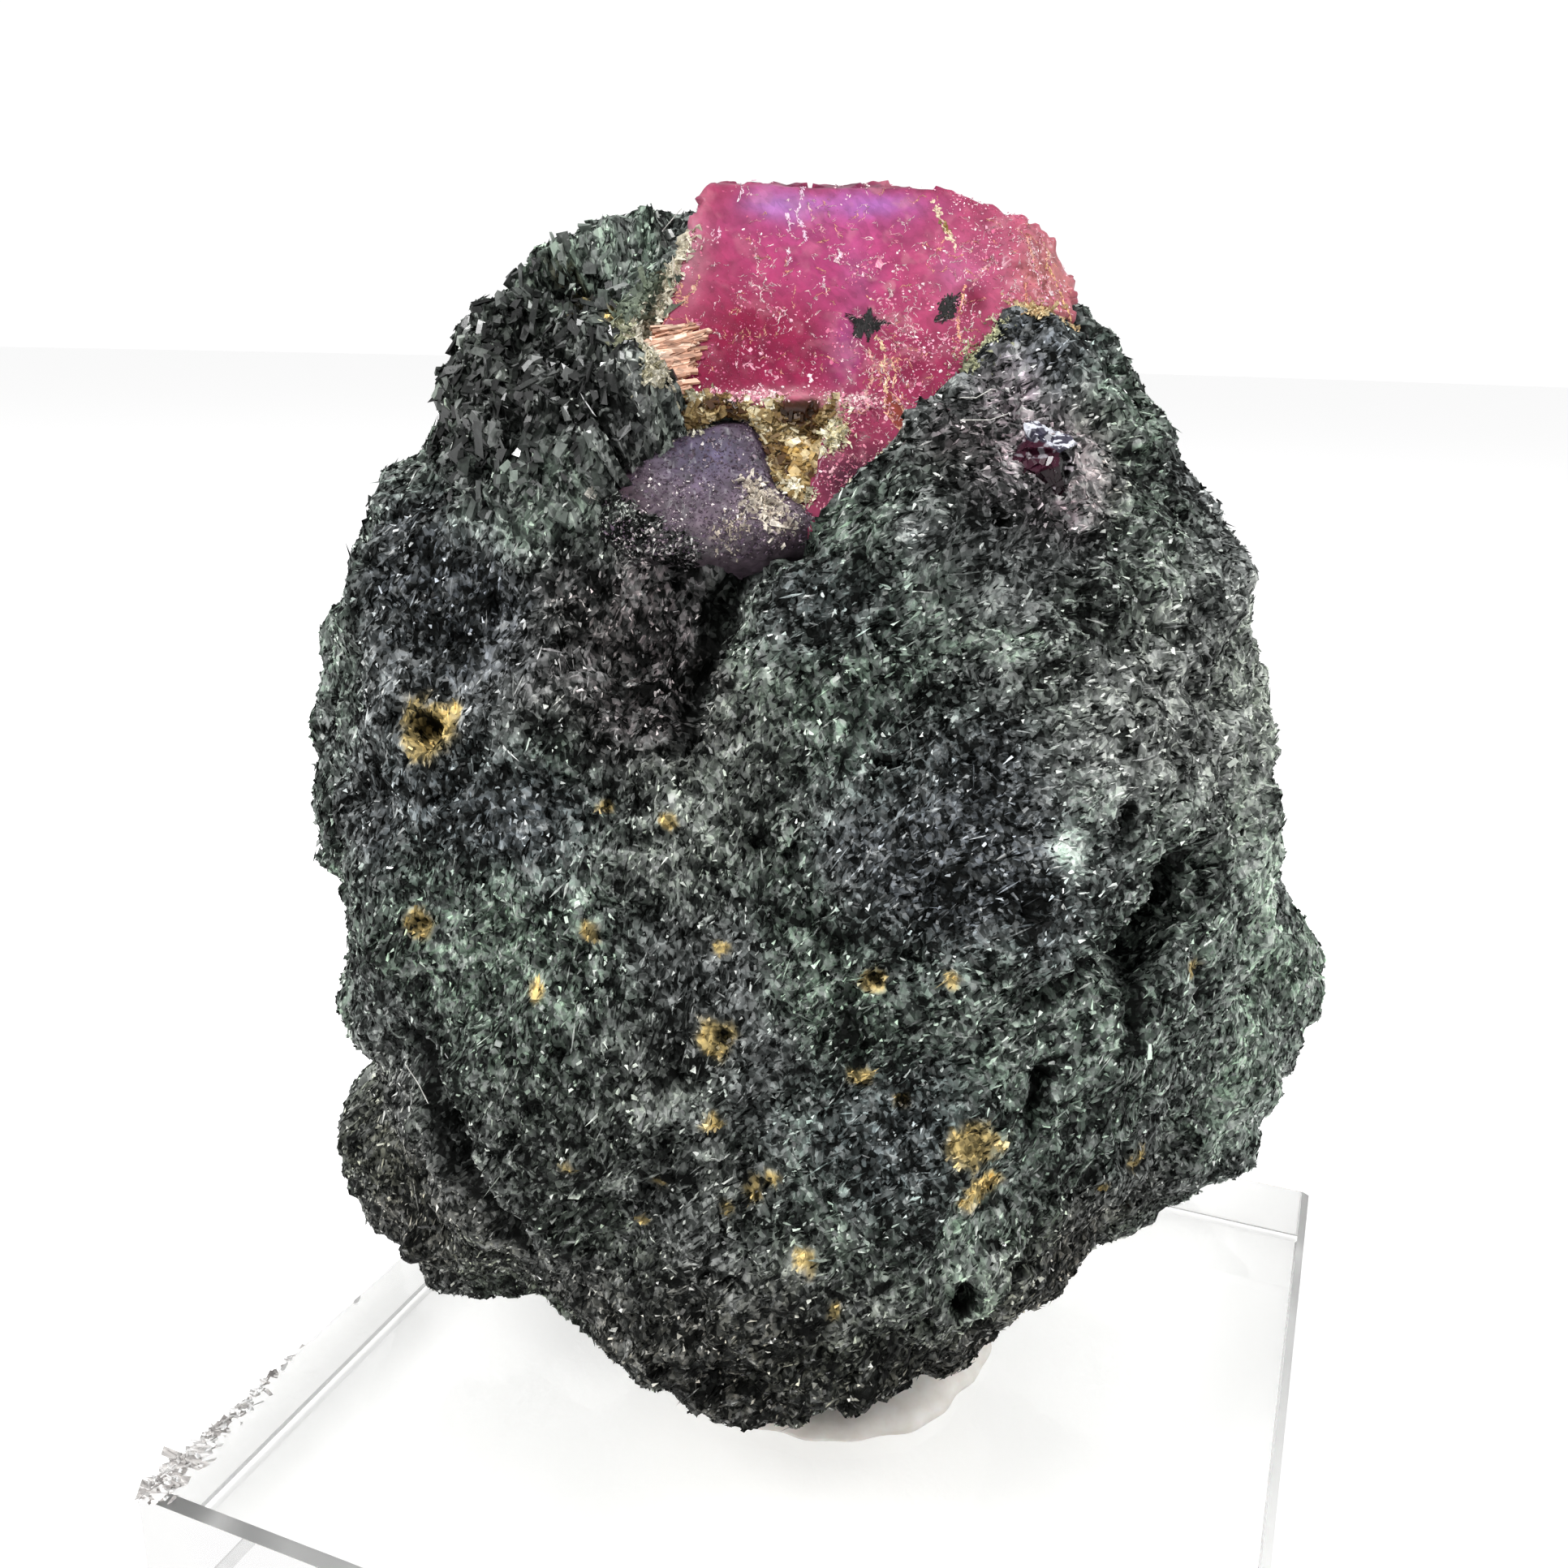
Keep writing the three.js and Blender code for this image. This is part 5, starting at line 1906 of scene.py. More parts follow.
@dataclass
class RubyCrystal:
    """The ruby: two grown blocks, broken across the front, with what is caught in it."""

    middle: Triple = (1.5, 9.0, -4.0)
    side: int = 126  # 190,512 triangles
    body: str = "#a83c62"
    depth: float = 0.7  # share of the light that the stone's own colour keeps
    blocks: tuple[CrystalBlock, ...] = (
        CrystalBlock(
            (
                (-3.9, 14.6), (2.2, 14.8), (5.3, 14.1), (8.5, 13.0), (8.2, 9.2), (7.2, 8.8), (4.8, 5.2),
                (1.9, 1.6), (0.1, -0.5), (-0.7, 0.2), (0.1, 2.2), (0.7, 4.4), (-4.5, 4.5), (-6.2, 6.8),
                (-5.5, 10.6),
            ),
            0, 9, 8,
            (
                FacetCut((0, 14.0, 0), (-0.03, 0.72, 0.69)), FacetCut((-5.0, 11.2, 0), (-0.7, 0.15, 0.7)),
                FacetCut((6.4, 13.2, 0), (0.3, 0.4, 0.86)), FacetCut((7.4, 10.5, 0), (0.25, -0.05, 0.96)),
                FacetCut((0.6, 3.0, 0), (-0.02, -0.14, 0.99)),
            ),
        ),
        CrystalBlock(
            ((7.3, 13.0), (8.8, 12.8), (10.1, 11.1), (9.9, 8.9), (7.3, 8.9)), 0.1, 7, 6,
            (FacetCut((8.0, 11, 0.1), (0.55, 0.1, 0.82)), FacetCut((9.2, 12.2, -0.6), (0.5, 0.6, 0.62))),
        ),
    )
    shades: tuple[Shade, ...] = (
        Shade(0.5, 10.8, 3.6, 2.4, "#b8427c", 0.8), Shade(6.2, 10.6, 2.2, 2.6, "#c05a7e", 0.85),
        Shade(9.0, 10.6, 1.4, 2.6, "#cf8684", 0.9), Shade(-2.8, 7.4, 2.9, 1.8, "#860536", 0.95),
        Shade(-3.6, 5.7, 2.4, 1.1, "#86083a", 0.92), Shade(-0.6, 6.4, 2.2, 1.4, "#8a0c40", 0.8),
        Shade(4.0, 6.0, 1.2, 1.6, "#8c1544", 0.85), Shade(5.9, 9.2, 0.35, 0.8, "#7c0f34", 0.9),
        Shade(1.6, 3.4, 1.2, 0.9, "#8e2a4a", 0.8), Shade(1.2, 1.9, 1.3, 1.3, "#4e1830", 0.95),
        # Next two rows: the pale left facet (u -5.0) is painted light on a lit facet over its own pale
        # margin, and the lilac spots at v 13.1 and 13.2 are painted sheen over a lilac top
        Shade(-5.0, 11.4, 0.7, 2.4, "#bf8492", 0.8), Shade(-1.2, 13.1, 1.4, 0.65, "#bb82ca", 0.9),
        Shade(1.9, 13.2, 1.9, 0.7, "#b872c0", 0.9), Shade(1.1, 7.0, 0.6, 1.4, "#a8508c", 0.7),
        Shade(5.3, 10.6, 0.8, 0.9, "#c46c9c", 0.6), Shade(1.6, 10.2, 0.6, 1.6, "#b86094", 0.5),
        # the dark band at v 14.4 along the top bevel is painted shade
        Shade(-0.2, 12.0, 4.0, 0.7, "#b04a80", 0.6), Shade(0.0, 14.4, 5.0, 0.3, "#5e1c3c", 0.85),
        Shade(-1.2, 4.75, 2.8, 0.25, "#cc8a96", 0.7), Shade(0.75, 4.3, 0.4, 0.5, "#d9cfae", 0.8),
    )
    threads: tuple[Thread, ...] = (
        Thread(((-3.0, 14.1), (-2.9, 13.7), (-3.05, 13.2)), 0.05, "#ffe6f2"),
        Thread(((-0.6, 14.1), (-0.65, 13.4), (-0.8, 12.7), (-0.5, 12.0), (-0.45, 11.6)), 0.06, "#f8d8ec"),
        Thread(((-1.2, 12.7), (-1.05, 12.2), (-0.95, 11.9)), 0.1, "#f6d0e4"),
        Thread(((-4.0, 11.9), (-3.9, 11.5), (-3.7, 11.6), (-3.75, 12.0)), 0.06, "#f2c4d8"),
        Thread(((-1.1, 11.2), (-1.0, 10.8), (-1.15, 10.4)), 0.07, "#f6d4e2"),
        Thread(((0.8, 11.2), (0.95, 10.9), (0.7, 10.7)), 0.1, "#f2ccd8"),
        Thread(((2.3, 10.9), (2.45, 10.7), (2.3, 10.5)), 0.12, "#e8a8b4"),
        Thread(((0.3, 9.9), (0.15, 9.5)), 0.08, "#f2ccd8"),
        Thread(((4.4, 13.5), (4.7, 12.8), (4.9, 12.3), (5.2, 11.6), (5.3, 11.2)), 0.14, "#e6cdb0"),
        Thread(((4.75, 12.7), (4.95, 12.2)), 0.16, "#8a6a2a", 0.95),
        Thread(((8.7, 11.1), (9.0, 10.5), (9.3, 10.0), (9.5, 9.4), (9.7, 9.0)), 0.07, "#f0c48e"),
        Thread(((7.9, 11.9), (8.1, 11.2), (8.2, 10.7)), 0.06, "#eab09a"),
        Thread(((7.9, 10.4), (7.8, 9.7), (7.9, 8.9)), 0.06, "#d8947e"),
        Thread(((8.6, 12.2), (8.9, 11.6), (8.7, 11.1)), 0.06, "#eec0a8"),
        Thread(((5.6, 10.0), (5.5, 9.2), (5.3, 8.3), (5.4, 7.3)), 0.06, "#e9b08e"),
        Thread(((6.6, 10.9), (6.0, 10.1), (5.7, 9.6)), 0.05, "#e2a0ac"),
        Thread(((2.3, 7.6), (2.6, 6.9), (2.5, 6.3), (2.75, 5.8), (2.6, 5.3)), 0.09, "#ecc8a2"),
        Thread(((2.0, 6.9), (2.2, 6.3), (2.1, 5.6), (1.9, 5.1), (2.0, 4.4)), 0.06, "#e8b4a8"),
        Thread(((2.8, 6.6), (3.0, 6.0), (2.9, 5.4)), 0.06, "#ecc0a0"),
        Thread(((-2.6, 6.2), (-1.8, 6.0), (-1.4, 5.6)), 0.14, "#d894a8", 0.6),
        Thread(
            ((2.7, 5.3), (2.55, 4.5), (3.25, 3.6), (3.45, 4.2), (3.05, 5.0), (2.7, 5.3)), 0.05, "#f0c0a0",
        ),
        Thread(((0.5, 2.9), (1.2, 2.7), (1.9, 2.4)), 0.04, "#c8929a", 0.7),
        Thread(((-5.4, 9.9), (-5.0, 9.5), (-5.3, 9.0), (-4.8, 8.7)), 0.08, "#dca48c"),
        Thread(((-5.9, 8.6), (-5.5, 8.2), (-5.8, 7.8)), 0.08, "#d88a80"),
        Thread(((-5.2, 8.7), (-4.6, 9.3), (-4.4, 9.9)), 0.06, "#e0b49a"),
    )
    leaf: Line = ((2.7, 5.2), (2.62, 4.6), (2.75, 4.2), (3.25, 3.65), (3.4, 4.2), (3.05, 4.9))
    stars: tuple[Line, ...] = (
        (
            (1.15, 8.35), (1.4, 8.1), (1.65, 8.05), (1.75, 8.3), (2.05, 8.75), (2.15, 8.4), (2.6, 8.15),
            (2.35, 7.85), (2.1, 7.8), (2.0, 7.35), (1.8, 7.75), (1.45, 7.55), (1.45, 7.9),
        ),
        (
            (4.45, 8.25), (4.75, 8.5), (4.7, 8.8), (4.8, 9.1), (4.95, 9.35), (5.2, 9.3), (5.4, 9.4),
            (5.35, 9.05), (5.1, 8.8), (4.95, 8.45), (4.7, 8.2),
        ),
    )
    # painted shade: outlines on the ruby's lower wall, over the pocket, painted dark brown
    shaded_gaps: tuple[Line, ...] = (
        ((-1.35, 4.7), (0.25, 4.7), (0.35, 3.6), (-1.35, 3.6)),
        ((-4.6, 4.72), (-2.6, 4.72), (-2.6, 3.6), (-4.6, 3.6)),
    )
    cracks: int = 520  # small random threads
    flecks: int = 26000
    seed: int = 31

    def form(self, coordinates: Array) -> Array:
        """The two blocks, each with its edges softened, joined with soft hollows.

        Args:
            coordinates: Places in the face's frame, in mm, one row each.

        Returns:
            A distance for each place, in mm, below zero inside.
        """
        first, *others = [block.form(coordinates, 0.07) for block in self.blocks]
        for other in others:
            share = np.clip(0.5 + (other - first) / 0.8, 0, 1)
            first = other + (first - other) * share - 0.4 * share * (1 - share)
        return first

    def shell(self) -> Shell:
        """The broken surface, in u, v and w: nearly smooth in front, rougher at its sides and right end.

        Returns:
            The closed surface of the crystal.
        """
        shell = pressed_ball(self.form, self.middle, self.side, (13, 1), 0.3, (0, 0, 0.45))
        facing = shell.normals()[:, 2]
        points = shell.vertices
        sides = 1 - smoothstep((facing - 0.5) / 0.35)
        low_edge = 1.4 * np.exp(-(((points[:, 1] - 4.6) / 0.45) ** 2)) * (points[:, 0] < 2.4)
        rough = np.maximum(sides, low_edge)
        right = smoothstep((points[:, 0] - 6.0) / 2.5)
        height = 0.14 * layered_noise(points, 4.0, 270) + 0.05 * layered_noise(points, 1.1, 260)
        height += (rough + 0.8 * right) * facet_relief(points, 0.9, 0.2, 0.16, 290)
        height += (0.25 + rough + right) * 0.04 * smooth_noise(points, 0.3, 300)
        return shell.raised(height)

    def paint(self, points: Array) -> Array:
        """Colour at each point: body, shades with painted light and shade among them, and clouds, then
        frosted places, painted shade under the lower edge, and what is caught in it.

        Args:
            points: Places in the face's frame, in mm, one row each.

        Returns:
            Rows of linear red, green and blue.
        """
        u, v = points[:, 0], points[:, 1]
        ragged = jostled(points, 0.45, 1.3, 310)
        colours = np.tile(linear(self.body), (len(u), 1))
        for shade in self.shades:
            colours = shade.lay(colours, ragged[:, 0], ragged[:, 1])
        clouds = 1 + 0.2 * layered_noise(points, 0.9, 330) + 0.1 * smooth_noise(points, 0.3, 335)
        colours = colours * clouds[:, None]
        frost = smoothstep((layered_noise(ragged, 0.7, 360) - 0.2) / 0.3)
        frost = frost * (0.2 + 0.45 * smoothstep((u - 5.5) / 2.5) + 0.35 * np.exp(-((u - 2.6) ** 2)))
        colours = mixed(colours, frost, "#cf8a98")
        inside = smoothstep(0.5 - outline_distance(u, v, self.leaf) / 0.08)
        colours = mixed(colours, 0.9 * inside, "#8e3f28")
        # painted shade: dark brown in the gaps under the ruby's lower edge
        for shaded_gap in self.shaded_gaps:
            away = outline_distance(u, v, shaded_gap) + 0.2 * layered_noise(points, 0.4, 340)
            colours = mixed(colours, 0.97 * smoothstep(0.5 - away / 0.2), "#40240c")
        for star in self.stars:
            colours = mixed(colours, smoothstep(0.5 - outline_distance(u, v, star) / 0.15), "#1d0a12")
        return np.clip(colours * self.depth, 0, 1)

    def streaks(self, rng: Rng) -> Array:
        """Every streak in the ruby: named threads, random short cracks, flecks and the dark stars.

        Args:
            rng: The source of random numbers.

        Returns:
            One row for each streak.
        """
        rows = [thread.streaks(rng) for thread in self.threads]
        for _ in range(self.cracks):
            cluster = rng.choice(5, p=(0.22, 0.2, 0.2, 0.2, 0.18))
            centre = ((7.8, 10.8), (2.6, 6.0), (-0.5, 11.5), (-2.5, 7.5), (5.0, 8.5))[cluster]
            spread = ((1.6, 1.6), (0.9, 1.5), (3.0, 1.6), (2.4, 1.8), (1.4, 2.2))[cluster]
            start = (rng.normal(centre[0], spread[0]), rng.normal(centre[1], spread[1]))
            path = wandering_path(rng, start, rng.normal(70, 35), rng.uniform(0.15, 0.9), 28)
            colour = rng.choice(("#f3cdd6", "#e7a9b8", "#f7e0e0", "#e4ab96"))
            rows.append(Thread(tuple(map(tuple, path)), 0.03, colour, 0.55).streaks(rng))
        u, v = rng.uniform(-6, 10, self.flecks), rng.uniform(0, 14.6, self.flecks)
        spots = columns(u, v, 0 * u)
        density = 0.04 + 1.1 * layered_noise(spots, 0.9, 320) + 0.3 * smoothstep((u - 2) / 3)
        density *= 1 - 0.8 * smoothstep((v - 11.0) / 1.6) * (u < 5)
        deep = bell(u, v, (-2.5, 7.0), (2.6, 1.8))
        fine = rng.random(self.flecks) < 0.6 * deep
        kept = (rng.random(self.flecks) < density) & (rng.random(self.flecks) > 1.2 * deep)
        reds = ("#bd4c76", "#c9668a", "#a83864", "#e6a9ba")
        pinks = ("#e8a4ba", "#d57d9a", "#f6dade", "#c96084")
        rows.append(fleck_streaks(rng, u[fine], v[fine], 0.045, reds))
        rows.append(fleck_streaks(rng, u[kept], v[kept], 0.06, pinks))
        edge = self.flecks // 30
        u = rng.choice((-3.6, -2.2, -1.6, 0.9, 2.0), edge) + 0.4 * rng.normal(size=edge)
        v = 4.85 + 0.16 * rng.normal(size=edge)
        rows.append(fleck_streaks(rng, u, v, 0.085, ("#e6b8bf", "#d795a4", "#f3dcd8", "#c87890")))
        u, v = rng.uniform(0.2, 3.0, edge), rng.uniform(0.6, 4.6, edge)
        rows.append(fleck_streaks(rng, u, v, 0.07, ("#c8788c", "#b05a74", "#e2aab4", "#8e4058")))
        for star in self.stars:
            middle = np.mean(star, axis=0)
            for point in star:
                bent = middle * 0.4 + np.array(point) * 0.6 + rng.normal(0, 0.05, 2)
                rows.append(Thread((tuple(middle), tuple(bent), point), 0.1, "#0b0909", 1.9).streaks(rng))
            near = rng.normal(0, 0.16, (26, 2)) + middle
            rows.append(fleck_streaks(rng, near[:, 0], near[:, 1], 0.26, ("#0b0909", "#161011")))
        return np.concatenate(rows)

    def dress(self) -> None:
        """Builds the ruby and what is caught in it."""
        rng = np.random.default_rng(self.seed)
        shell = self.shell()
        finish = FracturedCorundum("ruby_corundum_fractured").material()
        tint = self.paint(shell.vertices)
        crystal = make_piece("ruby_crystal_body", shell.on_face(), finish, "ruby", True, tint=tint)
        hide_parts("ruby_crystal")
        make_streaks("ruby_healed_cracks", shell, self.streaks(rng), self.form, "ruby", rng)


@dataclass
class GreyCorundum:
    """The purple-grey corundum below the ruby: a worn, low dome with an angular outline."""

    middle: Triple = (-4.0, 1.2, -3.0)
    outline: Line = (
        (-7.9, 0.6), (-7.5, 1.9), (-6.6, 2.9), (-6.0, 3.4), (-4.5, 4.1), (-3.3, 4.6), (-2.2, 4.5),
        (-1.6, 3.9), (-1.3, 2.8), (-0.9, 1.7), (0.1, 1.1), (0.8, 0.3), (0.1, -0.7), (-1.2, -1.1),
        (-2.6, -1.35), (-4.0, -1.4), (-5.0, -1.3), (-6.4, -1.2), (-7.6, -0.4),
    )
    front: float = 0.0
    crown: float = 1.1  # how far in from the outline the dome still falls
    fall: float = 0.9  # how far it falls at the outline
    side: int = 84
    flecks: int = 9000
    skin: int = 2600  # grains of rock on its lower left
    seed: int = 37
    body: str = "#705c6e"
    shades: tuple[Shade, ...] = (
        Shade(-6.9, 1.0, 1.3, 1.3, "#4b2a38", 0.85), Shade(-6.6, -0.4, 1.6, 0.8, "#3a2c33", 0.85),
        # painted highlight: the paler violet spot at u -3.6 near the dome's top, over its own violet
        Shade(-5.6, 2.6, 1.2, 0.8, "#705f72", 0.7), Shade(-3.6, 2.4, 1.5, 1.1, "#6a6088", 0.75),
        Shade(-2.0, 3.0, 0.8, 1.2, "#55405a", 0.8), Shade(-3.8, -1.0, 2.2, 0.7, "#74646e", 0.8),
        Shade(-1.0, 0.0, 1.2, 1.2, "#6e5a62", 0.7),
    )

    def form(self, points: Array) -> Array:
        """Softened greatest of the distance from the outline and the height over the dome.

        Args:
            points: Places in the face's frame, in mm, one row each.

        Returns:
            A distance for each place, in mm, below zero inside.
        """
        beyond = outline_distance(points[:, 0], points[:, 1], self.outline)
        share = np.clip(-beyond / self.crown, 0, 1)
        tilt = -0.06 * (points[:, 0] + 4) - 0.05 * (points[:, 1] - 1.2)
        height = points[:, 2] - self.front + self.fall * (1 - share) ** 2 - tilt
        return greatest([beyond, height * 0.8, -6 - points[:, 2]], 0.12)

    def paint(self, points: Array) -> Array:
        """Colour at each point: shades, one a painted highlight near the dome's top, clouds, a cream crust
        at the lower right and the rock over its lower left.

        Args:
            points: Places in the face's frame, in mm, one row each.

        Returns:
            Rows of linear red, green and blue.
        """
        u, v = points[:, 0], points[:, 1]
        colours = np.tile(linear(self.body), (len(points), 1))
        ragged = jostled(points, 0.5, 1.0, 430)
        for shade in self.shades:
            colours = shade.lay(colours, ragged[:, 0], ragged[:, 1])
        clouds = 1 + 0.7 * layered_noise(points, 0.5, 450) + 0.25 * smooth_noise(points, 0.2, 455)
        colours = np.clip(colours * clouds[:, None], 0.005, 1)
        crust = bell(ragged[:, 0], ragged[:, 1], (-1.7, 0.6), (1.1, 0.9))
        crust += 0.5 * bell(ragged[:, 0], ragged[:, 1], (-3.3, -0.7), (0.6, 0.4))
        patchy = smoothstep((layered_noise(points, 0.5, 470) + 1.1 * crust - 0.75) / 0.2)
        colours = mixed(colours, patchy * 0.9, "#cdbfae")
        low = smoothstep((-0.35 - ragged[:, 1] - 0.5 * smoothstep((u + 5) / 3)) / 0.5)
        rock = np.maximum(low * smoothstep((-3.2 - u) / 1.5), self.rock_share(points))
        return np.clip(0.5 * mixed(colours, 0.85 * rock, "#1d1a1b"), 0, 1)

    def rock_share(self, points: Array) -> Array:
        """How much of the crystal's lower left the rock still covers, from 0 to 1."""
        border = 1.2 - 0.68 * (points[:, 0] + 7.9) + 0.9 * layered_noise(points, 0.9, 480)
        return smoothstep((border - points[:, 1]) / 0.6 + 0.5)

    def dress(self, rock: MatrixRock) -> None:
        """Builds the crystal, and the grains of the rock that still cover its lower left.

        Args:
            rock: The matrix, whose grains are laid here too.
        """
        shell = pressed_ball(self.form, self.middle, self.side, (7, 0.5), 0.15, (0, 0, 0.35))
        points = shell.vertices
        height = 0.05 * layered_noise(points, 1.2, 400) + 0.02 * smooth_noise(points, 0.25, 410)
        height += facet_relief(points, 0.45, 0.1, 0.05, 420)
        raised = shell.raised(height)
        placed = raised.on_face()
        frosted = {"roughness": 0.45, "specular": 0.35, "bump": 0.04}
        finish = FracturedCorundum("grey_corundum_frosted", 0.15, (0.5, 0.35, 0.5), **frosted).material()
        tint = self.paint(points)
        crystal = make_piece("grey_corundum_body", placed, finish, "grey_corundum", True, tint=tint)
        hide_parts("grey_corundum_crystal")
        rng = np.random.default_rng(self.seed)
        u, v = rng.uniform(-7.6, 0.2, self.flecks), rng.uniform(-1.7, 4.2, self.flecks)
        spots = columns(u, v, 0 * u)
        low = smoothstep((1.4 - v + 0.25 * (u + 4)) / 2.5)
        right = bell(u, v, (-1.2, 0.6), (1.4, 1.2))
        density = 0.05 + 0.2 * low + 0.2 * right + 0.7 * layered_noise(spots, 0.6, 440)
        kept = rng.random(self.flecks) < density
        rows = [fleck_streaks(rng, u[kept], v[kept], 0.055, ("#b3a2ab", "#8a7985", "#efe6e4", "#6f5f6b"))]
        mottled = rng.random(self.flecks) < 0.3 + 0.3 * low
        rows.append(fleck_streaks(rng, u[mottled], v[mottled], 0.07, ("#4a3b49", "#5b4b5c", "#3a2e38")))
        make_streaks("grey_corundum_flecks", raised, np.concatenate(rows), self.form, "grey_corundum", rng)
        covered = self.rock_share(points) * (raised.normals()[:, 2] > 0.1)
        points, normals = scatter(placed, self.skin, rng, covered)
        places = Places(points, normals, grain_direction(points, normals))
        kind = GrainKind(0.3, 0.14, 0.12, tilt=0.7, wander=0.9, sunk=0.35)
        spread = rng.choice((-0.2, 0.0, 0.45), self.skin, p=(0.5, 0.34, 0.16))
        skin = MineralFinish("amphibole_skin_broken", 0.26, 0.2, 0.5, roughness=0.45, bump=0.03)
        rock.lay("amphibole_skin", GrainShape.SLIVER, kind, places, spread, skin.material(), rng)


@dataclass
class SmallCorundum:
    """The small glassy crystal on the right of the rock."""

    centre: Triple = (6.35, -9.75, 43.4)
    looks: Triple = (0.3, -0.78, 0.55)
    radii: Triple = (1.45, 1.4, 1.45)
    cuts: tuple[FacetCut, ...] = (
        FacetCut((0.0, 0.15, 0.85), (-0.12, 0.5, 0.85)), FacetCut((-0.2, -0.1, 0.88), (-0.42, -0.36, 0.82)),
        FacetCut((0.5, -0.2, 0.8), (0.62, -0.2, 0.75)), FacetCut((0.0, -0.9, 0.4), (0.05, -0.85, 0.5)),
        FacetCut((-1.1, 0.0, 0.0), (-1, 0.1, 0.15)), FacetCut((1.0, 0.1, 0.0), (1, 0.15, 0.1)),
    )
    # painted light and shade: one colour for the body and each cut facet in turn, lighter and darker by how
    # the facet faces the lamps
    painted_facet_shading: tuple[str, ...] = (
        "#2e1620", "#3e3c4a", "#3a1626", "#050304", "#1c0a12", "#33202a", "#0a0607",
    )
    side: int = 56

    def form(self, points: Array) -> Array:
        """An ellipsoid cut by its faces, in the crystal's own axes."""
        ball = Bulge((0, 0, 0), self.radii, 0).form(points)
        return np.max([ball, *(cut.beyond(points) for cut in self.cuts)], axis=0)

    def dress(self) -> None:
        """Builds the crystal, its facets with painted light and shade and two with painted reflections."""
        shell = pressed_ball(self.form, (0, 0, 0), self.side, (3, 0.3), 0.1, (0, 0, 0.4))
        points = shell.vertices
        steps = facet_relief(points, 0.7, 0.3, 0.2, 500) + facet_relief(points, 0.3, 0.2, 0.08, 530)
        raised = shell.raised(steps)
        turn = Vector((0, 0, 1)).rotation_difference(Vector(self.looks)).to_matrix()
        placed = Shell(raised.vertices @ np.array(turn).T + np.array(self.centre), raised.faces)
        heights = [cut.beyond(points) for cut in self.cuts]
        facet = np.argmax([np.full(len(points), -0.12), *heights], axis=0)
        tint = np.array([linear(colour) for colour in self.painted_facet_shading])[facet]
        tint = tint * (1 + 0.5 * layered_noise(points, 0.4, 540))[:, None]
        squeezed = points * np.array([1, 2.0, 1])
        broken = layered_noise(squeezed, 0.5, 545) + 0.5 * smooth_noise(points, 0.16, 548)
        # painted reflection: pale crinkled streaks on the first cut facet and the upper part of the second
        lit = (facet == 1) + 0.35 * (facet == 2) * (points[:, 1] > -0.4)
        tint = mixed(tint, 0.85 * smoothstep((broken - 0.06) / 0.12) * lit, "#d2d4dc")
        tint = np.clip(mixed(tint, 0.6 * flecks(points, 0.3, 0.1, 0.2, 550), "#c9bfc6"), 0, 1)
        glassy = {"roughness": 0.2, "specular": 0.12, "bump": 0.015}
        finish = FracturedCorundum("dark_corundum_glassy", 0.05, (0.4, 0.3, 0.4), **glassy).material()
        crystal = make_piece("small_corundum_body", placed, finish, "dark_corundum", False, tint=tint)
        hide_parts("small_corundum_crystal")


# Colours of the golden mica and of the tan mica, from the darkest to the lightest flakes
GOLDEN_STOPS = {0.0: "#2a1706", 0.2: "#4c2d10", 0.45: "#77603c", 0.65: "#a58e60", 0.85: "#d8cba6"}
GOLDEN_STOPS |= {1.0: "#f6f1de"}
TAN_STOPS = {0.0: "#a57860", 0.5: "#cf9f86", 0.85: "#e4c0a8", 1.0: "#f6e2d0"}


@dataclass(frozen=True)
class Crust:
    """A strip of crumbs beside the crystals: path in u and v, half width, number, size and colours."""

    path: Line
    width: float
    count: int
    size: float = 0.16
    dark: str = "#8d8362"
    pale: str = "#efe8cf"


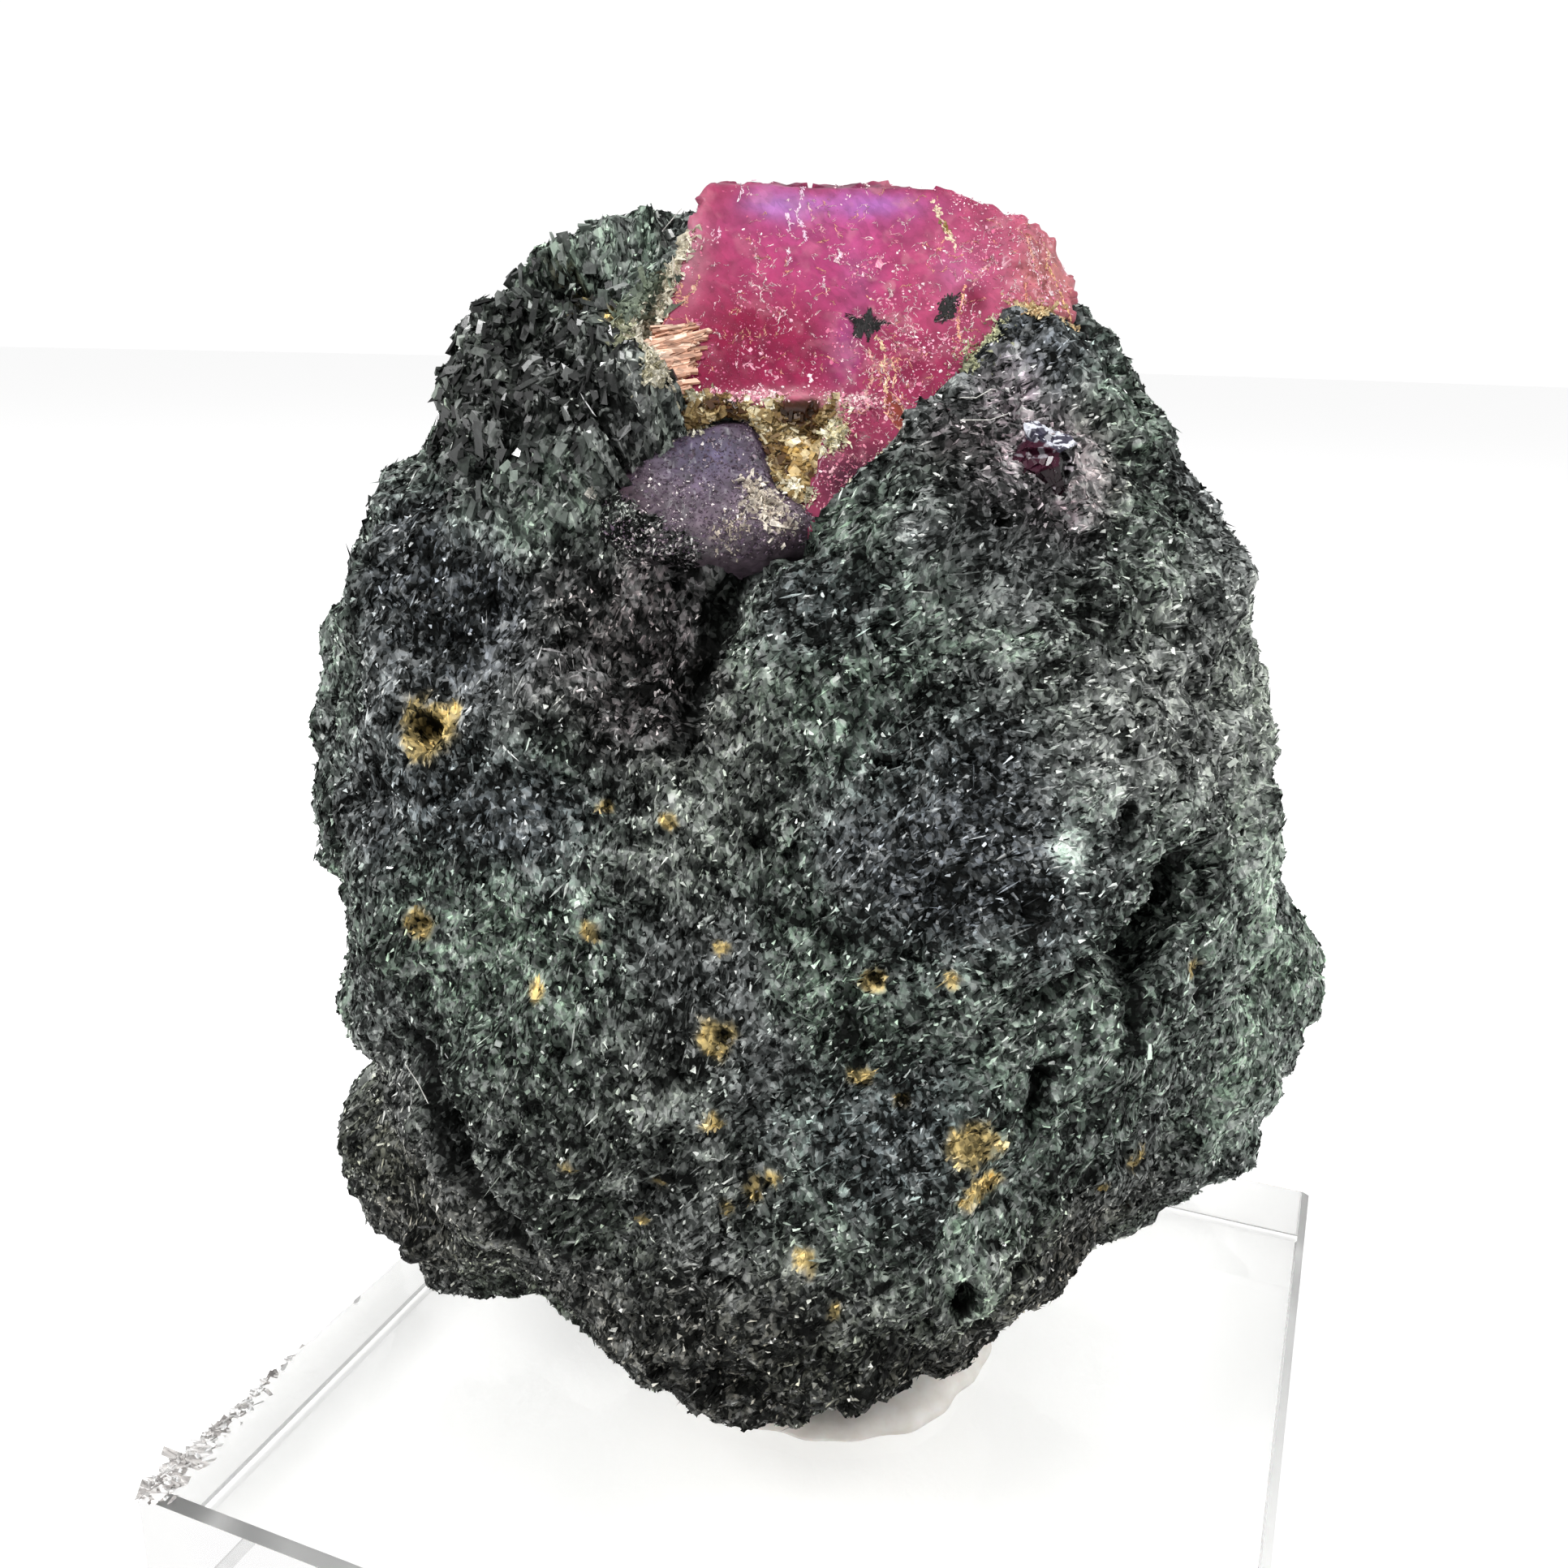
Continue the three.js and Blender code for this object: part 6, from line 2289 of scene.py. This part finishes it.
@dataclass
class ContactMinerals:
    """Mica and pale crusts where the crystals meet the rock."""

    pocket: Line = (
        (-5.0, 5.0), (-5.0, 3.4), (-2.2, 3.0), (-1.2, 1.6), (-0.4, 0.9), (0.3, 2.2), (0.9, 4.9),
    )
    wedge: Line = ((-1.05, 3.5), (0.45, 3.5), (0.1, 2.5), (-0.35, 1.8), (-0.75, 1.9))  # its yellow part
    overlap: float = 0.35  # mm that the pocket's flakes may lie within the grey crystal's outline
    flakes: int = 5600  # tried in the pocket
    slivers: int = 190  # in the tan patch
    seed: int = 23
    crusts: tuple[Crust, ...] = (
        Crust(((-4.8, 11.8), (-5.3, 10.6), (-5.8, 9.2), (-6.2, 8.0)), 0.2, 700, 0.17, "#8a7c66", "#f4efdc"),
        Crust(((-6.0, 10.6), (-6.5, 9.2), (-6.9, 8.0)), 0.4, 420, 0.2, "#39423b", "#8f9a86"),
        Crust(
            ((-6.4, 7.8), (-6.35, 6.4), (-6.0, 5.6), (-5.5, 4.9), (-5.1, 4.2)), 0.2, 1200, 0.15, "#8d846a",
            "#fbf7e8",
        ),
        Crust(((-6.9, 7.4), (-6.7, 6.2), (-6.4, 5.2)), 0.3, 500, 0.13, "#4f5446", "#b5b698"),
        Crust(((-5.6, 4.7), (-5.0, 4.1), (-4.4, 4.5)), 0.4, 1100, 0.16, "#8d8766", "#f4efdc"),
        Crust(((-2.5, 4.6), (-2.0, 4.4), (-1.4, 4.6)), 0.2, 420, 0.11, "#a08a6c", "#f6ead8"),
        Crust(((0.75, 4.5), (0.8, 3.7), (0.55, 3.0)), 0.24, 1100, 0.13, "#b5a878", "#fbf7e2"),
        Crust(((-1.5, 3.9), (-1.3, 2.6), (-0.9, 1.8), (-0.1, 1.0)), 0.16, 800, 0.12),
        Crust(
            ((7.1, 8.8), (6.3, 8.2), (5.3, 6.8), (4.3, 5.0), (3.1, 3.3), (1.6, 1.8), (0.2, 0.1)), 0.05, 800,
            0.08,
        ),
        Crust(((7.2, 9.1), (8.0, 8.8), (9.0, 8.8), (9.8, 8.8)), 0.16, 500, 0.12, "#a8845a", "#ecd8ac"),
        Crust(((5.6, 6.4), (6.0, 7.2), (6.6, 8.1)), 0.35, 420, 0.12, "#5f6450", "#dfe0b8"),
        Crust(
            ((-7.8, 0.6), (-7.4, 1.9), (-6.6, 2.8), (-6.0, 3.35), (-5.2, 3.9), (-4.4, 4.2)), 0.09, 900,
            0.09, "#a9a398", "#f8f6ee",
        ),
        Crust(((-2.3, 1.5), (-1.9, 0.9), (-1.3, 0.3), (-0.9, -0.3)), 0.26, 480, 0.15, "#83746c", "#f8efe0"),
        Crust(((-3.2, -0.6), (-2.5, -0.2)), 0.3, 160, 0.1, "#7a6c62", "#e0d4c4"),
    )

    def resting(self, u: Array, v: Array, forms: list[Form]) -> Array:
        """Highest level at which a line straight into the face meets any of the forms.

        Args:
            u: Places along the face, in mm.
            v: Places up the face, in mm.
            forms: The distances from the pieces that may stand there.

        Returns:
            A level for each place, in mm.
        """
        top, bottom, step = 3.0, -5.0, 0.06
        level = np.full(len(u), top)
        moving = np.arange(len(u))
        while len(moving):
            points = columns(u, v, level)[moving]
            outside = np.min([form(points) for form in forms], axis=0) > 0
            moving = moving[outside & (level[moving] > bottom)]
            level[moving] -= step
        return level

    def golden_pocket(self, rng: Rng) -> None:
        """The golden mica between the two large crystals: a floor with thin flakes lying on it.

        Args:
            rng: The source of random numbers.
        """
        floor = slab(self.pocket, -0.9, 2.0)
        u = rng.uniform(-5.0, 0.9, self.flakes)
        v = rng.uniform(0.9, 5.0, self.flakes)
        within = outline_distance(u, v, self.pocket) < 0
        within &= outline_distance(u, v, GreyCorundum.outline) > -self.overlap
        u, v = u[within], v[within]
        count = len(u)
        spots = columns(u, v, 0 * u)
        # painted shade: flakes darker just under the ruby's lower edge, in the middle and on the left
        shaded_gap = bell(u, v, (-0.5, 4.3), (0.62, 0.36), 4)
        left = bell(u, v, (-3.6, 4.6), (0.9, 0.3))
        wedge = smoothstep(0.5 - outline_distance(u, v, self.wedge) / 0.25)
        cream = bell(u, v, (0.75, 3.7), (0.4, 0.9)) + bell(u, v, (-1.9, 4.4), (0.55, 0.6))
        cream = cream + bell(u, v, (-0.7, 1.5), (0.5, 0.3))
        w = rng.uniform(-0.8, -0.35, count) + 0.25 * layered_noise(spots, 0.9, 610)
        w += 0.4 * smoothstep((v - 3.5) / 0.7)
        normals = unit(np.array([0, 0, 1]) + (0.35 - 0.25 * wedge)[:, None] * rng.normal(size=(count, 3)))
        along = unit(np.array([0.8, -0.5, 0]) + 0.35 * rng.normal(size=(count, 3)))
        places = Places(columns(u, v, w), normals, along)
        kind = GrainKind(0.34, 0.22, 0.05, tilt=0.25, wander=0.8, sunk=0)
        flakes = grain_mesh(GrainShape.BLOCK, places, kind, rng)
        tone = 0.46 + 0.13 * rng.normal(size=count) + 0.4 * layered_noise(spots, 0.6, 620)
        edge = np.exp(-(((v - 4.75) / 0.1) ** 2))
        # the gap under the ruby and the band on the left take painted shade off the tone
        tone += 0.22 * wedge + 0.5 * cream - 0.5 * shaded_gap - 0.34 * left + 0.25 * edge
        colours = colour_ramp(tone, GOLDEN_STOPS)
        colours = mixed(colours, 0.6 * wedge * rng.uniform(0.3, 1, count), "#cfa03e")
        ground = np.tile(linear("#3a2814"), (len(floor.vertices), 1))
        tints = np.concatenate([ground, np.repeat(colours, 8, axis=0)])
        whole = floor.joined(Shell(flakes.vertices, halved(flakes.faces))).on_face()
        finish = GrainFinish("golden_mica_flaked", roughness=0.35, specular=0.3).material()
        piece = make_piece("golden_mica", whole, finish, "golden_mica", False, tint=tints)
        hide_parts("mica_pocket")

    def tan_patch(self, rng: Rng) -> None:
        """The tan mica plate at the ruby's left edge: slivers side by side, ragged at their right ends.

        Args:
            rng: The source of random numbers.
        """
        count = self.slivers
        level = rng.uniform(4.7, 7.7, count)
        left = np.interp(level, (4.7, 5.4, 6.2, 7.3), (-5.2, -5.6, -6.0, -6.3))
        left += rng.uniform(-0.15, 0.2, count)
        right = np.interp(level, (4.7, 6.1, 7.0, 7.7), (-4.75, -4.35, -4.05, -4.3))
        right += rng.uniform(-0.3, 0.3, count)
        share = rng.uniform(0.2, 0.8, count)
        across = (right - left) * rng.uniform(0.35, 0.8, count)
        middles = columns(left + (right - left) * share, level, rng.uniform(-0.1, 0.02, count))
        axes = level_axes(np.radians(14 + 7 * rng.normal(size=count)))
        sizes = columns(across, rng.uniform(0.05, 0.22, count), rng.uniform(0.2, 0.3, count))
        slivers = grains(GrainShape.BLOCK, middles, axes, sizes, 0.35, rng).on_face()
        tints = np.repeat(colour_ramp(rng.random(count), TAN_STOPS), 8, axis=0)
        finish = GrainFinish("tan_mica_cleaved", roughness=0.4, specular=0.5, streak=4).material()
        piece = make_piece("tan_mica", slivers, finish, "tan_mica", False, tint=tints)
        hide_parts("mica_patch")

    def pale_crusts(self, rng: Rng, forms: list[Form]) -> None:
        """Pale crumbs along the borders, resting on whichever surface stands highest.

        Args:
            rng: The source of random numbers.
            forms: The distances from the pieces that crumbs may rest on.
        """
        points, tints, sizes = [], [], []
        for crust in self.crusts:
            path = np.array(crust.path)
            reach = path_reach(path)
            at = rng.uniform(0, reach[-1], crust.count)
            u = np.interp(at, reach, path[:, 0]) + crust.width * rng.normal(size=crust.count)
            v = np.interp(at, reach, path[:, 1]) + crust.width * rng.normal(size=crust.count)
            points.append(columns(u, v))
            tints.append(colour_ramp(rng.beta(1.6, 1.2, crust.count), {0.0: crust.dark, 1.0: crust.pale}))
            sizes.append(np.full(crust.count, crust.size))
        flat, colours, size = np.concatenate(points), np.concatenate(tints), np.concatenate(sizes)
        count = len(flat)
        level = self.resting(flat[:, 0], flat[:, 1], forms)
        middles = FACE.place(np.column_stack([flat, level]))
        axes = np.stack([unit(rng.normal(size=(count, 3))) for _ in range(2)], axis=1)
        second = unit(np.cross(axes[:, 0], axes[:, 1]))
        axes = np.stack([axes[:, 0], second, np.cross(axes[:, 0], second)], axis=1)
        spread = size[:, None] * np.array([1.6, 0.9, 0.8]) * np.exp(0.55 * rng.normal(size=(count, 3)))
        shell = grains(GrainShape.CRUMB, middles, axes, spread, 0.4, rng)
        finish = GrainFinish("calcite_margarite_crust", 0.6, 0.3, mottle=0.1, streak=1).material()
        tint = np.repeat(colours, 4, axis=0)
        make_piece("pale_contact_crust", shell, finish, "tan_mica", False, tint=tint)

    def dress(self, forms: list[Form]) -> None:
        """Builds the contact minerals.

        Args:
            forms: The distances from the pieces that crumbs may rest on.
        """
        rng = np.random.default_rng(self.seed)
        self.golden_pocket(rng)
        self.tan_patch(rng)
        self.pale_crusts(rng, forms)


@dataclass
class FineThreads:
    """Loose white fibres caught on the rough rock."""

    paths: tuple[tuple[Triple, ...], ...] = (
        (
            (-9.4, -0.6, 51.1), (-8.9, -1.2, 50.8), (-8.4, -1.6, 50.8), (-8.0, -1.2, 51.2),
            (-7.2, -0.6, 52.2),
        ),
        ((3.4, -8.9, 45.5), (4.0, -8.8, 45.5), (4.6, -8.2, 45.8)),
        ((3.3, -10.5, 44.8), (4.4, -9.9, 44.8), (5.1, -9.3, 45.0)),
        ((-16.8, -12.5, 20.3), (-16.1, -13.4, 20.0), (-15.6, -14.0, 19.5)),
    )
    radius: float = 0.02

    def dress(self) -> None:
        """Builds the threads: each slows a little at its path's points, which rounds the bends."""
        whole = None
        for path in self.paths:
            ends = np.array(path)
            steps = np.linspace(0, len(path) - 1, 8 * len(path))
            index = np.clip(steps.astype(int), 0, len(path) - 2)
            share = smoothstep(steps - index)[:, None] * 0.5 + 0.5 * (steps - index)[:, None]
            points = ends[index] * (1 - share) + ends[index + 1] * share
            tube = arc_tube(points, self.radius)
            whole = tube if whole is None else whole.joined(tube)
        tint = np.tile(linear("#d4d3cd"), (len(whole.vertices), 1))
        finish = GrainFinish("loose_fibre_white", roughness=0.6, specular=0.2).material()
        make_piece("loose_fibres", whole, finish, "tan_mica", True, tint=tint)


@dataclass
class Stand:
    """The acrylic block and the disc of tack on it."""

    side: float = 45.0
    height: float = 8.0
    bruises: int = 240
    tack_radius: float = 8.8
    tack_height: float = 2.6
    tack_centre: Pair = (-0.1, -0.3)
    seed: int = 53  # of the bruises

    def tack(self) -> None:
        """The disc: a rounded profile turned round its middle, its rim waved by the pressing fingers.

        Radius = profile · (1 + scallops), over a grid of turns and profile points.
        """
        profile = np.array(
            [
                (0, 0), (0.5, 0), (0.92, 0), (0.99, 0.05), (1.0, 0.14), (0.99, 0.3), (0.96, 0.42),
                (0.9, 0.52), (0.8, 0.62), (0.6, 0.8), (0.4, 0.95), (0.2, 1.0), (0, 1.0),
            ]
        )
        turns = 160
        angles = np.arange(turns) * 2 * math.pi / turns
        ring = profile[1:-1]
        scallops = ((0.02, 5, 1), (0.012, 11, 0), (0.008, 23, 2))  # height, number, start
        waves = 1 + sum(height * np.sin(number * angles + start) for height, number, start in scallops)
        radius = ring[:, 0, None] * waves * self.tack_radius
        x, y = self.tack_centre
        height = ring[:, 1, None] * self.tack_height
        grid = columns(x + radius * np.cos(angles), y + radius * np.sin(angles), height).reshape(-1, 3)
        ends = [[x, y, 0], [x, y, self.tack_height]]
        shell = Shell(np.concatenate([grid, ends]), ring_walls(len(ring), turns))
        piece = make_piece("mounting_tack", shell, MountingTack().material(), "white_tack", True)
        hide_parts("mounting_putty")

    def chips(self) -> None:
        """Small bruises along the block's left top edge, thickest at the front corner."""
        rng = np.random.default_rng(self.seed)
        half = self.side / 2
        back = -half + 11 * rng.beta(0.9, 2.2, self.bruises)
        spread = np.clip(1.2 - (back + half) / 10, 0.2, 1)
        inward = -half + 0.25 + np.abs(rng.normal(0, 0.5, self.bruises)) * spread
        turn = math.radians(STANCE.turn)
        x = inward * math.cos(turn) + back * math.sin(turn)
        y = back * math.cos(turn) - inward * math.sin(turn)
        axes = level_axes(rng.uniform(0, math.pi, self.bruises))
        grown = (1 + 1.6 * np.exp(-((back + half) / 2.5)))[:, None]
        sizes = np.array([0.3, 0.18, 0.06]) * grown * np.exp(0.5 * rng.normal(size=(self.bruises, 3)))
        shell = grains(GrainShape.CRUMB, columns(x, y, -0.02), axes, sizes, 0.4, rng)
        stops = {0.0: "#8f8a88", 0.4: "#d5d1ce", 1.0: "#ffffff"}
        tint = np.repeat(colour_ramp(rng.random(self.bruises), stops), 4, axis=0)
        finish = GrainFinish("cast_acrylic_bruised", roughness=0.35, specular=0.5).material()
        make_piece("block_edge_bruises", shell, finish, "clear_acrylic", False, tint=tint)

    def dress(self, nodes: dict[str, bpy.types.Object]) -> None:
        """Builds the stand; the block keeps its CAD solid and gets the acrylic finish.

        Args:
            nodes: The CAD model's objects, by name.
        """
        self.tack()
        self.chips()
        block = nodes["acrylic_block"]
        block.data.materials.clear()
        block.data.materials.append(CastAcrylic().material())


@dataclass
class Studio:
    """Camera, soft lamps and a pale floor."""

    camera_place: Triple = (-2.52, -62.94, 47.5)  # mm, in the specimen's frame
    pitch: float = 17.1  # degrees that it looks down
    roll: float = 1.5
    focal_length: float = 33.54  # mm, on a sensor 36 mm wide
    floor_radius: float = 3.0  # metres
    floor_level: float = -0.00005  # metres, just under the block
    floor_glow: float = 0.5
    level_light: float = 0.14  # brightness of the surroundings at the horizon, as the specimen meets it
    high_light: float = 0.68  # and straight above
    mirrored: float = 0.6  # brightness of the surroundings as polished faces mirror them
    backdrop: float = 1.05  # and as the picture shows them

    def camera(self) -> None:
        """Sets the camera where it looks down a little on the specimen's front."""
        data = bpy.data.cameras.new("camera")
        data.lens = self.focal_length
        data.sensor_width = 36.0
        data.clip_start = 0.002
        camera = bpy.data.objects.new("camera", data)
        bpy.context.scene.collection.objects.link(camera)
        place = Matrix.Translation(Vector(self.camera_place) * MM)
        raised = Matrix.Rotation(math.radians(90 - self.pitch), 4, "X")
        rolled = Matrix.Rotation(math.radians(self.roll), 4, "Z")
        camera.matrix_world = STANCE.matrix() @ place @ raised @ rolled
        bpy.context.scene.camera = camera

    def lamp(self, name: str, place: Triple, size: float, power: float) -> None:
        """A square soft lamp, place and size in metres, aimed at the specimen's middle.

        Args:
            name: The lamp's name.
            place: Where it stands, in metres.
            size: Length of a side, in metres.
            power: Its power, in watts.
        """
        data = bpy.data.lights.new(name, "AREA")
        data.size = size
        data.energy = power
        lamp = bpy.data.objects.new(name, data)
        bpy.context.scene.collection.objects.link(lamp)
        target = Vector((0, 0, 0.03))
        aim = (target - Vector(place)).to_track_quat("-Z", "Y").to_matrix().to_4x4()
        lamp.matrix_world = STANCE.matrix() @ Matrix.Translation(place) @ aim

    def seen(self, tree: Tree) -> Node:
        """One for light that goes to the picture straight or through something clear, else none.

        Args:
            tree: The tree of the surroundings.

        Returns:
            The node that gives the number.
        """
        path = add_node(tree, "LightPath")
        straight, through = path.outputs["Is Camera Ray"], path.outputs["Is Transmission Ray"]
        return add_node(tree, "Math", {"operation": "MAXIMUM"}, i0=straight, i1=through)

    def floor(self) -> None:
        """A round white floor just under the block, faintly lit from below so that it shows no horizon."""
        turns = 64
        angles = np.arange(turns) * 2 * math.pi / turns
        x, y = self.floor_radius * np.cos(angles), self.floor_radius * np.sin(angles)
        rim = columns(x, y, self.floor_level)
        mesh = bpy.data.meshes.new("floor")
        mesh.from_pydata(rim.tolist(), [], [list(range(turns))])
        material, tree, shader = start_material("white_paper_backlit")
        bounced = add_node(tree, "LightPath").outputs["Is Diffuse Ray"]
        glow = add_node(tree, "Mix", {"data_type": "FLOAT"}, i0=bounced, i2=self.floor_glow, i3=0.0)
        feed(tree, shader, Base_Color=(0.9, 0.9, 0.9, 1), Roughness=0.9, Specular_IOR_Level=0.1)
        feed(tree, shader, Emission_Color=(1, 1, 1, 1), Emission_Strength=glow)
        mesh.materials.append(material)
        floor = bpy.data.objects.new("floor", mesh)
        bpy.context.scene.collection.objects.link(floor)
        floor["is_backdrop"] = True

    def surroundings(self) -> None:
        """A white backdrop, whose light on the specimen comes more from above, and plain colours."""
        world = bpy.data.worlds.new("studio")
        world.use_nodes = True
        tree = world.node_tree
        direction = add_node(tree, "TexCoord").outputs["Generated"]
        up = add_node(tree, "SeparateXYZ", i0=direction).outputs[2]
        light = add_node(tree, "MapRange", Value=up, To_Min=self.level_light, To_Max=self.high_light)
        glossy = add_node(tree, "LightPath").outputs["Is Glossy Ray"]
        number = {"data_type": "FLOAT"}
        mirrored = add_node(tree, "Mix", number, i0=glossy, i2=light, i3=self.mirrored)
        strength = add_node(tree, "Mix", number, i0=self.seen(tree), i2=mirrored, i3=self.backdrop)
        feed(tree, tree.nodes["Background"], Strength=strength, Color=(1, 1, 1, 1))
        scene = bpy.context.scene
        scene.world = world
        scene.view_settings.view_transform = "Standard"
        scene.view_settings.look = "None"

    def dress(self) -> None:
        """Builds the studio."""
        self.camera()
        self.lamp("key_left", (-0.22, -0.20, 0.36), 0.1, 1.5)
        self.lamp("fill_right", (0.30, -0.08, 0.34), 0.14, 1.05)
        self.floor()
        self.surroundings()


def corners(bounds: tuple[Vector, Vector]) -> list[list[float]]:
    """A box's corners as plain lists."""
    return [list(corner) for corner in bounds]


def main() -> None:
    """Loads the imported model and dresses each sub-assembly."""
    logging.basicConfig(level=logging.INFO, format="%(message)s")
    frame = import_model()
    cad_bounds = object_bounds()
    Studio().dress()
    Stand().dress(frame["nodes"])
    rock = MatrixRock()
    rock.dress()
    ruby = RubyCrystal()
    ruby.dress()
    grey = GreyCorundum()
    grey.dress(rock)
    SmallCorundum().dress()
    ContactMinerals().dress([ruby.form, grey.form, lambda points: rock.form.whole(FACE.place(points))])
    FineThreads().dress()
    json.dumps({"cad": corners(cad_bounds), "visual": corners(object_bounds())})


if __name__ == "__main__":
    main()
